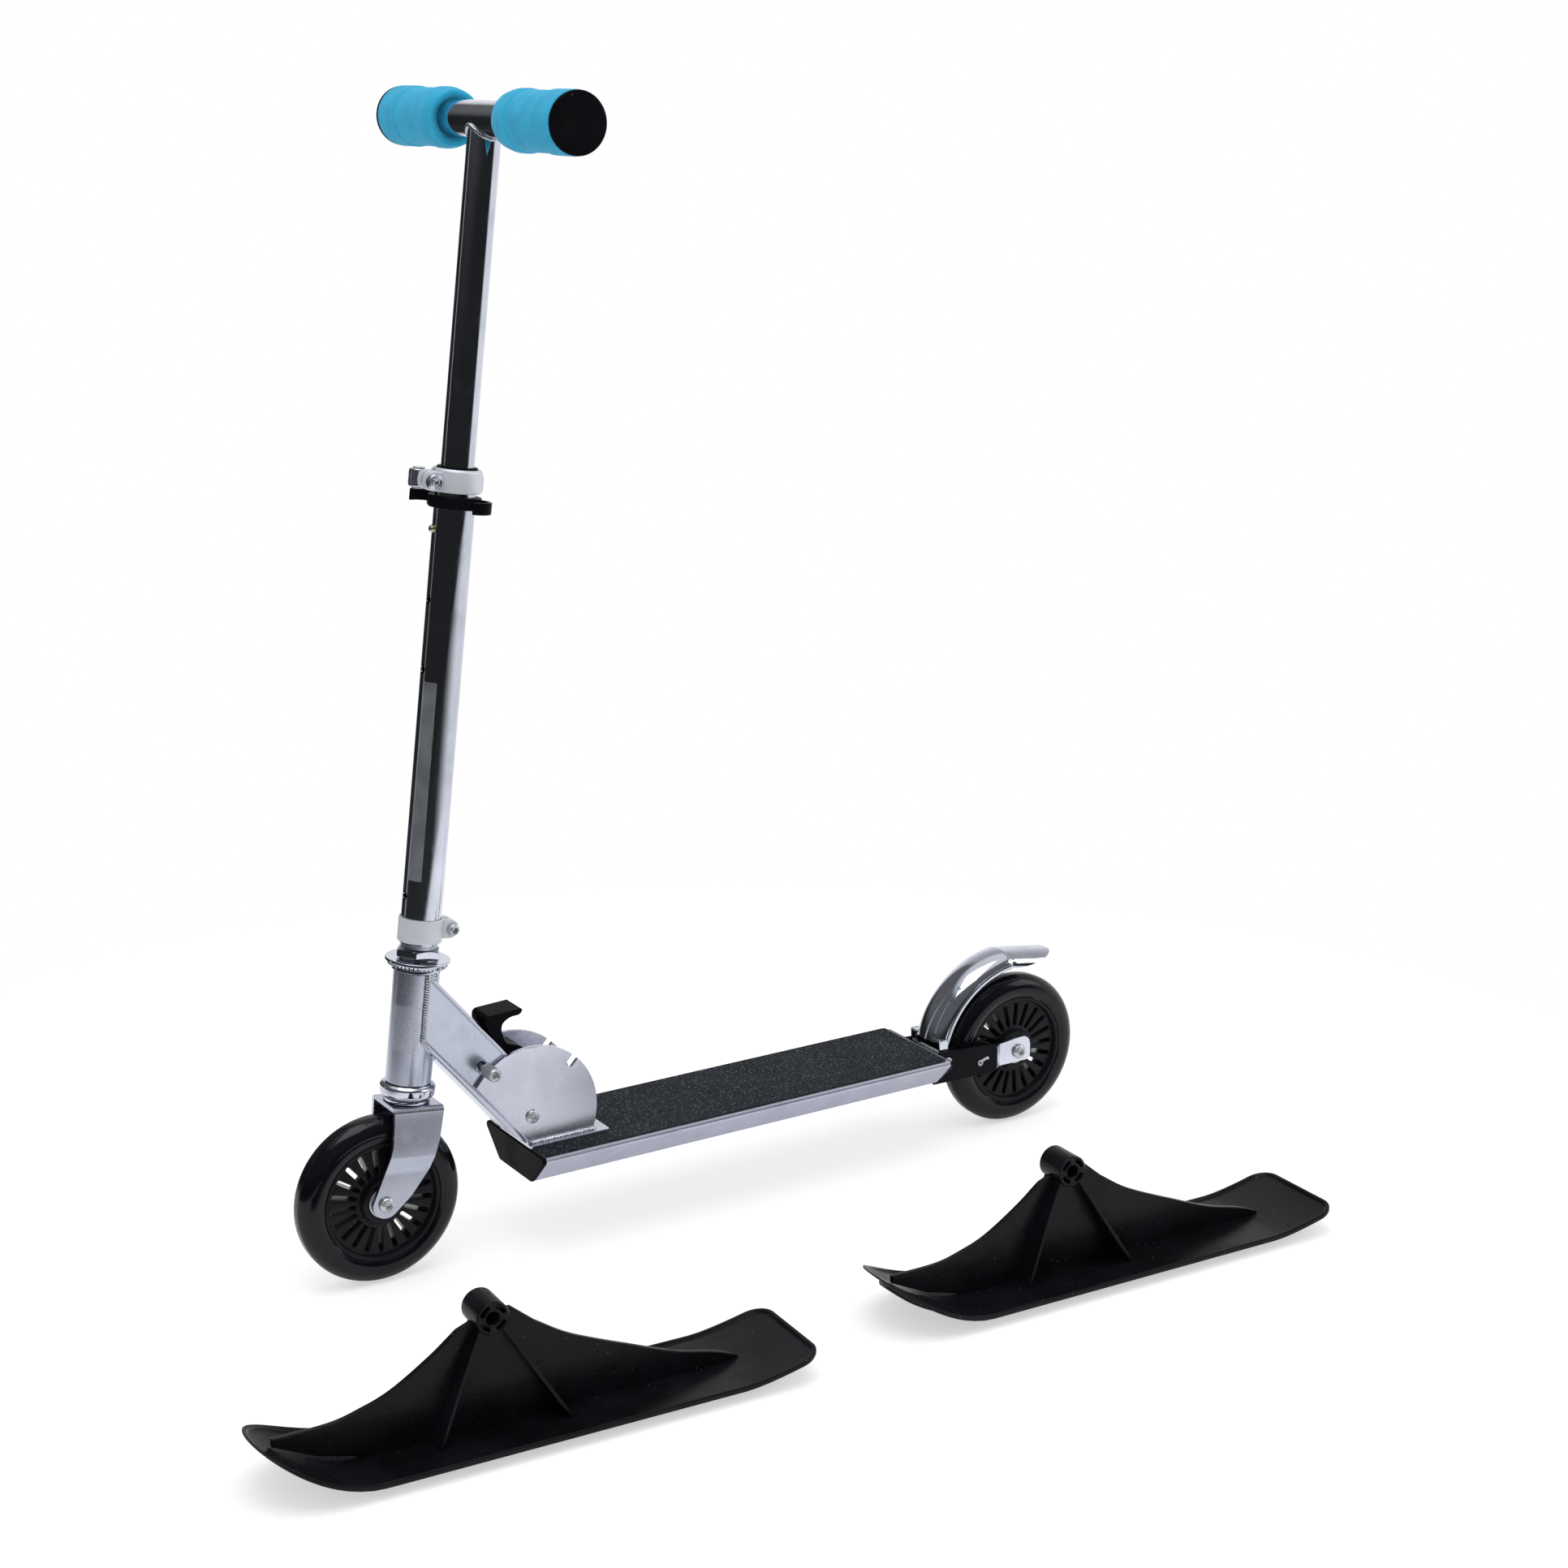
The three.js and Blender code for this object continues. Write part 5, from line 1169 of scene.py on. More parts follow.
def dress(obj: Piece, body: Body, finish: Finish, *nodes: str) -> Piece:
    """Gives a piece its finish, its body and the CAD nodes that it stands for.

    Args:
        obj: The finished mesh.
        body: The body that it moves with.
        finish: Its finish.
        nodes: The CAD nodes that it replaces.

    Returns:
        The same object.
    """
    obj.data.materials.clear()
    obj.data.materials.append(finish.material())
    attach(obj, body.value)
    if nodes:
        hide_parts(*nodes)
    LOG.info("%s on %s, %d faces", obj.name, body.value, len(obj.data.polygons))
    return obj


def carried(obj: Piece, finish: Finish) -> None:
    """Gives a CAD node that stays in view its finish."""
    obj.data.materials.clear()
    obj.data.materials.append(finish.material())
    LOG.info("%s keeps its own shape", obj.name)


def both_sides(line: Sequence[Point2]) -> list[Point2]:
    """A half section and its mirror image, as one outline."""
    return [*line, *[(-y, z) for y, z in reversed(line)]]


def mirrored(line: Sequence[Point2]) -> list[Point2]:
    """A profile's upper half followed by its lower one."""
    return [*line, *[(r, -h) for r, h in reversed(line)]]


def circle(radius: float, steps: int = 48, centre: Point2 = (0, 0)) -> list[Point2]:
    """The outline of a circle."""
    return arc(centre, radius, 0, 360 - 360 / steps, steps - 1)


def hexagon(flats: float) -> list[Point2]:
    """The outline of a hexagon, by its width across flats."""
    return circle(flats / 2 / math.cos(math.pi / 6), 6)


def tube(
    name: str, outer: float, inner: float, low: float, high: float, frame: Matrix, edge: float = 0.3
) -> Piece:
    """A round tube along Z with eased edges."""
    profile = [(inner, low), (outer, low), (outer, high), (inner, high)]
    return lathe(name, rounded(profile, edge, 2), frame)


def button_bolt(
    name: str,
    shank: float,
    length: float,
    head: float,
    height: float,
    flats: float,
    frame: Matrix,
) -> Piece:
    """A round-headed bolt with a hexagonal socket.

    Args:
        name: The object's name.
        shank: The shank's radius.
        length: How far the shank reaches below the head.
        head: The head's radius.
        height: The head's height.
        flats: The socket's width across flats.
        frame: The frame whose Z axis comes out of the head.

    Returns:
        The bolt.
    """
    dome = [
        (
            head * math.cos(math.radians(a)) ** 0.7, height * (0.3 + 0.7 * math.sin(math.radians(a)))
        ) for a in range(0, 66, 8)
    ]
    rim = (head * 0.56, height)
    profile = [
        (0, -length), (shank * 0.8, -length), (shank, 0.6 - length), (shank, 0), (head - 0.2, 0), *dome, rim
    ]
    profile += [(head * 0.52, height * 0.96), (0, height * 0.96)]
    body = lathe(name, profile, frame, 64)
    return weighted(cut(body, prism_tool(hexagon(flats), height * 0.3, height + 4, frame)))


def hex_nut(name: str, flats: float, bore: float, height: float, frame: Matrix) -> Piece:
    """A hexagonal nut with chamfered corners.

    Args:
        name: The object's name.
        flats: Its width across flats.
        bore: Its bore's radius.
        height: Its height.
        frame: The frame whose Z axis runs through it.

    Returns:
        The nut.
    """
    corner = flats / 2 / math.cos(math.pi / 6) + 0.2
    ease_in = flats * 0.475
    rise = (corner - ease_in) * 0.55
    body = prism_tool(hexagon(flats), 0, height, frame)
    body.name = name
    round_off = lathe(
        "round",
        [(0, 0), (ease_in, 0), (corner, rise), (corner, height - rise), (ease_in, height), (0, height)],
        frame, 72
    )
    nut = trimmed(body, Trim.WITHIN, round_off)
    hole = [
        (0, -1), (bore + 0.9, -1), (bore + 0.9, 0), (bore, 0.9), (bore, height - 0.9), (bore + 0.9, height)
    ]
    nut = cut(nut, lathe("hole", [*hole, (bore + 0.9, height + 1), (0, height + 1)], frame, 48))
    return weighted(nut, 28)


@dataclass
class Kit:
    """A sub-assembly.

    Attributes:
        places: Where the frames lie.
    """

    places: Places

    def dress(self) -> None:
        """Builds and dresses all its pieces."""
        raise NotImplementedError


# Wheels


@dataclass
class Wheel(Kit):
    """A gloss tyre on a slotted hub with shielded bearings.

    Attributes:
        end: Which wheel it is, as the CAD nodes name it.
        body: The body that it turns with.
        frame: The frame at its centre, with the axle along Y.
    """

    end: str
    body: Body
    frame: Matrix
    radius: float = 60
    width: float = 24
    crown: float = 6
    seat: float = 43.3
    rim: float = 43
    rim_width: float = 22
    rim_depth: float = 3.5
    web: float = 15
    boss: float = 15.5
    shoulder: float = 8.5
    slots: int = 21
    slot_width: float = 3.2
    slot_inner: float = 18.5
    slot_outer: float = 38
    bearing: float = 11
    bearing_width: float = 7
    bore: float = BOLT_BORE

    def tyre(self) -> Piece:
        """A round-shouldered tyre with a faint seam beside the rim."""
        half, crown = self.width / 2, self.crown / 2
        centre = self.radius - math.sqrt(half**2 - crown**2)
        upper = arc((centre, 0), half, math.degrees(math.asin(crown / half)), 90, 14)
        side = [*upper, (centre - 1.6, half), (centre - 2.2, half - 0.35), (self.seat + 0.4, half - 0.8)]
        side.append((self.seat, half - 1.3))
        crown_line = [(self.radius, 0)]
        profile = [*[(r, -h) for r, h in reversed(side)], *crown_line, *side]
        return lathe(f"tyre_{self.end}", profile, self.frame @ facing(Side.NEAR), 160)

    def hub(self) -> Piece:
        """A thick web with slots, a stepped rim and a boss on each side."""
        turn = self.frame @ facing(Side.NEAR)
        half, rim, web = self.width / 2, self.rim_width / 2, self.web / 2
        end = self.slot_width / 2
        outlines = [circle(self.rim - 1, 120), circle(self.boss - 2, 60)]
        for i in range(self.slots):
            spin = Matrix.Rotation(FULL_TURN * i / self.slots, 2)
            shape = arc((self.slot_outer - end, 0), end, -90, 90, 6) + arc(
                (self.slot_inner + end, 0), end, 90, 270, 6
            )
            outlines.append([tuple(spin @ Vector(p)) for p in shape])
        plate = flat_plate("web", outlines, self.web, turn, 0.7)
        inner = self.rim - self.rim_depth
        ring = [
            (inner - 0.6, web - 0.6), (inner, web + 0.6), (inner + 0.5, rim - 0.7), (inner + 1.2, rim),
            (self.rim - 0.4, rim)
        ]
        ring.append((self.rim, rim - 0.4))
        band = lathe("rim", mirrored(ring), turn, 144)
        side = [(self.shoulder, half - self.bearing_width), (self.bearing + 0.1, half - self.bearing_width)]
        side += [
            (self.bearing + 0.1, half - 0.5), (self.bearing + 0.6, half), (self.boss - 0.7, half),
            (self.boss, half - 0.7)
        ]
        side += [(self.boss, web + 0.8), (self.boss + 0.9, web - 0.2)]
        boss = lathe("boss", mirrored(side), turn, 96)
        return joined(f"slotted_hub_{self.end}", [plate, band, boss])

    def shielded_bearing(self, side: Side) -> Piece:
        """A ball bearing with a pressed shield between its rings."""
        half = self.bearing_width / 2
        face = [
            (self.bore, half - 0.3), (self.bore + 0.3, half), (5.9, half), (6.1, half - 0.5),
            (9.1, half - 0.5)
        ]
        face += [(9.3, half), (self.bearing - 0.3, half), (self.bearing, half - 0.3)]
        profile = mirrored(face)
        middle = (self.width - self.bearing_width) / 2
        name = f"shielded_bearing_{self.end}_{side.name.lower()}"
        return lathe(name, profile, self.frame @ moved(0, side.value * middle, 0) @ facing(Side.NEAR))

    def dress(self) -> None:
        """Builds the tyre, hub and bearings."""
        dress(self.tyre(), self.body, TYRE, f"{self.end}_tyre")
        dress(self.hub(), self.body, HUB_PLASTIC, f"{self.end}_hub")
        for side in Side:
            dress(self.shielded_bearing(side), self.body, ZINC, f"{self.end}_bearing_{side.name.lower()}")


@dataclass
class Axle(Kit):
    """The bolt and nut of a wheel.

    Attributes:
        end: Which wheel it carries.
        body: The body that holds it.
        frame: The frame at the wheel's centre.
        reach: How far out the plates' faces are.
    """

    end: str
    body: Body
    frame: Matrix
    reach: float
    shank: float = 4
    head: float = 5.6
    head_height: float = 3.6
    nut_flats: float = 11.5
    nut_height: float = 5.2
    socket: float = 4.5

    def dress(self) -> None:
        """Builds the bolt and the nut."""
        length = 2 * self.reach + 2 * GAP + self.nut_height
        near = self.frame @ moved(0, -self.reach - GAP, 0) @ facing(Side.NEAR)
        far = self.frame @ moved(0, self.reach + GAP, 0) @ facing(Side.FAR)
        bolt = button_bolt(
            f"axle_bolt_{self.end}", self.shank, length, self.head, self.head_height, self.socket, near
        )
        dress(bolt, self.body, ZINC, f"{self.end}_axle_bolt")
        nut = hex_nut(f"axle_nut_{self.end}", self.nut_flats, self.shank + 0.2, self.nut_height, far)
        dress(nut, self.body, ZINC, f"{self.end}_axle_nut")


# Fork, headset and neck


@dataclass
class Fork(Kit):
    """A fork pressed from one strip: crown, two joggled legs with round ends, and the steerer.

    Attributes:
        crown_top: The crown's top, up the steering axis.
        thickness: The strip's thickness.
        upper: Half the width at the crown.
        lower: Half the width at the axle.
        bend: The outside radius of the bends at the crown.
    """

    crown_top: float = 127.48
    thickness: float = 3
    upper: float = 19
    lower: float = 16
    bend: float = 3.8
    crease: float = 0.8
    crown_front: float = -17
    crown_rear: float = 20
    knee: float = 100.98
    jog_high: float = 91.98
    jog_low: float = 81.98
    axle_x: float = -FRONT_AXLE[1]
    axle_z: float = 58.38
    end: float = 10
    sweep: float = 130
    steerer: float = 12.4
    steerer_top: float = 259.98

    def span(self, z: float) -> Point2:
        """How far the leg reaches forwards and back at a height."""
        drop = z - self.axle_z
        round_half = math.sqrt(max(0.0, self.end**2 - drop**2))
        ahead = [
            (self.crown_top, self.crown_front), (self.knee, -16.0), (self.jog_low, -19.0),
            (self.axle_z, self.axle_x - self.end)
        ]
        tangent = math.radians(180 + self.sweep)
        lift = self.axle_z + self.end * math.sin(tangent)
        behind = [
            (self.crown_top, self.crown_rear), (self.knee + 3, 18.5), (self.jog_low, 14.0),
            (self.axle_z + 5, self.axle_x + 18.5)
        ]
        behind.append((lift, self.axle_x + self.end * math.cos(tangent)))
        front = self.axle_x - round_half if drop < 0 else self.along(ahead, z)
        rear = self.axle_x + round_half if z < lift else self.along(behind, z)
        return front, rear

    @staticmethod
    def along(line: Sequence[Point2], z: float) -> float:
        """The place on a line of (height, x) points at a height."""
        for (high, at_high), (low, at_low) in zip(line, line[1:]):
            if z >= low:
                share = (z - low) / (high - low)
                return at_low + (at_high - at_low) * share
        return line[-1][1]

    def half_path(self) -> list[Point2]:
        """The strip's outside from the leg's end up to the middle of the crown, as (y, z)."""
        low = self.axle_z - self.end
        heights = [low + self.end * (1 - math.cos(math.radians(a))) for a in range(0, 90, 9)]
        heights += [self.axle_z + i * (self.jog_low - self.axle_z) / 8 for i in range(9)]
        path = [(self.lower, z) for z in heights]
        low, high, edge = self.jog_low, self.jog_high, self.crease
        rise = (self.upper - self.lower) / (high - low)
        path[-1] = (self.lower, low - edge)
        path += [(self.lower + rise * (z - low), z) for z in (low + edge, (low + high) / 2, high - edge)]
        path.append((self.upper, high + edge))
        straight = (
            self.knee - edge, self.knee + edge, self.knee + 3, self.knee + 9, self.crown_top - self.bend - 4
        )
        path += [(self.upper, z) for z in straight]
        path += arc((self.upper - self.bend, self.crown_top - self.bend), self.bend, 0, 90, 8)
        path += [((self.upper - self.bend) * (1 - i / 4), self.crown_top) for i in range(1, 5)]
        return path

    def strip(self) -> Piece:
        """The bent strip."""
        half = self.half_path()
        path = half + [(-y, z) for y, z in reversed(half[:-1])]
        across = 14
        rows = []
        for y, z in path:
            front, rear = self.span(z)
            rows.append([(front + (rear - front) * j / across, -y, z) for j in range(across + 1)])
        sheet = grid_shell("strip", rows, self.places.steering())
        solid = thickened(sheet, self.thickness, -1, 0.7)
        hole = lathe(
            "hole", [(0, -40), (BOLT_BORE, -40), (BOLT_BORE, 40), (0, 40)],
            self.places.steering(self.axle_z, -self.axle_x) @ UPRIGHT, 40
        )
        return cut(solid, hole)

    def dress(self) -> None:
        """Builds the strip and the steerer as one weldment."""
        shaft = tube(
            "shaft", self.steerer, self.steerer - 1.2, self.crown_top - 4, self.steerer_top,
            self.places.steering()
        )
        fork = joined("fork_with_steerer", [weighted(self.strip(), 40), shaft])
        dress(fork, Body.STEERING, FORGED, "fork_and_steerer")


@dataclass
class Headset(Kit):
    """Race, cups, knurled flange nut and hexagonal lock nut."""

    race_low: float = 127.78
    cup_low: float = 132.28
    cup_high: float = 141.18
    cup: float = 19.3
    upper_low: float = 221.28
    upper_high: float = 223.78
    flange_low: float = 224.08
    flange_high: float = 229.48
    flange: float = 22.4
    hub: float = 18
    nut_low: float = 229.78
    nut_height: float = 7
    nut_flats: float = 28
    seat: float = 12.7

    def turned(self, name: str, profile: Sequence[Point2], body: Body, finish: Finish, node: str) -> None:
        """Builds and dresses one turned piece."""
        dress(lathe(name, profile, self.places.steering(), 128), body, finish, node)

    def flange_nut(self) -> Piece:
        """A round nut whose edge has a thin rim over a knurled skirt."""
        low, high = self.flange_low, self.flange_high
        profile = [
            (self.seat, low + 2.2), (16, low + 2.2), (16, low + 0.1), (self.hub, low + 0.1),
            (self.hub + 2.2, low + 1.4)
        ]
        profile += [
            (self.hub + 2.6, low + 2.7), (self.flange - 0.5, high - 2.2), (self.flange, high - 1.8),
            (self.flange, high - 0.5)
        ]
        profile += [(self.flange - 0.5, high), (15.4, high), (14.8, high - 0.4), (self.seat, high - 0.4)]
        body = lathe("flange", profile, self.places.steering(), 144)
        tooth = [
            (self.hub - 0.2, -0.75), (self.hub + 2.6, -0.45), (self.hub + 2.6, 0.45), (self.hub - 0.2, 0.75)
        ]
        ridge = prism_tool(tooth, 0.5, 2.9, Matrix.Identity(4))
        knurl = RING.run(ridge, CHROME, self.places.steering(low), count=44)
        return joined("flange_nut", [body, knurl])

    def dress(self) -> None:
        """Builds the headset from the crown up."""
        low = self.race_low
        race = [
            (self.seat, low), (15.6, low), (16.2, low + 0.6), (16.2, low + 2.2), (15.2, low + 3),
            (self.seat, low + 3)
        ]
        self.turned("fork_race", race, Body.STEERING, CHROME, "crown_race")
        cup = [(13, self.cup_high), (13, self.cup_low + 2.4), (16, self.cup_low + 2.4), (16, self.cup_low)]
        cup += arc((self.cup - 2.4, self.cup_low + 2.4), 2.4, -90, 0, 8) + arc(
            (self.cup - 2.4, self.cup_high - 3), 2.4, 0, 62, 6
        )
        cup += [(17.4, self.cup_high - 0.4), (17.2, self.cup_high)]
        self.turned("beaded_cup", cup, Body.NECK, CHROME, "lower_cup")
        top, low = self.upper_high, self.upper_low
        upper = [
            (13, low), (17, low), (17.6, low + 0.5), (17.6, top - 0.5), (17.2, top), (16, top),
            (16, low + 1.2), (13, low + 1.2)
        ]
        self.turned("head_cup", upper, Body.NECK, CHROME, "upper_cup")
        dress(self.flange_nut(), Body.STEERING, CHROME, "headset_flange")
        nut = hex_nut(
            "hex_lock_nut", self.nut_flats, self.seat, self.nut_height, self.places.steering(self.nut_low)
        )
        dress(nut, Body.STEERING, CHROME, "lock_nut")


@dataclass
class Neck(Kit):
    """A box channel welded to the head tube, open above where the lock lever sits.

    Attributes:
        height: The channel's height across the neck.
        width: Its width.
        wall: Its wall.
        corner: The rounding of its long edges.
        reach: How far it reaches from the pivot to the head tube's far side.
        mouth: How far the open part reaches from the pivot.
        pin: Where the lock pin rests.
    """

    height: float = NECK_HEIGHT
    width: float = 34
    wall: float = 2.5
    corner: float = 4.5
    reach: float = 152
    mouth: float = 91.9
    pin: float = PIN_PLACE
    pull: float = 3
    engage: float = 9
    slot_half: float = 2.9
    play: float = 0.7
    tube_low: float = 141.48
    tube_high: float = 220.98
    tube_radius: float = HEAD_TUBE_RADIUS
    tube_wall: float = 2.2

    def box_section(self, inset: float) -> list[Point2]:
        """The channel's section, as (y, z)."""
        half, high = self.width / 2 - inset, self.height / 2 - inset
        return rounded(
            [(-half, -high), (half, -high), (half, high), (-half, high)], max(0.8, self.corner - inset), 6
        )

    def bar(self, name: str, inset: float, low: float, high: float) -> Piece:
        """A bar of the channel's section along the neck."""
        made = prism_tool(self.box_section(inset), low, high, self.places.neck() @ ACROSS)
        made.name = name
        return made

    def side_tool(self, name: str, points: Sequence[Point2], half: float) -> Piece:
        """A block across the neck over an outline of (x, z)."""
        made = prism_tool(points, -half, half, self.places.neck() @ UPRIGHT)
        made.name = name
        return made

    def channel(self) -> Piece:
        """The channel with its round end, open mouth and slots."""
        half = self.height / 2
        shape = [(-self.reach - 5, -half - 1), (-self.reach - 5, half + 1), *arc((0, 0), half, 90, -90, 36)]
        shape[2:2] = [(0, half + 1)]
        shape.append((0, -half - 1))
        outer = trimmed(
            self.bar("channel", 0, -self.reach, half), Trim.WITHIN, self.side_tool("round_end", shape, 30)
        )
        tube_axis = self.places.steering()
        plug = lathe(
            "plug", [(0, 0), (self.tube_radius - 0.6, 0), (self.tube_radius - 0.6, 300), (0, 300)], tube_axis,
            72
        )
        front = box_tool((-60, -25, 0), (0, 25, 320), tube_axis)
        mouth = box_tool(
            (-self.mouth, -self.width / 2 + self.wall, 0), (half + 5, self.width / 2 - self.wall, half + 5),
            self.places.neck()
        )
        made = cut(outer, self.bar("hollow", self.wall, -self.reach - 9, half + 9), mouth, plug, front)
        bore = circle(BOLT_BORE, 32)
        made = cut(made, self.slot_tool(), self.side_tool("bore", bore, 40))
        return bevelled(made, 0.5, 2, 40)

    def slot_tool(self) -> Piece:
        """The room that the lock pin needs over its whole travel."""
        r = self.slot_half
        slot = arc((self.pin + self.engage, 0), r, -90, 90, 10) + arc(
            (self.pin - self.pull - self.play, 0), r, 90, 270, 10
        )
        return self.side_tool("slot", slot, 40)

    def slot_rims(self) -> list[Piece]:
        """The raised pressed rings round the slots, open where the pin slides through."""
        rims = []
        for side in Side:
            base = self.places.neck() @ moved(self.pin, side.value * self.width / 2, 0) @ facing(side)
            ring = [(4.3, -0.4), (6.2, -0.4), (5.9, 0.12), (5.3, 0.34), (4.7, 0.3), (4.3, 0)]
            rims.append(cut(lathe("rim", ring, base, 48), self.slot_tool()))
        return rims

    def seam(self) -> list[list[Vector]]:
        """The lines where the channel meets the head tube, on both sides."""
        to_tube = self.places.steering().inverted() @ self.places.neck()
        lines = []
        for side in Side:
            line: list[Vector] = []
            for i in range(25):
                z = self.height / 2 - 0.4 - (self.height - 0.8) * i / 24
                inset = max(0.0, self.corner - (self.height / 2 - abs(z)))
                y = side.value * (
                    self.width / 2 - self.corner + math.sqrt(max(0.0, self.corner**2 - inset**2))
                )
                spot = self.meet(to_tube, y, z)
                if spot is not None:
                    line.append(spot)
            lines.append(line)
        return lines

    def meet(self, to_tube: Matrix, y: float, z: float) -> Vector | None:
        """Where a line along the neck first meets the head tube, in the neck's frame."""
        reach = min(abs(y), self.tube_radius - 0.02)
        depth = math.sqrt(self.tube_radius**2 - reach**2)
        for step in range(600):
            x = -40 - step * 0.25
            spot = to_tube @ (Vector((x, y, z)) * MM) / MM
            if spot.x <= depth:
                return Vector((x, y, z)) if self.tube_low < spot.z < self.tube_high else None
        return None

    def dress(self) -> None:
        """Builds the neck's weldment."""
        axis = self.places.steering()
        inner = self.tube_radius - self.tube_wall
        head = tube("head", self.tube_radius, inner, self.tube_low, self.tube_high, axis, 0.5)
        beads = [
            weld("seam", line, 1.9, self.places.neck(), 3 + i) for i, line in enumerate(self.seam()) if len(
                line
            ) > 3
        ]
        under = self.under_seam()
        if len(under) > 3:
            beads.append(weld("seam", under, 1.9, self.places.neck(), 7))
        pieces = [self.channel(), head, *self.slot_rims()]
        dress(joined("neck_with_head_tube", pieces), Body.NECK, PRESSED, "neck_and_head_tube")
        dress(joined("neck_weld", beads), Body.NECK, WELD)

    def under_seam(self) -> list[Vector]:
        """The line across the underside where the channel meets the head tube."""
        to_tube = self.places.steering().inverted() @ self.places.neck()
        half = self.width / 2 - self.corner
        spots = [self.meet(to_tube, half * (i / 8 - 1), -self.height / 2 + 0.2) for i in range(17)]
        return [spot for spot in spots if spot is not None]


@dataclass
class FoldLock(Kit):
    """The lock pin with its knurled knobs, the release lever and its spring.

    Attributes:
        pin: Where the pin rests along the neck.
        lever_half: Half the lever's width.
    """

    pin: float = PIN_PLACE
    pin_radius: float = 2.5
    knob: float = 5
    knob_low: float = 21.1
    knob_high: float = 35.1
    height: float = NECK_HEIGHT
    lever_half: float = 11
    shares: tuple[Point2, ...] = (
        (-0.17, -0.16),
        (0.5, -0.16),
        (0.7, 0.2),
        (0.7, 0.55),
        (0.6, 0.74),
        (0.45, 0.8),
        (0.28, 0.74),
        (0.1, 0.64),
        (-0.07, 0.68),
        (-0.2, 0.76),
        (-0.25, 0.86),
        (-0.22, 1.02),
        (-0.12, 1.17),
        (-0.13, 1.27),
        (-0.18, 1.28),
        (-0.58, 0.74),
        (-0.58, 0.66),
        (-0.5, 0.58),
        (-0.17, 0.5),
    )

    def knurled_knob(self, side: Side) -> Piece:
        """A knob with a knurled band between two plain ends and a socket in its face."""
        base = self.places.neck() @ moved(self.pin, 0, 0) @ facing(side)
        low, high, r = self.knob_low, self.knob_high, self.knob
        profile = [
            (0, low), (r - 0.9, low), (r - 0.25, low + 0.7), (r - 0.25, low + 1.4), (r - 0.5, low + 1.7)
        ]
        profile += [
            (r - 0.5, high - 2.4), (r - 0.15, high - 2.1), (r - 0.15, high - 0.8), (r - 0.9, high),
            (3.3, high)
        ]
        profile += [(3.1, high - 0.5), (0, high - 0.5)]
        body = lathe("knob", profile, base, 64)
        body = weighted(cut(body, prism_tool(hexagon(4), high - 3, high + 2, base)))
        tooth = prism_tool(
            [(r - 0.7, -0.34), (r, -0.08), (r, 0.08), (r - 0.7, 0.34)], low + 1.7, high - 2.4,
            Matrix.Identity(4)
        )
        return joined(f"knurled_knob_{side.name.lower()}", [body, RING.run(tooth, ZINC, base, count=36)])

    def lever(self) -> Piece:
        """The moulded lever: a block on the pin, a web with a recess, and a roofed tab."""
        points = [(x * self.height + self.pin, z * self.height) for x, z in self.shares]
        turn = self.places.neck() @ UPRIGHT
        line = [tuple(p) for p in smooth_line(points[1:14], 4)]
        outline = rounded([points[0], *line, *points[14:]], 1.2, 3)
        body = prism_tool(outline, -self.lever_half, self.lever_half, turn)
        body.name = "release_lever_moulding"
        bore = prism_tool(circle(self.pin_radius + 0.2, 24, (self.pin, 0)), -30, 30, turn)
        body = cut(body, bore)
        tri = [(0.1, 0.1), (0.5, 0.24), (0.5, 0.5), (0.28, 0.52), (0.02, 0.46)]
        pocket = [(x * self.height + self.pin, z * self.height) for x, z in tri]
        tools = [prism_tool(rounded(pocket, 1.6, 4), *reach, turn) for reach in ((6.5, 16), (-16, -6.5))]
        body = cut(body, *tools)
        return bevelled(body, 1.1, 3, 36)

    def dress(self) -> None:
        """Builds the lock."""
        turn = self.places.neck() @ moved(self.pin, 0, 0) @ facing(Side.NEAR)
        pin = lathe(
            "cross_pin",
            rounded(
                [(0, -28.1), (self.pin_radius, -28.1), (self.pin_radius, 28.1), (0, 28.1)], 0.4, 2, (0, 3)
            ),
            turn, 40
        )
        dress(pin, Body.FOLD_LOCK, ZINC, "lock_pin")
        for side in Side:
            dress(self.knurled_knob(side), Body.FOLD_LOCK, ZINC, f"lock_knob_{side.name.lower()}")
        dress(self.lever(), Body.FOLD_LOCK, BLACK_PLASTIC, "release_lever")
        seat = self.pin - self.height * 0.17 - 1
        along = self.places.neck() @ moved(seat, 0, 0) @ LAID
        coil = COIL.run(
            line_object("lock_coil", [(0, 0, 0), (1, 0, 0)]), ZINC, along, radius=4.5 * MM, length=28 * MM,
            turns=7.0, wire=0.7 * MM
        )
        dress(smooth(coil, 60), Body.FOLD_LOCK, ZINC, "lock_spring")


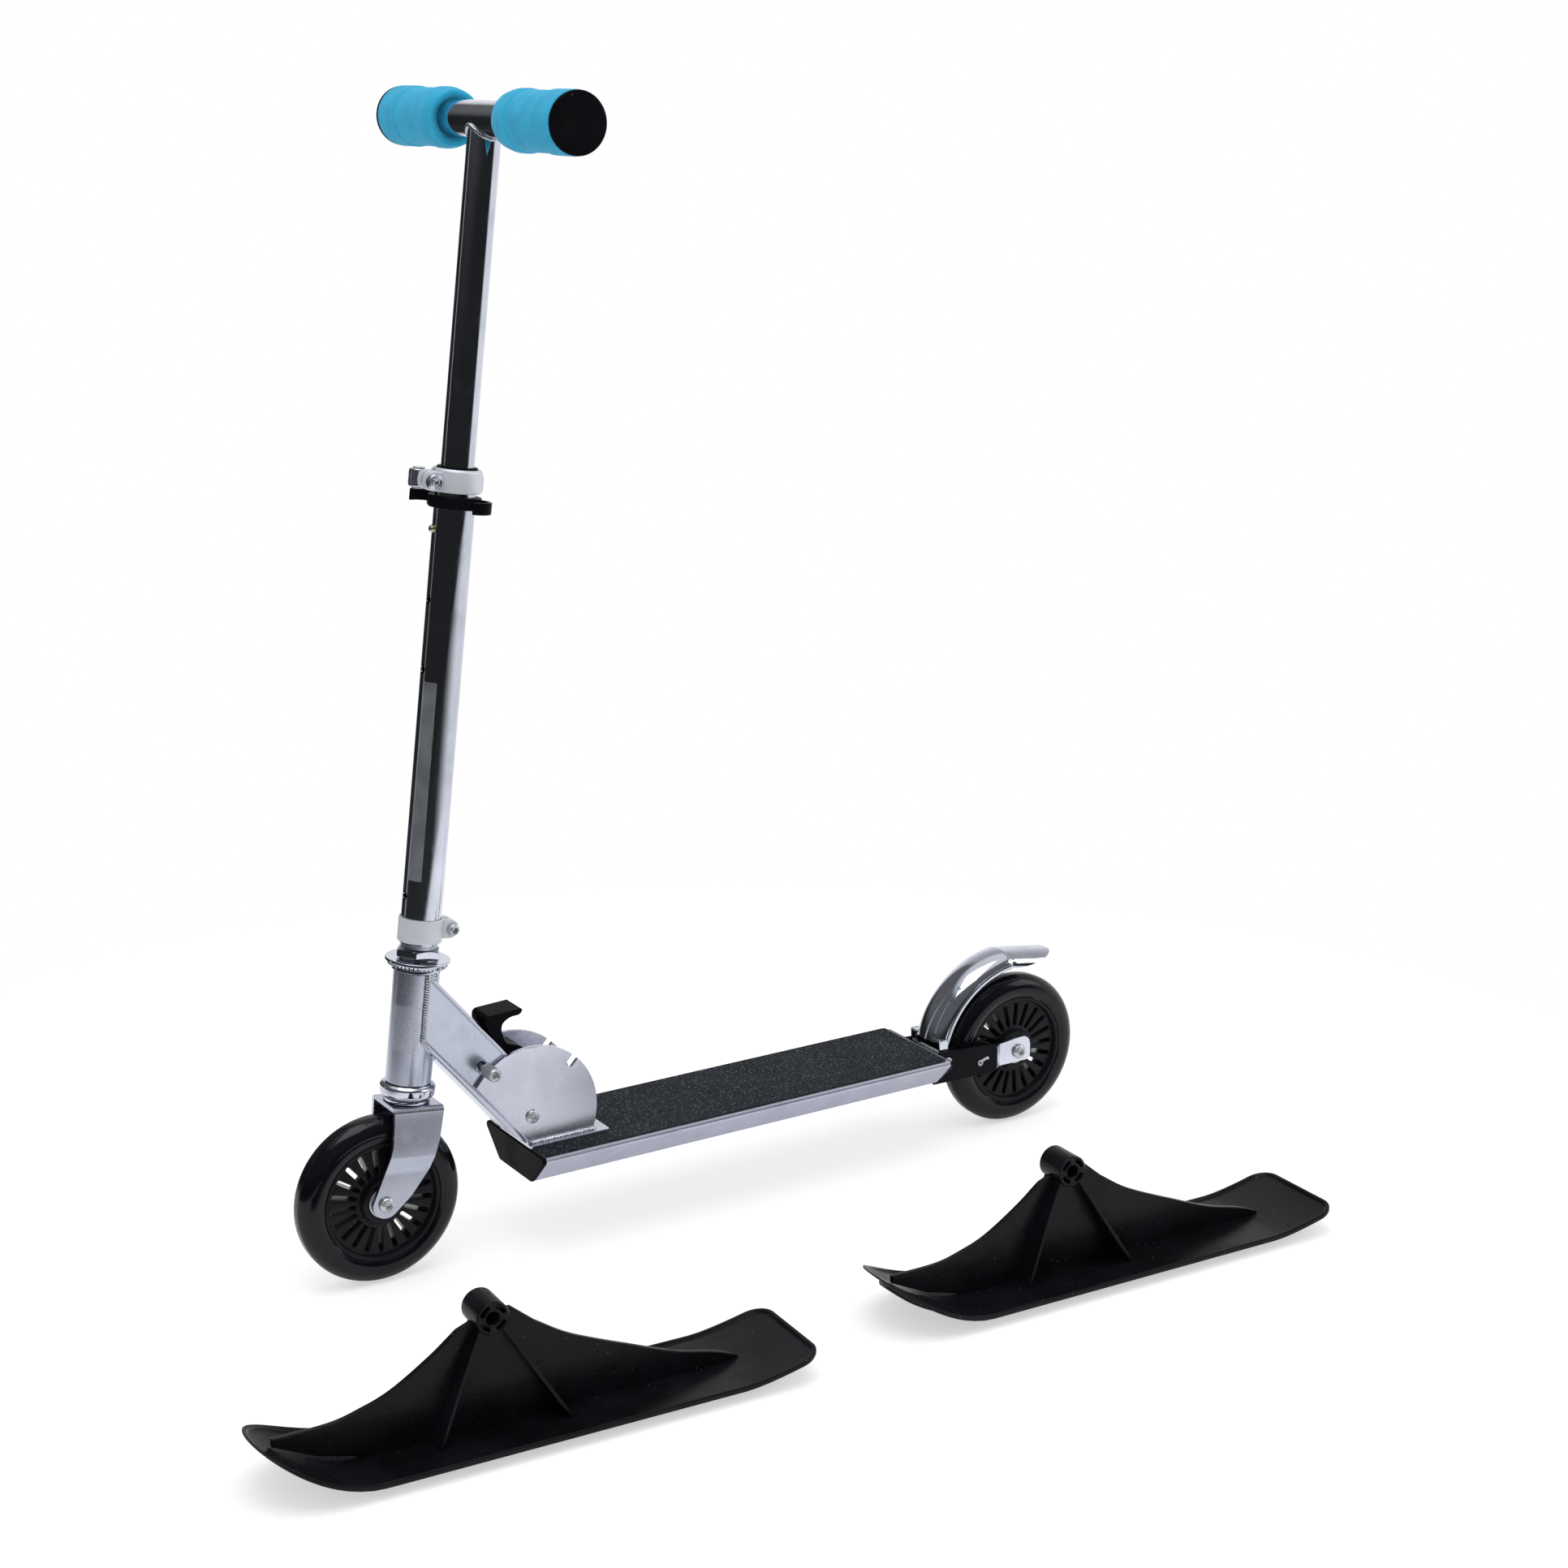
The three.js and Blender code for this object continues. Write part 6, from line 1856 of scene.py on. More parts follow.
@dataclass
class FoldBracket(Kit):
    """The deck's base plate with two notched cheeks, welded, and the pivot's bolt and nut.

    Attributes:
        pivot: The pivot's place, as (x, z).
        radius: The cheeks' radius.
        inner: The cheeks' inner face.
        outer: Their outer face.
    """

    pivot: Point2 = PIVOT
    radius: float = 51.5
    inner: float = 17.5
    outer: float = 20.5
    plate_front: float = 107
    plate_rear: float = 170
    plate_half: float = 25
    plate_low: float = 79
    plate_high: float = 81.5
    notches: tuple[float, float] = (129.2, 47.2)
    notch_depth: float = 9.5
    notch_half: float = 2.8
    rear_angle: float = -23.4
    front_angle: float = 145

    def cheek_outline(self) -> list[Point2]:
        """A cheek as (x, z) from the pivot, with its notches."""
        rim: list[Point2] = []
        edge = math.degrees(math.asin(self.notch_half / self.radius))
        marks = sorted(self.notches)
        start = self.rear_angle
        for mark in marks:
            rim += arc((0, 0), self.radius, start, mark - edge - 1.2, 18)
            turn = Matrix.Rotation(math.radians(mark), 2)
            floor = self.radius - self.notch_depth + self.notch_half
            lead = 0.9
            groove = [
                (self.radius - 0.1, -self.notch_half - lead * 0.4), (self.radius - lead, -self.notch_half)
            ]
            groove += arc((floor, 0), self.notch_half, 270, 90, 10)
            groove += [
                (self.radius - lead, self.notch_half), (self.radius - 0.1, self.notch_half + lead * 0.4)
            ]
            rim += [tuple(turn @ Vector(p)) for p in groove]
            start = mark + edge + 1.2
        rim += arc((0, 0), self.radius, start, self.front_angle, 6)
        foot = self.plate_high - self.pivot[1]
        rim += [(self.plate_front - self.pivot[0], foot + 3), (self.plate_front - self.pivot[0], foot - 0.3)]
        return rim

    def cheek(self, side: Side) -> Piece:
        """One cheek."""
        middle = (self.inner + self.outer) / 2
        turn = self.places.at(self.pivot[0], side.value * middle, self.pivot[1]) @ UPRIGHT
        return flat_plate(
            "cheek", [self.cheek_outline(), circle(BOLT_BORE, 36)], self.outer - self.inner, turn, 0.35
        )

    def plate(self) -> Piece:
        """The base plate."""
        half = self.plate_half
        corners = [
            (self.plate_front, -half), (self.plate_rear, -half), (self.plate_rear, half),
            (self.plate_front, half)
        ]
        turn = self.places.at(0, 0, (self.plate_low + self.plate_high) / 2)
        return flat_plate("plate", [rounded(corners, 2.4, 5)], self.plate_high - self.plate_low, turn, 0.35)

    def beads(self) -> list[Piece]:
        """The welds along the cheeks' feet, which wrap round their rear ends."""
        made = []
        rear = self.pivot[0] + self.radius * math.cos(math.radians(self.rear_angle))
        for side in Side:
            y = side.value * (self.outer + 0.7)
            start, z = self.plate_front + 2, self.plate_high + 0.7
            line = [
                (
                    start + (rear - start) * i / 20, y + side.value * 0.25 * math.sin(i * 1.7), z
                ) for i in range(21)
            ]
            line += [
                (rear + 1.4, side.value * (self.outer - 0.8), z),
                (rear + 1.2, side.value * self.inner, z - 0.2)
            ]
            made.append(weld("foot_weld", line, 2.1, self.places.base, 11 + side.value))
        return made

    def dress(self) -> None:
        """Builds the bracket and the pivot."""
        steel = joined("bracket_plates", [self.plate(), self.cheek(Side.NEAR), self.cheek(Side.FAR)])
        dress(steel, Body.CHASSIS, SATIN, "fold_bracket")
        dress(joined("bracket_weld", self.beads()), Body.CHASSIS, WELD)
        x, z = self.pivot
        reach = self.outer + GAP
        near = self.places.at(x, -reach, z) @ facing(Side.NEAR)
        far = self.places.at(x, reach, z) @ facing(Side.FAR)
        dress(
            button_bolt("fold_bolt", 4, 2 * reach + 5, 4.9, 2.6, 4.0, near), Body.CHASSIS, ZINC, "pivot_bolt"
        )
        dress(hex_nut("fold_nut", 10, BOLT_BORE, 4.7, far), Body.CHASSIS, ZINC, "pivot_nut")


# Stem, quick release and handlebar


@dataclass
class Stem(Kit):
    """Outer tube with its two clamps, the sleeve in its mouth, the snap button and the clear film.

    Attributes:
        radius: The outer tube's radius.
        wall: Its wall.
        low: Its lower end, up the steering axis.
        high: Its upper end.
        holes: The heights of its holes.
        hole: The holes' radius.
    """

    radius: float = 13.7
    wall: float = 1
    low: float = 239.98
    high: float = 561.98
    holes: tuple[float, ...] = (TOP_HOLE, 475.58, 428.58, 272.98)
    hole: float = 3
    bore: float = 14
    lower_low: float = 241.48
    lower_high: float = 257.98
    lower_wall: float = 1.2
    ear_reach: float = 12
    ear_half: float = 6.5
    ear_height: float = 13
    slit: float = 2.2
    bolt_x: float = 21.2
    bolt_radius: float = 2.2
    bolt_head: float = 4.2
    upper_low: float = 547.48
    upper_high: float = 562.88
    upper_wall: float = 3
    skewer_z: float = SKEWER_HEIGHT
    inner: float = 11.4
    button: float = 2.7
    dome: float = 3.5

    def outer_tube(self) -> Piece:
        """The outer tube with its holes and slits."""
        axis = self.places.steering()
        body = tube("outer", self.radius, self.radius - self.wall, self.low, self.high, axis, 0.25)
        tools = []
        for height in self.holes:
            spin = axis @ moved(0, 0, height) @ LAID
            tools.append(prism_tool(circle(self.hole, 36), 0, 20, spin))
        tools.append(box_tool((-20, -self.slit / 2, self.high - 22), (0, self.slit / 2, self.high + 3), axis))
        tools.append(box_tool((0, -self.slit / 2, self.low - 3), (20, self.slit / 2, self.low + 22), axis))
        made = cut(body, *tools)
        made.name = "outer_stem"
        return weighted(made)

    def sleeve(self) -> Piece:
        """The black sleeve between the two tubes, with its lip on the outer tube's mouth."""
        top = self.high + GAP
        outside = self.radius - self.wall - 0.3
        profile = [
            (self.inner, self.high - 26), (outside, self.high - 26), (outside, top), (self.radius - 0.2, top)
        ]
        profile += [
            (self.radius, top + 0.3), (self.radius - 0.2, top + 1.6), (self.radius - 0.8, top + 2),
            (self.inner, top + 2)
        ]
        return lathe("mouth_sleeve", profile, self.places.steering())

    def lower_clamp(self) -> Piece:
        """A pressed band whose two ears face the rider."""
        axis = self.places.steering()
        outer = self.bore + self.lower_wall
        middle = (self.lower_low + self.lower_high) / 2
        gap = math.degrees(math.asin(self.slit / 2 / self.bore))
        ring = arc((0, 0), outer, gap, 360 - gap, 72) + arc((0, 0), self.bore, 360 - gap, gap, 72)
        band = flat_plate("band", [ring], self.lower_high - self.lower_low, axis @ moved(0, 0, middle), 0.3)
        pieces = [band]
        for side in Side:
            reach = self.bore + self.ear_reach
            half = self.ear_height / 2
            shape = [
                (self.bore - 0.4, -half), (reach - half, -half), *arc((reach - half, 0), half, -90, 90, 12),
                (self.bore - 0.4, half)
            ]
            inner, thick = self.slit / 2, self.ear_half - self.slit / 2
            spin = axis @ moved(0, side.value * (inner + thick / 2), middle) @ UPRIGHT
            pieces.append(
                flat_plate(
                    "ear", [shape, circle(self.bolt_radius + 0.2, 24, (self.bolt_x, 0))], thick, spin, 0.6
                )
            )
        return joined("lower_clamp_band", pieces)

    def upper_clamp(self) -> Piece:
        """A cast collar with two ears at the front for the quick release."""
        axis = self.places.steering()
        outer = self.bore + self.upper_wall
        low, high = self.upper_low, self.upper_high
        profile = [
            (self.bore, low), (outer - 0.5, low), (outer, low + 0.5), (outer, high - 2),
            (outer - 0.5, high - 0.8)
        ]
        profile += [(outer - 1.6, high), (self.bore, high)]
        band = lathe("collar", profile, axis, 96)
        bottom, top = self.skewer_z - 6.5, self.skewer_z + 6.5
        reach = -self.bore - 11.5
        ears = []
        for near, far in ((-9.6, -self.slit / 2), (self.slit / 2, 6.2)):
            shape = rounded([(reach, bottom), (-10, bottom), (-10, top), (reach, top)], 5.6, 6, (1, 2))
            ears.append(
                flat_plate(
                    "ear", [shape, circle(2.6, 24, (-SKEWER_FORWARD, self.skewer_z))], far - near,
                    axis @ moved(0, (near + far) / 2, 0) @ UPRIGHT, 0.7
                )
            )
        tools = [
            lathe(
                "bore", [(0, low - 9), (self.bore, low - 9), (self.bore, high + 9), (0, high + 9)], axis, 96
            ) for _ in range(2)
        ]
        ears = [cut(ear, tool) for ear, tool in zip(ears, tools)]
        slit = box_tool((-20, -self.slit / 2, low - 2), (0, self.slit / 2, high + 2), axis)
        return weighted(joined("upper_clamp_collar", [cut(band, slit), *ears]), 40)

    def snap_button(self) -> Piece:
        """The brass button's domed face."""
        spin = self.places.steering(self.holes[0]) @ LAID
        r, face = self.button, self.radius
        dome = [
            (
                r * math.cos(math.radians(a)) ** 0.8,
                face + 0.4 + (self.dome - 0.4) * math.sin(math.radians(a))
            ) for a in range(0, 91, 10)
        ]
        return lathe(
            "brass_button", [(0, self.inner), (r, self.inner), *dome[:-1], (0, face + self.dome)], spin, 48
        )

    def film(self, name: str, radius: float, span: Point2, heights: Point2, body: Body) -> None:
        """A bare clear film wrapped on a tube.

        Args:
            name: The piece's name.
            radius: The tube's radius.
            span: The first and last angle that it covers, in degrees.
            heights: Its lower and upper edge, up the steering axis.
            body: The body that it rides on.
        """
        turns = [math.radians(span[0] + (span[1] - span[0]) * i / 20) for i in range(21)]
        low, high = heights
        rows = []
        for j in range(9):
            z = low + (high - low) * j / 8
            rows.append([((radius + 0.05) * math.cos(a), (radius + 0.05) * math.sin(a), z) for a in turns])
        sheet = grid_shell(name, rows, self.places.steering())
        modifier = sheet.modifiers.new("wall", "SOLIDIFY")
        modifier.thickness = 0.1 * MM
        modifier.offset = 1
        made = smooth(plain(sheet), 40)
        dress(made, body, FILM)

    def dress(self) -> None:
        """Builds the stem's fixed pieces and the button."""
        dress(self.outer_tube(), Body.STEERING, CHROME, "outer_stem_tube")
        dress(self.sleeve(), Body.STEERING, BLACK_PLASTIC, "stem_sleeve")
        dress(self.lower_clamp(), Body.STEERING, BLASTED, "lower_clamp")
        middle = (self.lower_low + self.lower_high) / 2
        at_bolt = self.places.steering(middle, -self.bolt_x)
        reach = self.ear_half + GAP
        near = at_bolt @ moved(0, -reach, 0) @ facing(Side.NEAR)
        bolt = button_bolt("clamp_screw", self.bolt_radius, 2 * reach, self.bolt_head, 4, 4, near)
        nut = hex_nut(
            "nut", 2 * self.bolt_head, self.bolt_radius - 0.2, 4,
            at_bolt @ moved(0, reach, 0) @ facing(Side.FAR)
        )
        dress(joined("clamp_screw_and_nut", [bolt, nut]), Body.STEERING, ZINC, "lower_clamp_bolt")
        dress(self.upper_clamp(), Body.STEERING, BLASTED, "upper_clamp")
        dress(self.snap_button(), Body.BUTTON, BRASS, "snap_button")
        self.film("stem_film", self.radius, (192, 236), (285, 421), Body.STEERING)
        self.film("head_tube_film", HEAD_TUBE_RADIUS, (185, 262), (166, 198), Body.NECK)


@dataclass
class QuickRelease(Kit):
    """Skewer with its trunnion, adjuster nut and cam lever.

    Attributes:
        height: Its height up the steering axis.
        forward: How far in front of the axis the skewer is.
        far: How far to the far side the trunnion stands.
    """

    height: float = SKEWER_HEIGHT
    forward: float = SKEWER_FORWARD
    far: float = 13
    near: float = 9.6
    skewer_radius: float = 2.4
    nut: float = 5.4
    nut_length: float = 5
    boss: float = 6.2
    boss_height: float = 12
    arm: float = 17.9
    arm_wall: float = 2.6
    arm_height: float = 12
    sink: float = 1.6
    start: float = 16
    end: float = 142
    tab: float = 3

    def skewer(self) -> Piece:
        """The bolt and its upright trunnion with two flat heads."""
        middle = self.places.steering(self.height, self.forward)
        end = self.near + 0.3 + self.nut_length / 2
        r = self.skewer_radius
        shank = lathe(
            "shank", rounded([(0, -self.far), (r, -self.far), (r, end), (0, end)], 0.3, 2, (0, 3)),
            middle @ facing(Side.NEAR), 32
        )
        half = self.boss_height / 2 + 0.3
        profile = [
            (0, -half - 0.8), (3.8, -half - 0.8), (4.2, -half - 0.4), (4.2, -half), (r, -half), (r, half)
        ]
        profile += [(4.2, half), (4.2, half + 0.4), (3.8, half + 0.8), (0, half + 0.8)]
        post = lathe("post", profile, middle @ moved(0, self.far, 0), 48)
        return joined("skewer_and_trunnion", [shank, post])

    def adjuster(self) -> Piece:
        """A round nut with a dark recess round its socket."""
        base = self.places.steering(self.height, self.forward) @ moved(0, -self.near - 0.3, 0) @ facing(
            Side.NEAR
        )
        r, length = self.nut, self.nut_length
        profile = [
            (0, 0.2), (r - 0.3, 0), (r, 0.4), (r, length - 1), (r - 0.35, length - 0.3), (r - 1, length),
            (3.9, length)
        ]
        profile += [(3.5, length - 0.8), (2.9, length - 0.8), (2.7, length - 0.3), (0, length - 0.3)]
        body = lathe("adjuster", profile, base, 72)
        return weighted(cut(body, prism_tool(hexagon(3.6), length - 1.5, length + 2, base)))

    def lever(self) -> Piece:
        """The cam lever: a ribbed boss and an arm curved round the collar."""
        axis = self.places.steering(self.height)
        half = self.boss_height / 2
        profile = rounded([(2.6, -half), (self.boss, -half), (self.boss, half), (2.6, half)], 1.2, 4, (0, 3))
        boss = lathe("boss", profile, axis @ moved(-self.forward, self.far, 0), 64)
        outer = self.arm + self.arm_wall
        steps = 40
        rows = []
        for i in range(steps + 6):
            share = i / steps
            angle = math.radians(self.end + (self.start - self.end) * min(share, 1.0))
            run = max(0, i - steps) / 5 * self.tab
            away = Vector((math.cos(angle), math.sin(angle), 0))
            ahead = Vector((math.sin(angle), -math.cos(angle), 0))
            high = self.arm_height / 2 * (0.78 + 0.22 * ease(share, 0, 0.35)) * (
                1 - 0.12 * ease(share, 0.9, 1.12)
            )
            flare = 0.9 * ease(share, 0.92, 1.12)
            section = rounded([(self.arm, -high), (outer, -high), (outer, high), (self.arm, high)], 1.0, 4)
            rows.append(
                [
                    away * (r + flare * (run > 0)) + ahead * run + Vector((0, 0, z - self.sink))
                    for r, z in section
                ]
            )
        arm = smooth(grid_shell("arm", rows, axis, True), 40)
        ridge = prism_tool(
            [
                (self.boss - 0.5, -0.55), (self.boss + 0.25, -0.2), (self.boss + 0.25, 0.2),
                (self.boss - 0.5, 0.55)
            ],
            1.4 - half, half - 1.4, Matrix.Identity(4)
        )
        ridges = RING.run(ridge, SATIN, axis @ moved(-self.forward, self.far, 0), count=22)
        return joined("cam_lever", [boss, weighted(arm, 40), ridges])

    def dress(self) -> None:
        """Builds the quick release."""
        dress(self.skewer(), Body.STEERING, ZINC, "quick_release_skewer")
        dress(self.adjuster(), Body.STEERING, SATIN, "adjuster_nut")
        dress(self.lever(), Body.CLAMP_LEVER, SATIN, "quick_release_lever")


@dataclass
class GripHolder(Kit):
    """The black ring on the stem with a spring clip for a spare grip on each side."""

    low: float = 536.88
    height: float = 8
    bore: float = 14
    wall: float = 3.6
    clip: float = 10.6
    clip_wall: float = 2.3
    offset: float = 26
    turn: float = 9
    mouth: float = 62
    lead: float = 4.5

    def dress(self) -> None:
        """Builds the holder."""
        base = self.places.steering(self.low + self.height / 2) @ Matrix.Rotation(
            math.radians(self.turn), 4, "Z"
        )
        shapes = [
            flat_plate(
                "ring", [circle(self.bore + self.wall, 96), circle(self.bore, 96)], self.height, base, 0.6
            )
        ]
        for side in Side:
            centre = (-self.lead, side.value * self.offset)
            outer, inner = self.clip + self.clip_wall, self.clip
            first, last = 180 - self.mouth, -180 + self.mouth
            middle = self.clip + self.clip_wall / 2
            shape = arc(centre, outer, first, last, 56)
            tip = math.radians(last)
            tip_centre = (centre[0] + middle * math.cos(tip), centre[1] + middle * math.sin(tip))
            shape += arc(tip_centre, self.clip_wall / 2, last, last - 180, 6)
            shape += arc(centre, inner, last, first, 56)
            tip_centre = (tip_centre[0], centre[1] - (tip_centre[1] - centre[1]))
            shape += arc(tip_centre, self.clip_wall / 2, first + 180, first, 6)
            shapes.append(flat_plate("clip", [shape], self.height - 0.02, base, 0.6))
        dress(joined("spare_grip_holder", shapes), Body.STEERING, BLACK_PLASTIC, "grip_holder")


@dataclass
class Handlebar(Kit):
    """The T-bar with its weld, and on each side a handle tube, a foam grip and an end cap."""

    height: float = 787.48
    stem: float = 11.1
    stem_wall: float = 1.3
    stem_low: float = 451.98
    cross: float = 12
    cross_wall: float = 1.2
    cross_half: float = 46
    handle: float = 10.4
    handle_wall: float = 1.4
    inset: float = 12
    end: float = 126.6
    grip: float = 20
    step: float = 0.9
    funnel: float = 15.2
    lip: float = 12.3
    lip_depth: float = 3
    overlap: float = 2.4
    ridges: tuple[Point2, ...] = ((0, 2), (0.12, 0), (0.24, 0), (0.26, 1), (0.68, 1), (0.7, 0), (1, 0))
    cap: float = 2.6
    dimple: float = 1.4

    def t_bar(self) -> Piece:
        """The inner tube and the short crossbar."""
        axis = self.places.steering()
        stem = tube(
            "inner", self.stem, self.stem - self.stem_wall, self.stem_low, self.height - self.cross_wall, axis
        )
        spin = axis @ moved(0, 0, TOP_HOLE) @ LAID
        stem = weighted(cut(stem, prism_tool(circle(3, 32), 0, 20, spin)))
        profile = [(self.cross - self.cross_wall, -self.cross_half), (self.cross, -self.cross_half)]
        profile += [(self.cross, self.cross_half), (self.cross - self.cross_wall, self.cross_half)]
        bar = lathe("cross", rounded(profile, 0.4, 2), self.places.steering(self.height) @ facing(Side.NEAR))
        return joined("t_bar_tubes", [stem, bar])

    def seam(self) -> Piece:
        """The weld between the two tubes."""
        line = []
        for i in range(72):
            a = FULL_TURN * i / 72
            x, y = self.stem * math.cos(a), self.stem * math.sin(a)
            line.append((x * 1.05, y * 1.05, self.height - math.sqrt(self.cross**2 - x**2) - 0.4))
        return weld("t_bar_weld", line, 1.5, self.places.steering(), 23, True)

    def foam(self, side: Side) -> Piece:
        """A foam grip with a recess at its inner end, a waist and ridges."""
        start, last = self.cross_half - self.overlap, self.end - self.cap - 0.3
        outside = [
            (self.grip - steps * self.step, start + share * (last - start)) for share, steps in self.ridges
        ]
        bore = self.handle + 0.3
        profile = [
            (self.funnel, start), *outside, (bore, last), (bore, start + self.lip_depth + 1.2),
            (self.lip, start + self.lip_depth)
        ]
        eased = rounded(profile, 2.2, 6, (len(profile) - 3, len(profile) - 2))
        return lathe(
            f"foam_sleeve_{side.name.lower()}", eased, self.places.steering(self.height) @ facing(side), 128
        )

    def end_cap(self, side: Side) -> Piece:
        """The black cap with its shallow dish."""
        low = self.end - self.cap
        edge = self.grip - 0.3
        plug = self.handle - self.handle_wall - 0.3
        dish = [(edge * 0.62 * (1 - i / 8), self.end - self.dimple * ease(i / 8, 0, 1)) for i in range(8)]
        profile = [
            (0, low - 12), (plug, low - 12), (plug, low), (edge - 0.3, low), (edge, low + 0.3),
            (edge, self.end - 1.1)
        ]
        profile += [
            (edge - 0.35, self.end - 0.35), (edge - 1.2, self.end), (edge * 0.7, self.end), *dish,
            (0, self.end - self.dimple)
        ]
        return lathe(
            f"dished_cap_{side.name.lower()}", profile, self.places.steering(self.height) @ facing(side), 96
        )

    def dress(self) -> None:
        """Builds the handlebar."""
        dress(self.t_bar(), Body.STEM, CHROME, "t_bar")
        dress(self.seam(), Body.STEM, WELD)
        for side in Side:
            place = side.name.lower()
            body = Body.NEAR_GRIP if side is Side.NEAR else Body.FAR_GRIP
            last = self.end - self.cap - GAP
            frame = self.places.steering(self.height) @ facing(side)
            inner = tube(
                f"pull_out_tube_{place}", self.handle, self.handle - self.handle_wall, self.inset, last, frame
            )
            dress(inner, body, CHROME, f"handle_tube_{place}")
            foam = dress(self.foam(side), body, FOAM, f"foam_grip_{place}")
            dress(self.end_cap(side), body, BLACK_PLASTIC, f"bar_end_cap_{place}")


# Deck and rear


@dataclass
class Deck(Kit):
    """The hollow extrusion with its lip grooves, the tape and the front cover."""

    front: float = 109
    rear: float = 455
    top: float = 78.8
    bottom: float = 54.6
    top_half: float = 44.5
    foot_half: float = 25
    wall: float = 2.2
    lip: float = 4.4
    groove: float = 0.7
    rib: float = 14
    tape_low: float = 79
    tape_high: float = 79.8
    tape_inset: float = 2.2
    window_rear: float = 170.3
    window_half: float = 25.3
    cover: float = 2.5
    chamfer: float = 2

    def along(self, x: float) -> Matrix:
        """A frame whose XY plane is the deck's section, at a place along it."""
        return self.places.at(x, 0, 0) @ ACROSS

    def half_section(self) -> list[Point2]:
        """The far half of the outside, from the top down, as (y, z), with its groove."""
        half, top = self.top_half, self.top
        lip_low = top - self.lip
        edge = [(half - 0.8, top), (half - 0.2, top - 0.3), (half, top - 0.9)]
        edge += [
            (half - self.groove, top - self.lip * 0.25), (half - self.groove, top - self.lip * 0.5),
            (half, top - self.lip * 0.52)
        ]
        edge += [(half, lip_low + 0.7), (half - 0.5, lip_low)]
        foot = rounded(
            [(half - 0.5, lip_low), (self.foot_half, self.bottom), (0, self.bottom)], 3.5, 6, (0, 2)
        )
        return edge + foot[1:-1]

    def section(self) -> list[Point2]:
        """The whole outside of the section."""
        half = self.half_section()
        return both_sides(half)

    def hollows(self) -> list[list[Point2]]:
        """The three channels inside."""
        high, low = self.top - self.wall, self.bottom + self.wall
        rib = self.rib + self.wall / 2
        inner = self.rib - self.wall / 2
        middle = rounded([(-inner, low), (inner, low), (inner, high), (-inner, high)], 1, 3)
        out_x, foot_x = self.top_half - self.wall, self.foot_half - self.wall / 2
        shapes = [middle]
        for side in Side:
            s = side.value
            shape = [
                (s * rib, low), (s * foot_x, low), (s * out_x, self.top - self.lip - self.wall / 2),
                (s * out_x, high), (s * rib, high)
            ]
            shapes.append(rounded(shape if s > 0 else shape[::-1], 1, 3))
        return shapes

    def dress(self) -> None:
        """Builds the deck."""
        length = self.rear - self.front
        body = flat_plate(
            "hollow_deck", [self.section(), *self.hollows()], length,
            self.along((self.front + self.rear) / 2), 0.15
        )
        dress(body, Body.CHASSIS, ALLOY, "deck_extrusion")
        half = self.top_half - self.tape_inset
        front, rear = self.front + GAP, self.rear - self.tape_inset
        corners = [(front, -half), (rear, -half), (rear, half), (front, half), (front, self.window_half)]
        corners += [
            (self.window_rear, self.window_half), (self.window_rear, -self.window_half),
            (front, -self.window_half)
        ]
        middle = (self.tape_low + self.tape_high) / 2
        tape = flat_plate(
            "grit_sheet", [rounded(corners, 3, 5, (4, 7))], self.tape_high - self.tape_low,
            self.places.at(0, 0, middle), 0.2
        )
        dress(tape, Body.CHASSIS, TAPE, "grip_tape")
        c = self.chamfer
        shape = [
            (-self.top_half + c, self.top), (-self.top_half, self.top - c),
            (-self.top_half, self.top - self.lip)
        ]
        shape += [(-self.foot_half, self.bottom)]
        shape = both_sides(shape)
        at_cover = self.front - GAP - self.cover / 2
        face = flat_plate("cover", [rounded(shape, 2.5, 5)], self.cover, self.along(at_cover), 0.8)
        half_plug = self.rib - self.wall / 2 - 0.3
        low, high = self.bottom + self.wall + 0.3, self.top - self.wall - 0.3
        plug = box_tool((at_cover, -half_plug, low), (self.front + 9, half_plug, high), self.places.base)
        dress(joined("front_cover", [face, tidy_mesh(plug)]), Body.CHASSIS, BLACK_PLASTIC, "front_end_cap")


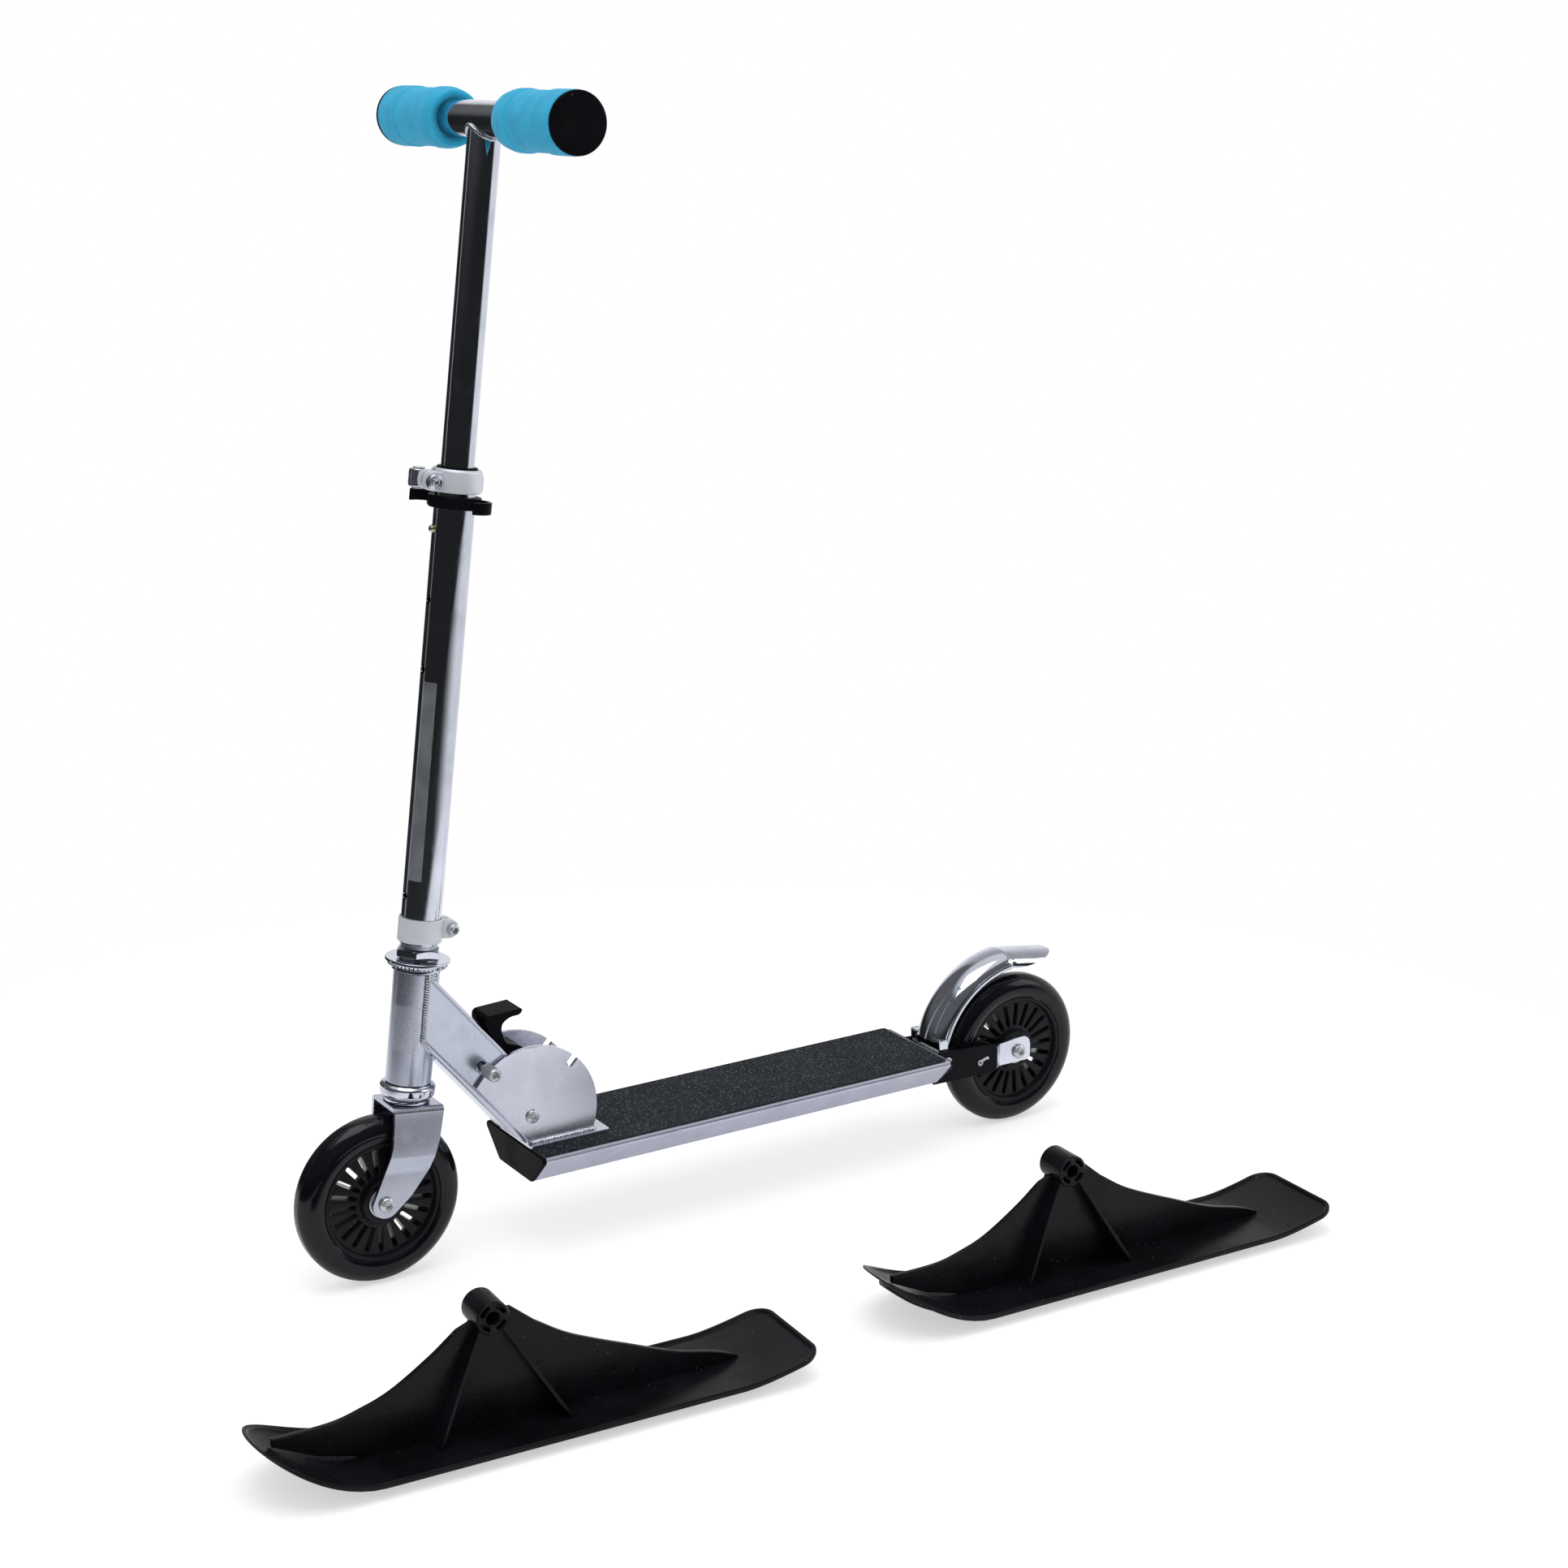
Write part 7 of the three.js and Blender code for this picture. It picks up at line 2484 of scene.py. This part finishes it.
@dataclass
class RearEnd(Kit):
    """The painted fork at the deck's end, the joggled axle plates and the fender's pin heads."""

    back: float = 455.3
    back_wall: float = 3
    arm_inner: float = 19.5
    arm_outer: float = 22.5
    arm_end: float = 516
    top: float = 77.7
    bottom: float = 52.3
    end_top: float = 73.6
    end_bottom: float = 51
    pin: Point2 = FENDER_PIN
    plate_front: float = 490
    plate_rear: float = 553.6
    plate_low: float = 51.4
    plate_high: float = 71.4
    plate_out: float = 19.2
    plate_in: float = PLATE_INSIDE
    plate_wall: float = 2.4
    jog_start: float = 516.3
    jog_end: float = 525.3
    corner: float = 7.5
    axle: Point2 = (WHEELBASE, AXLE_HEIGHT)
    hook_place: Point2 = (498.8, 61.6)
    coil_length: float = 32.8

    def fork(self) -> Piece:
        """A back plate, a block inside the deck and two arms."""
        half = [(-43.4, self.top), (-43.4, 73.3), (-24.4, 55.7)]
        shape = both_sides(half)
        back = flat_plate(
            "back", [rounded(shape, 2, 4)], self.back_wall,
            self.places.at(self.back + self.back_wall / 2, 0, 0) @ ACROSS, 0.4
        )
        block = box_tool((443, -12.6, 57.1), (self.back + self.back_wall - 0.2, 12.6, 76.3), self.places.base)
        pieces = [back, tidy_mesh(block)]
        for side in Side:
            line = [
                (self.back, self.bottom), (self.arm_end, self.end_bottom), (self.arm_end, self.end_top),
                (self.back, self.top)
            ]
            outline = rounded(line, 5, 5, (0, 3))
            middle = side.value * (self.arm_inner + self.arm_outer) / 2
            spin = self.places.at(0, middle, 0) @ UPRIGHT
            pieces.append(
                flat_plate(
                    "arm", [outline, circle(2.6, 24, self.pin)], self.arm_outer - self.arm_inner, spin, 0.5
                )
            )
        return joined("painted_rear_fork", pieces)

    def plate(self, side: Side) -> Piece:
        """An axle plate, flat against the arm and joggled inwards to the hub."""
        rows = []
        rise = self.plate_high - self.plate_wall
        count = 60
        for i in range(count + 1):
            x = self.plate_front + (self.plate_rear - self.plate_front) * i / count
            offset = self.plate_out + (self.plate_in - self.plate_out) * ease(x, self.jog_start, self.jog_end)
            high = rise + self.plate_wall * ease(x, self.arm_end, self.plate_rear - self.corner)
            low = self.plate_low
            out = max(0.0, x - (self.plate_rear - self.corner))
            high -= self.corner - math.sqrt(max(0.0, self.corner**2 - out**2))
            foot = max(0.0, x - (self.plate_rear - 3.5))
            low += 3.5 - math.sqrt(max(0.0, 3.5**2 - foot**2))
            rows.append([(x, side.value * offset, low + (high - low) * j / 12) for j in range(13)])
        sheet = grid_shell("plate", rows, self.places.base)
        outward = tidy_mesh(sheet)
        solid = thickened(self.facing_out(outward, side), self.plate_wall, -1, 0.45)
        hole = prism_tool(circle(BOLT_BORE, 36, self.axle), -30, 30, self.places.base @ UPRIGHT)
        made = cut(solid, hole)
        made.name = f"joggled_plate_{side.name.lower()}"
        return weighted(made, 40)

    def facing_out(self, obj: Piece, side: Side) -> Piece:
        """Turns an open sheet's faces away from the middle."""
        if obj.data.polygons[0].normal.y * side.value < 0:
            obj.data.flip_normals()
        return obj

    def hook(self) -> Piece:
        """The bent end of the brake spring, hooked into the near arm."""
        x, z = self.hook_place
        spin = self.places.at(0, -self.arm_outer - 0.6, 0) @ UPRIGHT
        ring = flat_plate("eye", [circle(2.4, 28, (x, z)), circle(0.9, 20, (x, z))], 1.6, spin, 0.5)
        shares = ((1.2, 0.4), (6.6, 2.0), (7.8, 1.0), (8.2, 2.4), (7.4, 4.2), (5.9, 4.0), (0.6, 2.2))
        tail = flat_plate("tail", [rounded([(x + dx, z + dz) for dx, dz in shares], 0.8, 3)], 1.5, spin, 0.5)
        return joined("spring_hook", [ring, tail])

    def dress(self) -> None:
        """Builds the rear end."""
        dress(self.fork(), Body.CHASSIS, BLACK_PAINT, "rear_fork")
        for side in Side:
            dress(self.plate(side), Body.CHASSIS, SATIN, f"axle_plate_{side.name.lower()}")
        x, z = self.pin
        reach = self.arm_outer + GAP
        pieces = [
            lathe(
                "pin", [(0, -reach - 0.3), (2.4, -reach - 0.3), (2.4, reach + 0.3), (0, reach + 0.3)],
                self.places.at(x, 0, z) @ facing(Side.NEAR), 32
            )
        ]
        for side in Side:
            base = self.places.at(x, side.value * reach, z) @ facing(side)
            pieces.append(button_bolt("head", 2.3, 1, 4, 2.4, 2.5, base))
        dress(joined("fender_axle", pieces), Body.CHASSIS, ZINC, "fender_pin")
        turn = self.places.at(x, self.coil_length / 2, z) @ facing(Side.NEAR)
        coil = COIL.run(
            line_object("brake_spring", [(0, 0, 0), (1, 0, 0)]), ZINC, turn, radius=4.4 * MM,
            length=self.coil_length * MM, turns=8.0, wire=0.6 * MM
        )
        dress(smooth(coil, 60), Body.CHASSIS, ZINC, "fender_spring")
        dress(self.hook(), Body.CHASSIS, ZINC)


@dataclass
class Fender(Kit):
    """The pressed fender: an arched skin with rolled edges that runs into a bulging tail, and two tabs."""

    centre: Point2 = (541, 60)
    edge: float = 72
    ridge: float = 84
    half: float = 18
    wall: float = 1.6
    base: float = 164
    top: float = 97
    tail: float = 45
    drop: float = 12.5
    tail_share: float = 0.97
    roll: float = 1.0
    pivot: Point2 = FENDER_PIN
    tab_out: float = 19.2
    tab_wall: float = 1.6
    tab_half: float = 4

    def skin(self) -> Piece:
        """The skin, from its base round the wheel and out to the tail."""
        across = 44
        stations = [(self.base + (self.top - self.base) * i / 48, 0.0, 1.0) for i in range(49)]
        for i in range(1, 41):
            share = i / 40
            stations.append((self.top, share, math.sqrt(1 - (self.tail_share * share) ** 4)))
        rows = []
        for angle, share, width in stations:
            a = math.radians(angle)
            run = share * self.tail
            pinch = 0.035 * math.exp(-(((share - 0.04) / 0.05) ** 2)) if share else 0.0
            row = []
            for j in range(across + 1):
                y_share = math.cos(math.pi * j / across)
                crest = math.sqrt(max(0.0, 1 - abs(y_share * width) ** 2.2))
                radius = self.edge + (self.ridge - self.edge) * crest
                rolled = ease(abs(y_share), 0.9, 1.0) * self.roll
                y = y_share * (self.half - rolled * 0.2) * width * (1 - pinch)
                reach = radius - self.drop * share
                x = self.centre[0] + reach * math.cos(a) + run * math.sin(a)
                z = self.centre[1] + reach * math.sin(a) - run * math.cos(a)
                row.append((x, y, z))
            rows.append(row)
        sheet = grid_shell("skin", rows, self.places.base)
        middle = sheet.data.polygons[len(sheet.data.polygons) // 3]
        away = middle.center - (self.places.base @ (Vector((self.centre[0], 0, self.centre[1])) * MM))
        if middle.normal.dot(away) < 0:
            sheet.data.flip_normals()
        return thickened(sheet, self.wall, -1, 0.5)

    def flange(self) -> list[Piece]:
        """The rolled edge along both sides of the arch."""
        made = []
        for side in Side:
            rows = []
            for i in range(50):
                a = math.radians(self.base + (self.top - self.base) * i / 49)
                section = circle(1.3, 12)
                out = self.edge + 1.1
                ring = []
                for dy, dr in section:
                    radius = out + dr * 1.7
                    y = side.value * (self.half - 1.3) + dy
                    ring.append(
                        (self.centre[0] + radius * math.cos(a), y, self.centre[1] + radius * math.sin(a))
                    )
                rows.append(ring)
            made.append(smooth(grid_shell("roll", rows, self.places.base, True), 60))
        return made

    def tabs(self) -> list[Piece]:
        """The two tabs down to the pin and the bridge between them."""
        middle = (self.edge + self.ridge) / 2
        a = math.radians(self.base)
        x, z = self.centre[0] + middle * math.cos(a), self.centre[1] + middle * math.sin(a)
        h = self.tab_half
        outline = [*arc(self.pivot, h, 180, 360, 12), (x + h, z + h), (x - h, z + h)]
        pieces = []
        for side in Side:
            spin = self.places.at(0, side.value * (self.tab_out - self.tab_wall / 2), 0) @ UPRIGHT
            pieces.append(
                flat_plate(
                    "tab", [rounded(outline, 1, 3, range(13)), circle(2.6, 24, self.pivot)], self.tab_wall,
                    spin, 0.3
                )
            )
        corners = [
            (x - h, -self.tab_out), (x + h, -self.tab_out), (x + h, self.tab_out), (x - h, self.tab_out)
        ]
        pieces.append(
            flat_plate(
                "bridge", [rounded(corners, 1, 3)], self.tab_wall,
                self.places.at(0, 0, z + h - self.tab_wall / 2), 0.3
            )
        )
        return pieces

    def dress(self) -> None:
        """Builds the fender."""
        dress(
            joined("chromed_fender", [self.skin(), *self.flange(), *self.tabs()]), Body.FENDER, CHROME,
            "rear_fender"
        )


# Skis


@dataclass
class Ski(Kit):
    """A moulded ski: a rimmed tray with a runner below, a fin, two ribs and a hub.

    Attributes:
        node: The CAD node that it replaces.
        body: The body that it rides on.
        place: Where its hub stands, as (x, y).
        turn: How far it is turned, in degrees.
    """

    node: str
    body: Body
    place: Point2
    turn: float
    tip: float = 154
    tail: float = 215
    half: float = 41
    sole_half: float = 14
    sole: float = 6.5
    floor: float = 2.4
    rim: float = 1.6
    rim_width: float = 3
    tip_height: float = 36
    tail_height: float = 18
    tip_start: float = 84
    tail_start: float = 160
    tip_power: float = 1.7
    tail_power: float = 1.4
    nose: float = 55
    nose_power: float = 0.8
    tail_corner: float = 14.8
    fin: float = 4
    hub_height: float = 83.5
    hub: float = 11
    hub_length: float = 24
    bore: float = BOLT_BORE
    rib: float = 2.6
    fin_shares: tuple[Point2, ...] = (
        (-0.9, 0.42),
        (-0.67, 0.425),
        (-0.54, 0.475),
        (-0.41, 0.56),
        (-0.245, 0.745),
        (-0.127, 0.91),
        (0, 1),
        (0.075, 1),
        (0.15, 0.84),
        (0.265, 0.655),
        (0.455, 0.445),
        (0.6, 0.3),
        (0.73, 0.212),
        (0.8, 0.145),
        (0.82, 0.09),
        (-0.5, 0.09),
        (-0.72, 0.2),
        (-0.9, 0.36),
    )

    def frame(self) -> Matrix:
        """The ski's frame, on the ground under its hub."""
        return self.places.at(self.place[0], self.place[1], 0) @ Matrix.Rotation(
            math.radians(self.turn), 4, "Z"
        )

    def lift(self, x: float, base: float) -> float:
        """The height of a line of the ski that lies at base over the ground in its flat part."""
        tip = max(0.0, (-x - self.tip_start) / (self.tip - self.tip_start))
        tail = max(0.0, (x - self.tail_start) / (self.tail - self.tail_start))
        rise = self.tip_height * tip**self.tip_power + (self.tail_height - self.sole) * tail**self.tail_power
        return base + rise * (1 - base / (2 * self.tip_height))

    def edge(self) -> list[Point2]:
        """The far half of the plan's edge, from the nose to the middle of the tail."""
        root = self.nose - self.tip
        shares = [(math.cos(math.radians(a)), math.sin(math.radians(a))) for a in range(0, 90, 5)]
        line = [(root - self.nose * ahead**self.nose_power, self.half * out) for ahead, out in shares]
        rear = self.tail - self.tail_corner
        line += [(root + (rear - root) * i / 36, self.half) for i in range(36)]
        line += arc((rear, self.half - self.tail_corner), self.tail_corner, 90, 0, 10)
        return line + [(self.tail, (self.half - self.tail_corner) * (1 - i / 4)) for i in range(1, 5)]

    def tray(self) -> Piece:
        """The rimmed tray: floor, inner walls, rounded rim and underside in one closed skin."""
        low, wide = self.sole, self.rim_width
        bed = low + self.floor
        top = bed + self.rim
        section = [(1, low), (0.3, low + 0.3), (0, low + 1), (0, top - 0.9), (0.35, top - 0.2), (1, top)]
        section += [
            (wide - 0.8, top), (wide - 0.3, top - 0.2), (wide, top - 0.8), (wide + 0.4, bed + 0.35),
            (wide + 1.1, bed)
        ]
        line = [Vector(p) for p in self.edge()]
        mirror = Vector((1, -1))
        around = [line[1] * mirror, *line, line[-2] * mirror]
        rows = []
        for before, here, after in zip(around, around[1:], around[2:]):
            out = Vector((before.y - after.y, after.x - before.x)).normalized()
            inward = [(here - out * inset, z) for inset, z in section]
            far = [(spot.x, max(0.0, spot.y), self.lift(spot.x, z)) for spot, z in inward]
            rows.append(far + [(x, -y, z) for x, y, z in reversed(far)])
        return weighted(grid_shell("tray", rows, self.frame(), True), 50)

    def runner(self) -> Piece:
        """The narrow runner under the tray, with rounded edges."""
        rows = []
        front, rear = 9 - self.tip, self.tail - 15
        count = 60
        for i in range(count + 1):
            x = front + (rear - front) * i / count
            half = self.sole_half * (0.35 + 0.65 * ease(min(x - front, rear - x), 0, 10))
            section = [(half - 1.6, 0.0), (half - 0.5, 0.45), (half, 1.6), (half, self.sole + 1.2)]
            ring = both_sides(section)
            rows.append([(x, y, self.lift(x, z)) for y, z in ring])
        return weighted(grid_shell("runner", rows, self.frame(), True), 50)

    def spine(self) -> Piece:
        """The fin, with curved edges."""
        points = [(x * (self.tip if x < 0 else self.tail), z * self.hub_height) for x, z in self.fin_shares]
        front = [tuple(p) for p in smooth_line(points[:6], 6)]
        rear = [tuple(p) for p in smooth_line(points[8:14], 6)]
        outline = front + points[6:8] + rear + points[14:]
        return flat_plate("fin", [outline], self.fin, self.frame() @ UPRIGHT, 0.8)

    def rib_plate(self, foot_x: float) -> Piece:
        """A leaning rib across the fin, wider at its foot, with hollow curved edges."""
        top_z, foot_z = self.hub_height - self.hub / 2, self.sole + self.floor / 2
        top_x = math.copysign(6, foot_x)
        length = math.hypot(foot_x - top_x, top_z - foot_z)
        lean = math.atan2(foot_x - top_x, top_z - foot_z)
        edge = [(9 + 11 * (i / 10) ** 1.35, -length * i / 10) for i in range(11)]
        outline = both_sides(edge)
        base = self.frame() @ moved(top_x, 0, top_z) @ Matrix.Rotation(-lean, 4, "Y") @ ACROSS
        return flat_plate("rib", [outline], self.rib, base, 0.6)

    def hub_tube(self) -> Piece:
        """The hub with four arc slots in each face."""
        base = self.frame() @ moved(0, 0, self.hub_height) @ facing(Side.NEAR)
        half = self.hub_length / 2
        profile = [
            (self.bore, 0.6 - half), (self.bore + 0.6, -half), (self.hub - 0.7, -half), (self.hub, 0.7 - half)
        ]
        profile += [(r, -z) for r, z in reversed(profile)]
        body = lathe("hub", profile, base, 72)
        outer, inner = self.hub * 0.8, self.hub * 0.58
        shape = arc((0, 0), outer, 16, 74, 10) + arc((0, 0), inner, 74, 16, 10)
        tools = []
        for low in (half - 4, -half - 2):
            cutter = prism_tool(shape, low, low + 6, Matrix.Identity(4))
            tools.append(RING.run(cutter, SKI_PLASTIC, base, count=4))
        return weighted(cut(body, *tools), 40)

    def ejector_marks(self) -> Piece:
        """The round marks that the mould's pins left on the fin's near face."""
        marks = []
        for x, z in ((-70, 22), (-30, 38), (34, 40), (84, 24), (-104, 26), (128, 15)):
            base = self.frame() @ moved(x, -self.fin / 2, z) @ facing(Side.NEAR)
            ring = [(0, -0.3), (3.3, -0.3), (3.3, 0.05), (3.1, 0.14), (2.7, 0.14), (2.5, 0.03), (0, 0.03)]
            marks.append(lathe("mark", ring, base, 32))
        return joined("marks", marks)

    def dress(self) -> None:
        """Builds the ski as one moulding."""
        pieces = [
            self.tray(), self.runner(), self.spine(), self.rib_plate(-40), self.rib_plate(48), self.hub_tube()
        ]
        pieces.append(self.ejector_marks())
        dress(joined(f"moulded_{self.node}", pieces), self.body, SKI_PLASTIC, self.node)


CARRIED: dict[str, Finish] = {
    "front_bearing_spacer": ZINC,
    "rear_bearing_spacer": ZINC,
    "lower_head_bearing": ZINC,
    "upper_head_bearing": ZINC,
    "stem_bush": BLACK_PLASTIC,
}


def scooter(places: Places) -> list[Kit]:
    """The scooter's sub-assemblies, in the order in which they are built.

    Args:
        places: Where their frames lie.

    Returns:
        One kit for each.
    """
    front = places.steering(*FRONT_AXLE)
    rear = places.at(WHEELBASE, 0, AXLE_HEIGHT)
    return [
        Wheel(places, "front", Body.FRONT_WHEEL, front),
        Wheel(places, "rear", Body.REAR_WHEEL, rear),
        Axle(places, "front", Body.STEERING, front, FORK_INSIDE),
        Axle(places, "rear", Body.CHASSIS, rear, PLATE_INSIDE),
        Fork(places),
        Headset(places),
        Neck(places),
        FoldLock(places),
        FoldBracket(places),
        Stem(places),
        QuickRelease(places),
        GripHolder(places),
        Handlebar(places),
        Deck(places),
        RearEnd(places),
        Fender(places),
        Ski(places, "front_ski", Body.SKI_ONE, (-37, -243.5), -3.05),
        Ski(places, "rear_ski", Body.SKI_TWO, (395, -258), -2.2),
    ]


# Studio


@dataclass
class Studio:
    """A pale floor, a bright surround with a dark room behind the camera, soft lamps and the camera.

    Attributes:
        eye: The camera's place in the scooter's frame, in millimetres.
        yaw: How far the camera looks to the right of +Y, in degrees.
        pitch: How far it looks down.
        roll: How far it leans.
        lens: Its focal length over a 36 mm frame, in millimetres.
        floor_radius: The floor's radius in metres.
        ambient: How brightly the surround lights dull surfaces.
        shadow_lift: How much of the shadow on the floor is lifted in the picture.
    """

    eye: Point3 = (-694.5, -1623.9, 824.6)
    yaw: float = 32.347
    pitch: float = 15.112
    roll: float = -0.267
    lens: float = 3361.25 / 1932 * 36
    floor_radius: float = 2.6
    ambient: float = 0.86
    shadow_lift: float = 0.4

    def axes(self) -> tuple[Vector, Vector, Vector]:
        """The camera's view, right and up directions."""
        yaw, pitch, roll = (math.radians(a) for a in (self.yaw, self.pitch, self.roll))
        ahead = Vector((math.sin(yaw) * math.cos(pitch), math.cos(yaw) * math.cos(pitch), -math.sin(pitch)))
        level = Vector((math.cos(yaw), -math.sin(yaw), 0))
        above = level.cross(ahead)
        right = level * math.cos(roll) + above * math.sin(roll)
        return ahead, right, right.cross(ahead)

    def camera(self, base: Matrix) -> None:
        """Places the camera at the view of the photograph."""
        ahead, right, above = self.axes()
        turn = Matrix((right, above, -ahead)).transposed().to_4x4()
        data = bpy.data.cameras.new("camera")
        data.lens, data.sensor_width, data.clip_end = self.lens, 36, 100
        made = bpy.data.objects.new("camera", data)
        bpy.context.scene.collection.objects.link(made)
        made.matrix_world = Matrix.Translation(base @ (Vector(self.eye) * MM)) @ turn
        bpy.context.scene.camera = made

    def surround(self, graph: Graph, ray: Socket, start: float) -> Socket:
        """How bright the room is at each side, seen from the scooter.

        Args:
            graph: The tree.
            ray: A direction or a place round the scooter.
            start: Where the white on the right starts, in radians from the camera.

        Returns:
            A share from the dark room behind the camera to the white sides.
        """
        toward = -self.axes()[0]
        flat_toward = Vector((toward.x, toward.y, 0)).normalized()
        flat_right = self.axes()[1].copy()
        flat_right.z = 0
        ahead = graph.add("ShaderNodeVectorMath", {0: ray, 1: flat_toward}, operation="DOT_PRODUCT").outputs[
            "Value"
        ]
        aside = graph.add(
            "ShaderNodeVectorMath", {0: ray, 1: flat_right.normalized()}, operation="DOT_PRODUCT"
        ).outputs["Value"]
        angle = graph.math("ARCTAN2", aside, ahead)
        right = graph.spread(angle, start, 1.6)
        left = graph.spread(angle, -2.8, -2.5, 1.0, 0.0)
        strip = graph.math(
            "MULTIPLY", graph.spread(angle, -1.8, -1.74), graph.spread(angle, -1.7, -1.64, 1.0, 0.0)
        )
        return graph.math("MAXIMUM", graph.math("MAXIMUM", right, left), graph.math("MULTIPLY", strip, 0.45))

    def world(self) -> None:
        """White for the camera, even light for dull surfaces, a studio with a dark side for shiny ones."""
        world = bpy.data.worlds.new("surround")
        world.use_nodes = True
        bpy.context.scene.world = world
        graph = Graph(world.node_tree)
        ray = graph.add("ShaderNodeTexCoord").outputs["Generated"]
        height = graph.add("ShaderNodeSeparateXYZ", {0: ray}).outputs[2]
        sides = graph.math(
            "MULTIPLY", self.surround(graph, ray, 1.35), graph.spread(height, 0.2, 0.75, 1.0, 0.45)
        )
        grey = graph.spread(height, 0.05, 0.35, 0.0, 0.13)
        glow = graph.math(
            "MAXIMUM", graph.math("MAXIMUM", sides, grey), graph.spread(height, 0.72, 0.9, 0.0, 0.85)
        )
        shine = graph.math("MULTIPLY_ADD", glow, 0.97, 0.02)
        path = graph.add("ShaderNodeLightPath")
        plain_view = graph.math("MAXIMUM", path.outputs["Is Camera Ray"], path.outputs["Is Transmission Ray"])
        white = graph.math(
            "MAXIMUM", plain_view, graph.math("MULTIPLY", path.outputs["Is Glossy Ray"], shine)
        )
        shown = graph.math("MAXIMUM", plain_view, path.outputs["Is Glossy Ray"])
        dull = graph.math("MULTIPLY", graph.math("SUBTRACT", 1.0, shown), self.ambient)
        light = graph.add("ShaderNodeBackground", {0: (1, 1, 1, 1), 1: graph.math("ADD", white, dull)})
        graph.add("ShaderNodeOutputWorld", {0: light.outputs[0]})

    def floor(self) -> None:
        """A white disc that keeps the shadows near the scooter and fades into the background."""
        made = mesh_object("studio_floor", *self.disc(96), Matrix.Translation((0, 0, -0.0006)))
        finish = bpy.data.materials.new("studio_floor")
        finish.use_nodes = True
        graph = Graph(finish.node_tree)
        where = graph.add("ShaderNodeTexCoord").outputs["Object"]
        reach = graph.add("ShaderNodeVectorMath", {0: where}, operation="LENGTH").outputs["Value"]
        path = graph.add("ShaderNodeLightPath")
        shown = graph.math("MAXIMUM", path.outputs["Is Camera Ray"], path.outputs["Is Glossy Ray"])
        shown = graph.math("MAXIMUM", shown, path.outputs["Is Transmission Ray"])
        fade = graph.math("MULTIPLY", graph.spread(reach, 0.5, 0.9), shown)
        grey = graph.math("MULTIPLY_ADD", path.outputs["Is Camera Ray"], -self.shadow_lift, 0.93)
        dull = graph.add(
            "ShaderNodeBsdfDiffuse",
            {0: graph.add("ShaderNodeCombineXYZ", {0: grey, 1: grey, 2: grey}).outputs[0]}
        )
        lift = graph.math("MULTIPLY_ADD", path.outputs["Is Camera Ray"], self.shadow_lift + 0.12, 0.0)
        lifted = graph.add("ShaderNodeEmission", {0: (1, 1, 1, 1), 1: graph.math("MULTIPLY", shown, lift)})
        base = graph.add("ShaderNodeAddShader", {0: dull.outputs[0], 1: lifted.outputs[0]})
        room = graph.math("MULTIPLY_ADD", self.surround(graph, where, 0.35), 0.9, 0.03)
        dark = graph.math("MULTIPLY", path.outputs["Is Glossy Ray"], graph.spread(reach, 0.8, 1.1))
        far = graph.math("MAXIMUM", graph.math("SUBTRACT", 1.0, dark), room)
        white = graph.add("ShaderNodeEmission", {0: (1, 1, 1, 1), 1: far})
        mixed = graph.add("ShaderNodeMixShader", {0: fade, 1: base.outputs[0], 2: white.outputs[0]})
        graph.add("ShaderNodeOutputMaterial", {0: mixed.outputs[0]})
        made.data.materials.append(finish)

    def disc(self, sides: int) -> tuple[list[Point3], list[tuple[int, ...]]]:
        """The floor's points and faces."""
        reach = self.floor_radius / MM
        turns = (FULL_TURN * i / sides for i in range(sides))
        return [(reach * math.cos(a), reach * math.sin(a), 0) for a in turns], [tuple(range(sides))]

    def lamp(self, name: str, place: Point3, size: float, power: float) -> None:
        """A square soft lamp that faces the scooter's middle."""
        data = bpy.data.lights.new(name, "AREA")
        data.size, data.energy = size, power
        made = bpy.data.objects.new(name, data)
        bpy.context.scene.collection.objects.link(made)
        spot = Vector(place)
        made.matrix_world = Matrix.Translation(spot) @ (Vector((0, 0, 0.3)) - spot).to_track_quat(
            "-Z", "Y"
        ).to_matrix().to_4x4()

    def build(self, base: Matrix) -> None:
        """Builds the studio round the scooter."""
        self.camera(base)
        self.world()
        self.floor()
        self.lamp("top_lamp", (-0.3, -0.4, 2.6), 1.8, 26)
        self.lamp("side_lamp", (2.2, -1.4, 1.5), 1.4, 12)
        settings = bpy.context.scene.view_settings
        settings.view_transform = "Standard"


def main() -> None:
    """Builds the studio and the scooter, piece by piece."""
    logging.basicConfig(level=logging.INFO, format="%(name)s: %(message)s")
    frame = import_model()
    low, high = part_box("front_tyre")
    base = Matrix.Translation((Vector(low) + Vector(high)) / 2 - Vector((0, 0, 60 * MM)))
    Studio().build(base)
    places = Places(base)
    for kit in scooter(places):
        kit.dress()
    for node, finish in CARRIED.items():
        carried(frame["nodes"][node], finish)


if __name__ == "__main__":
    main()
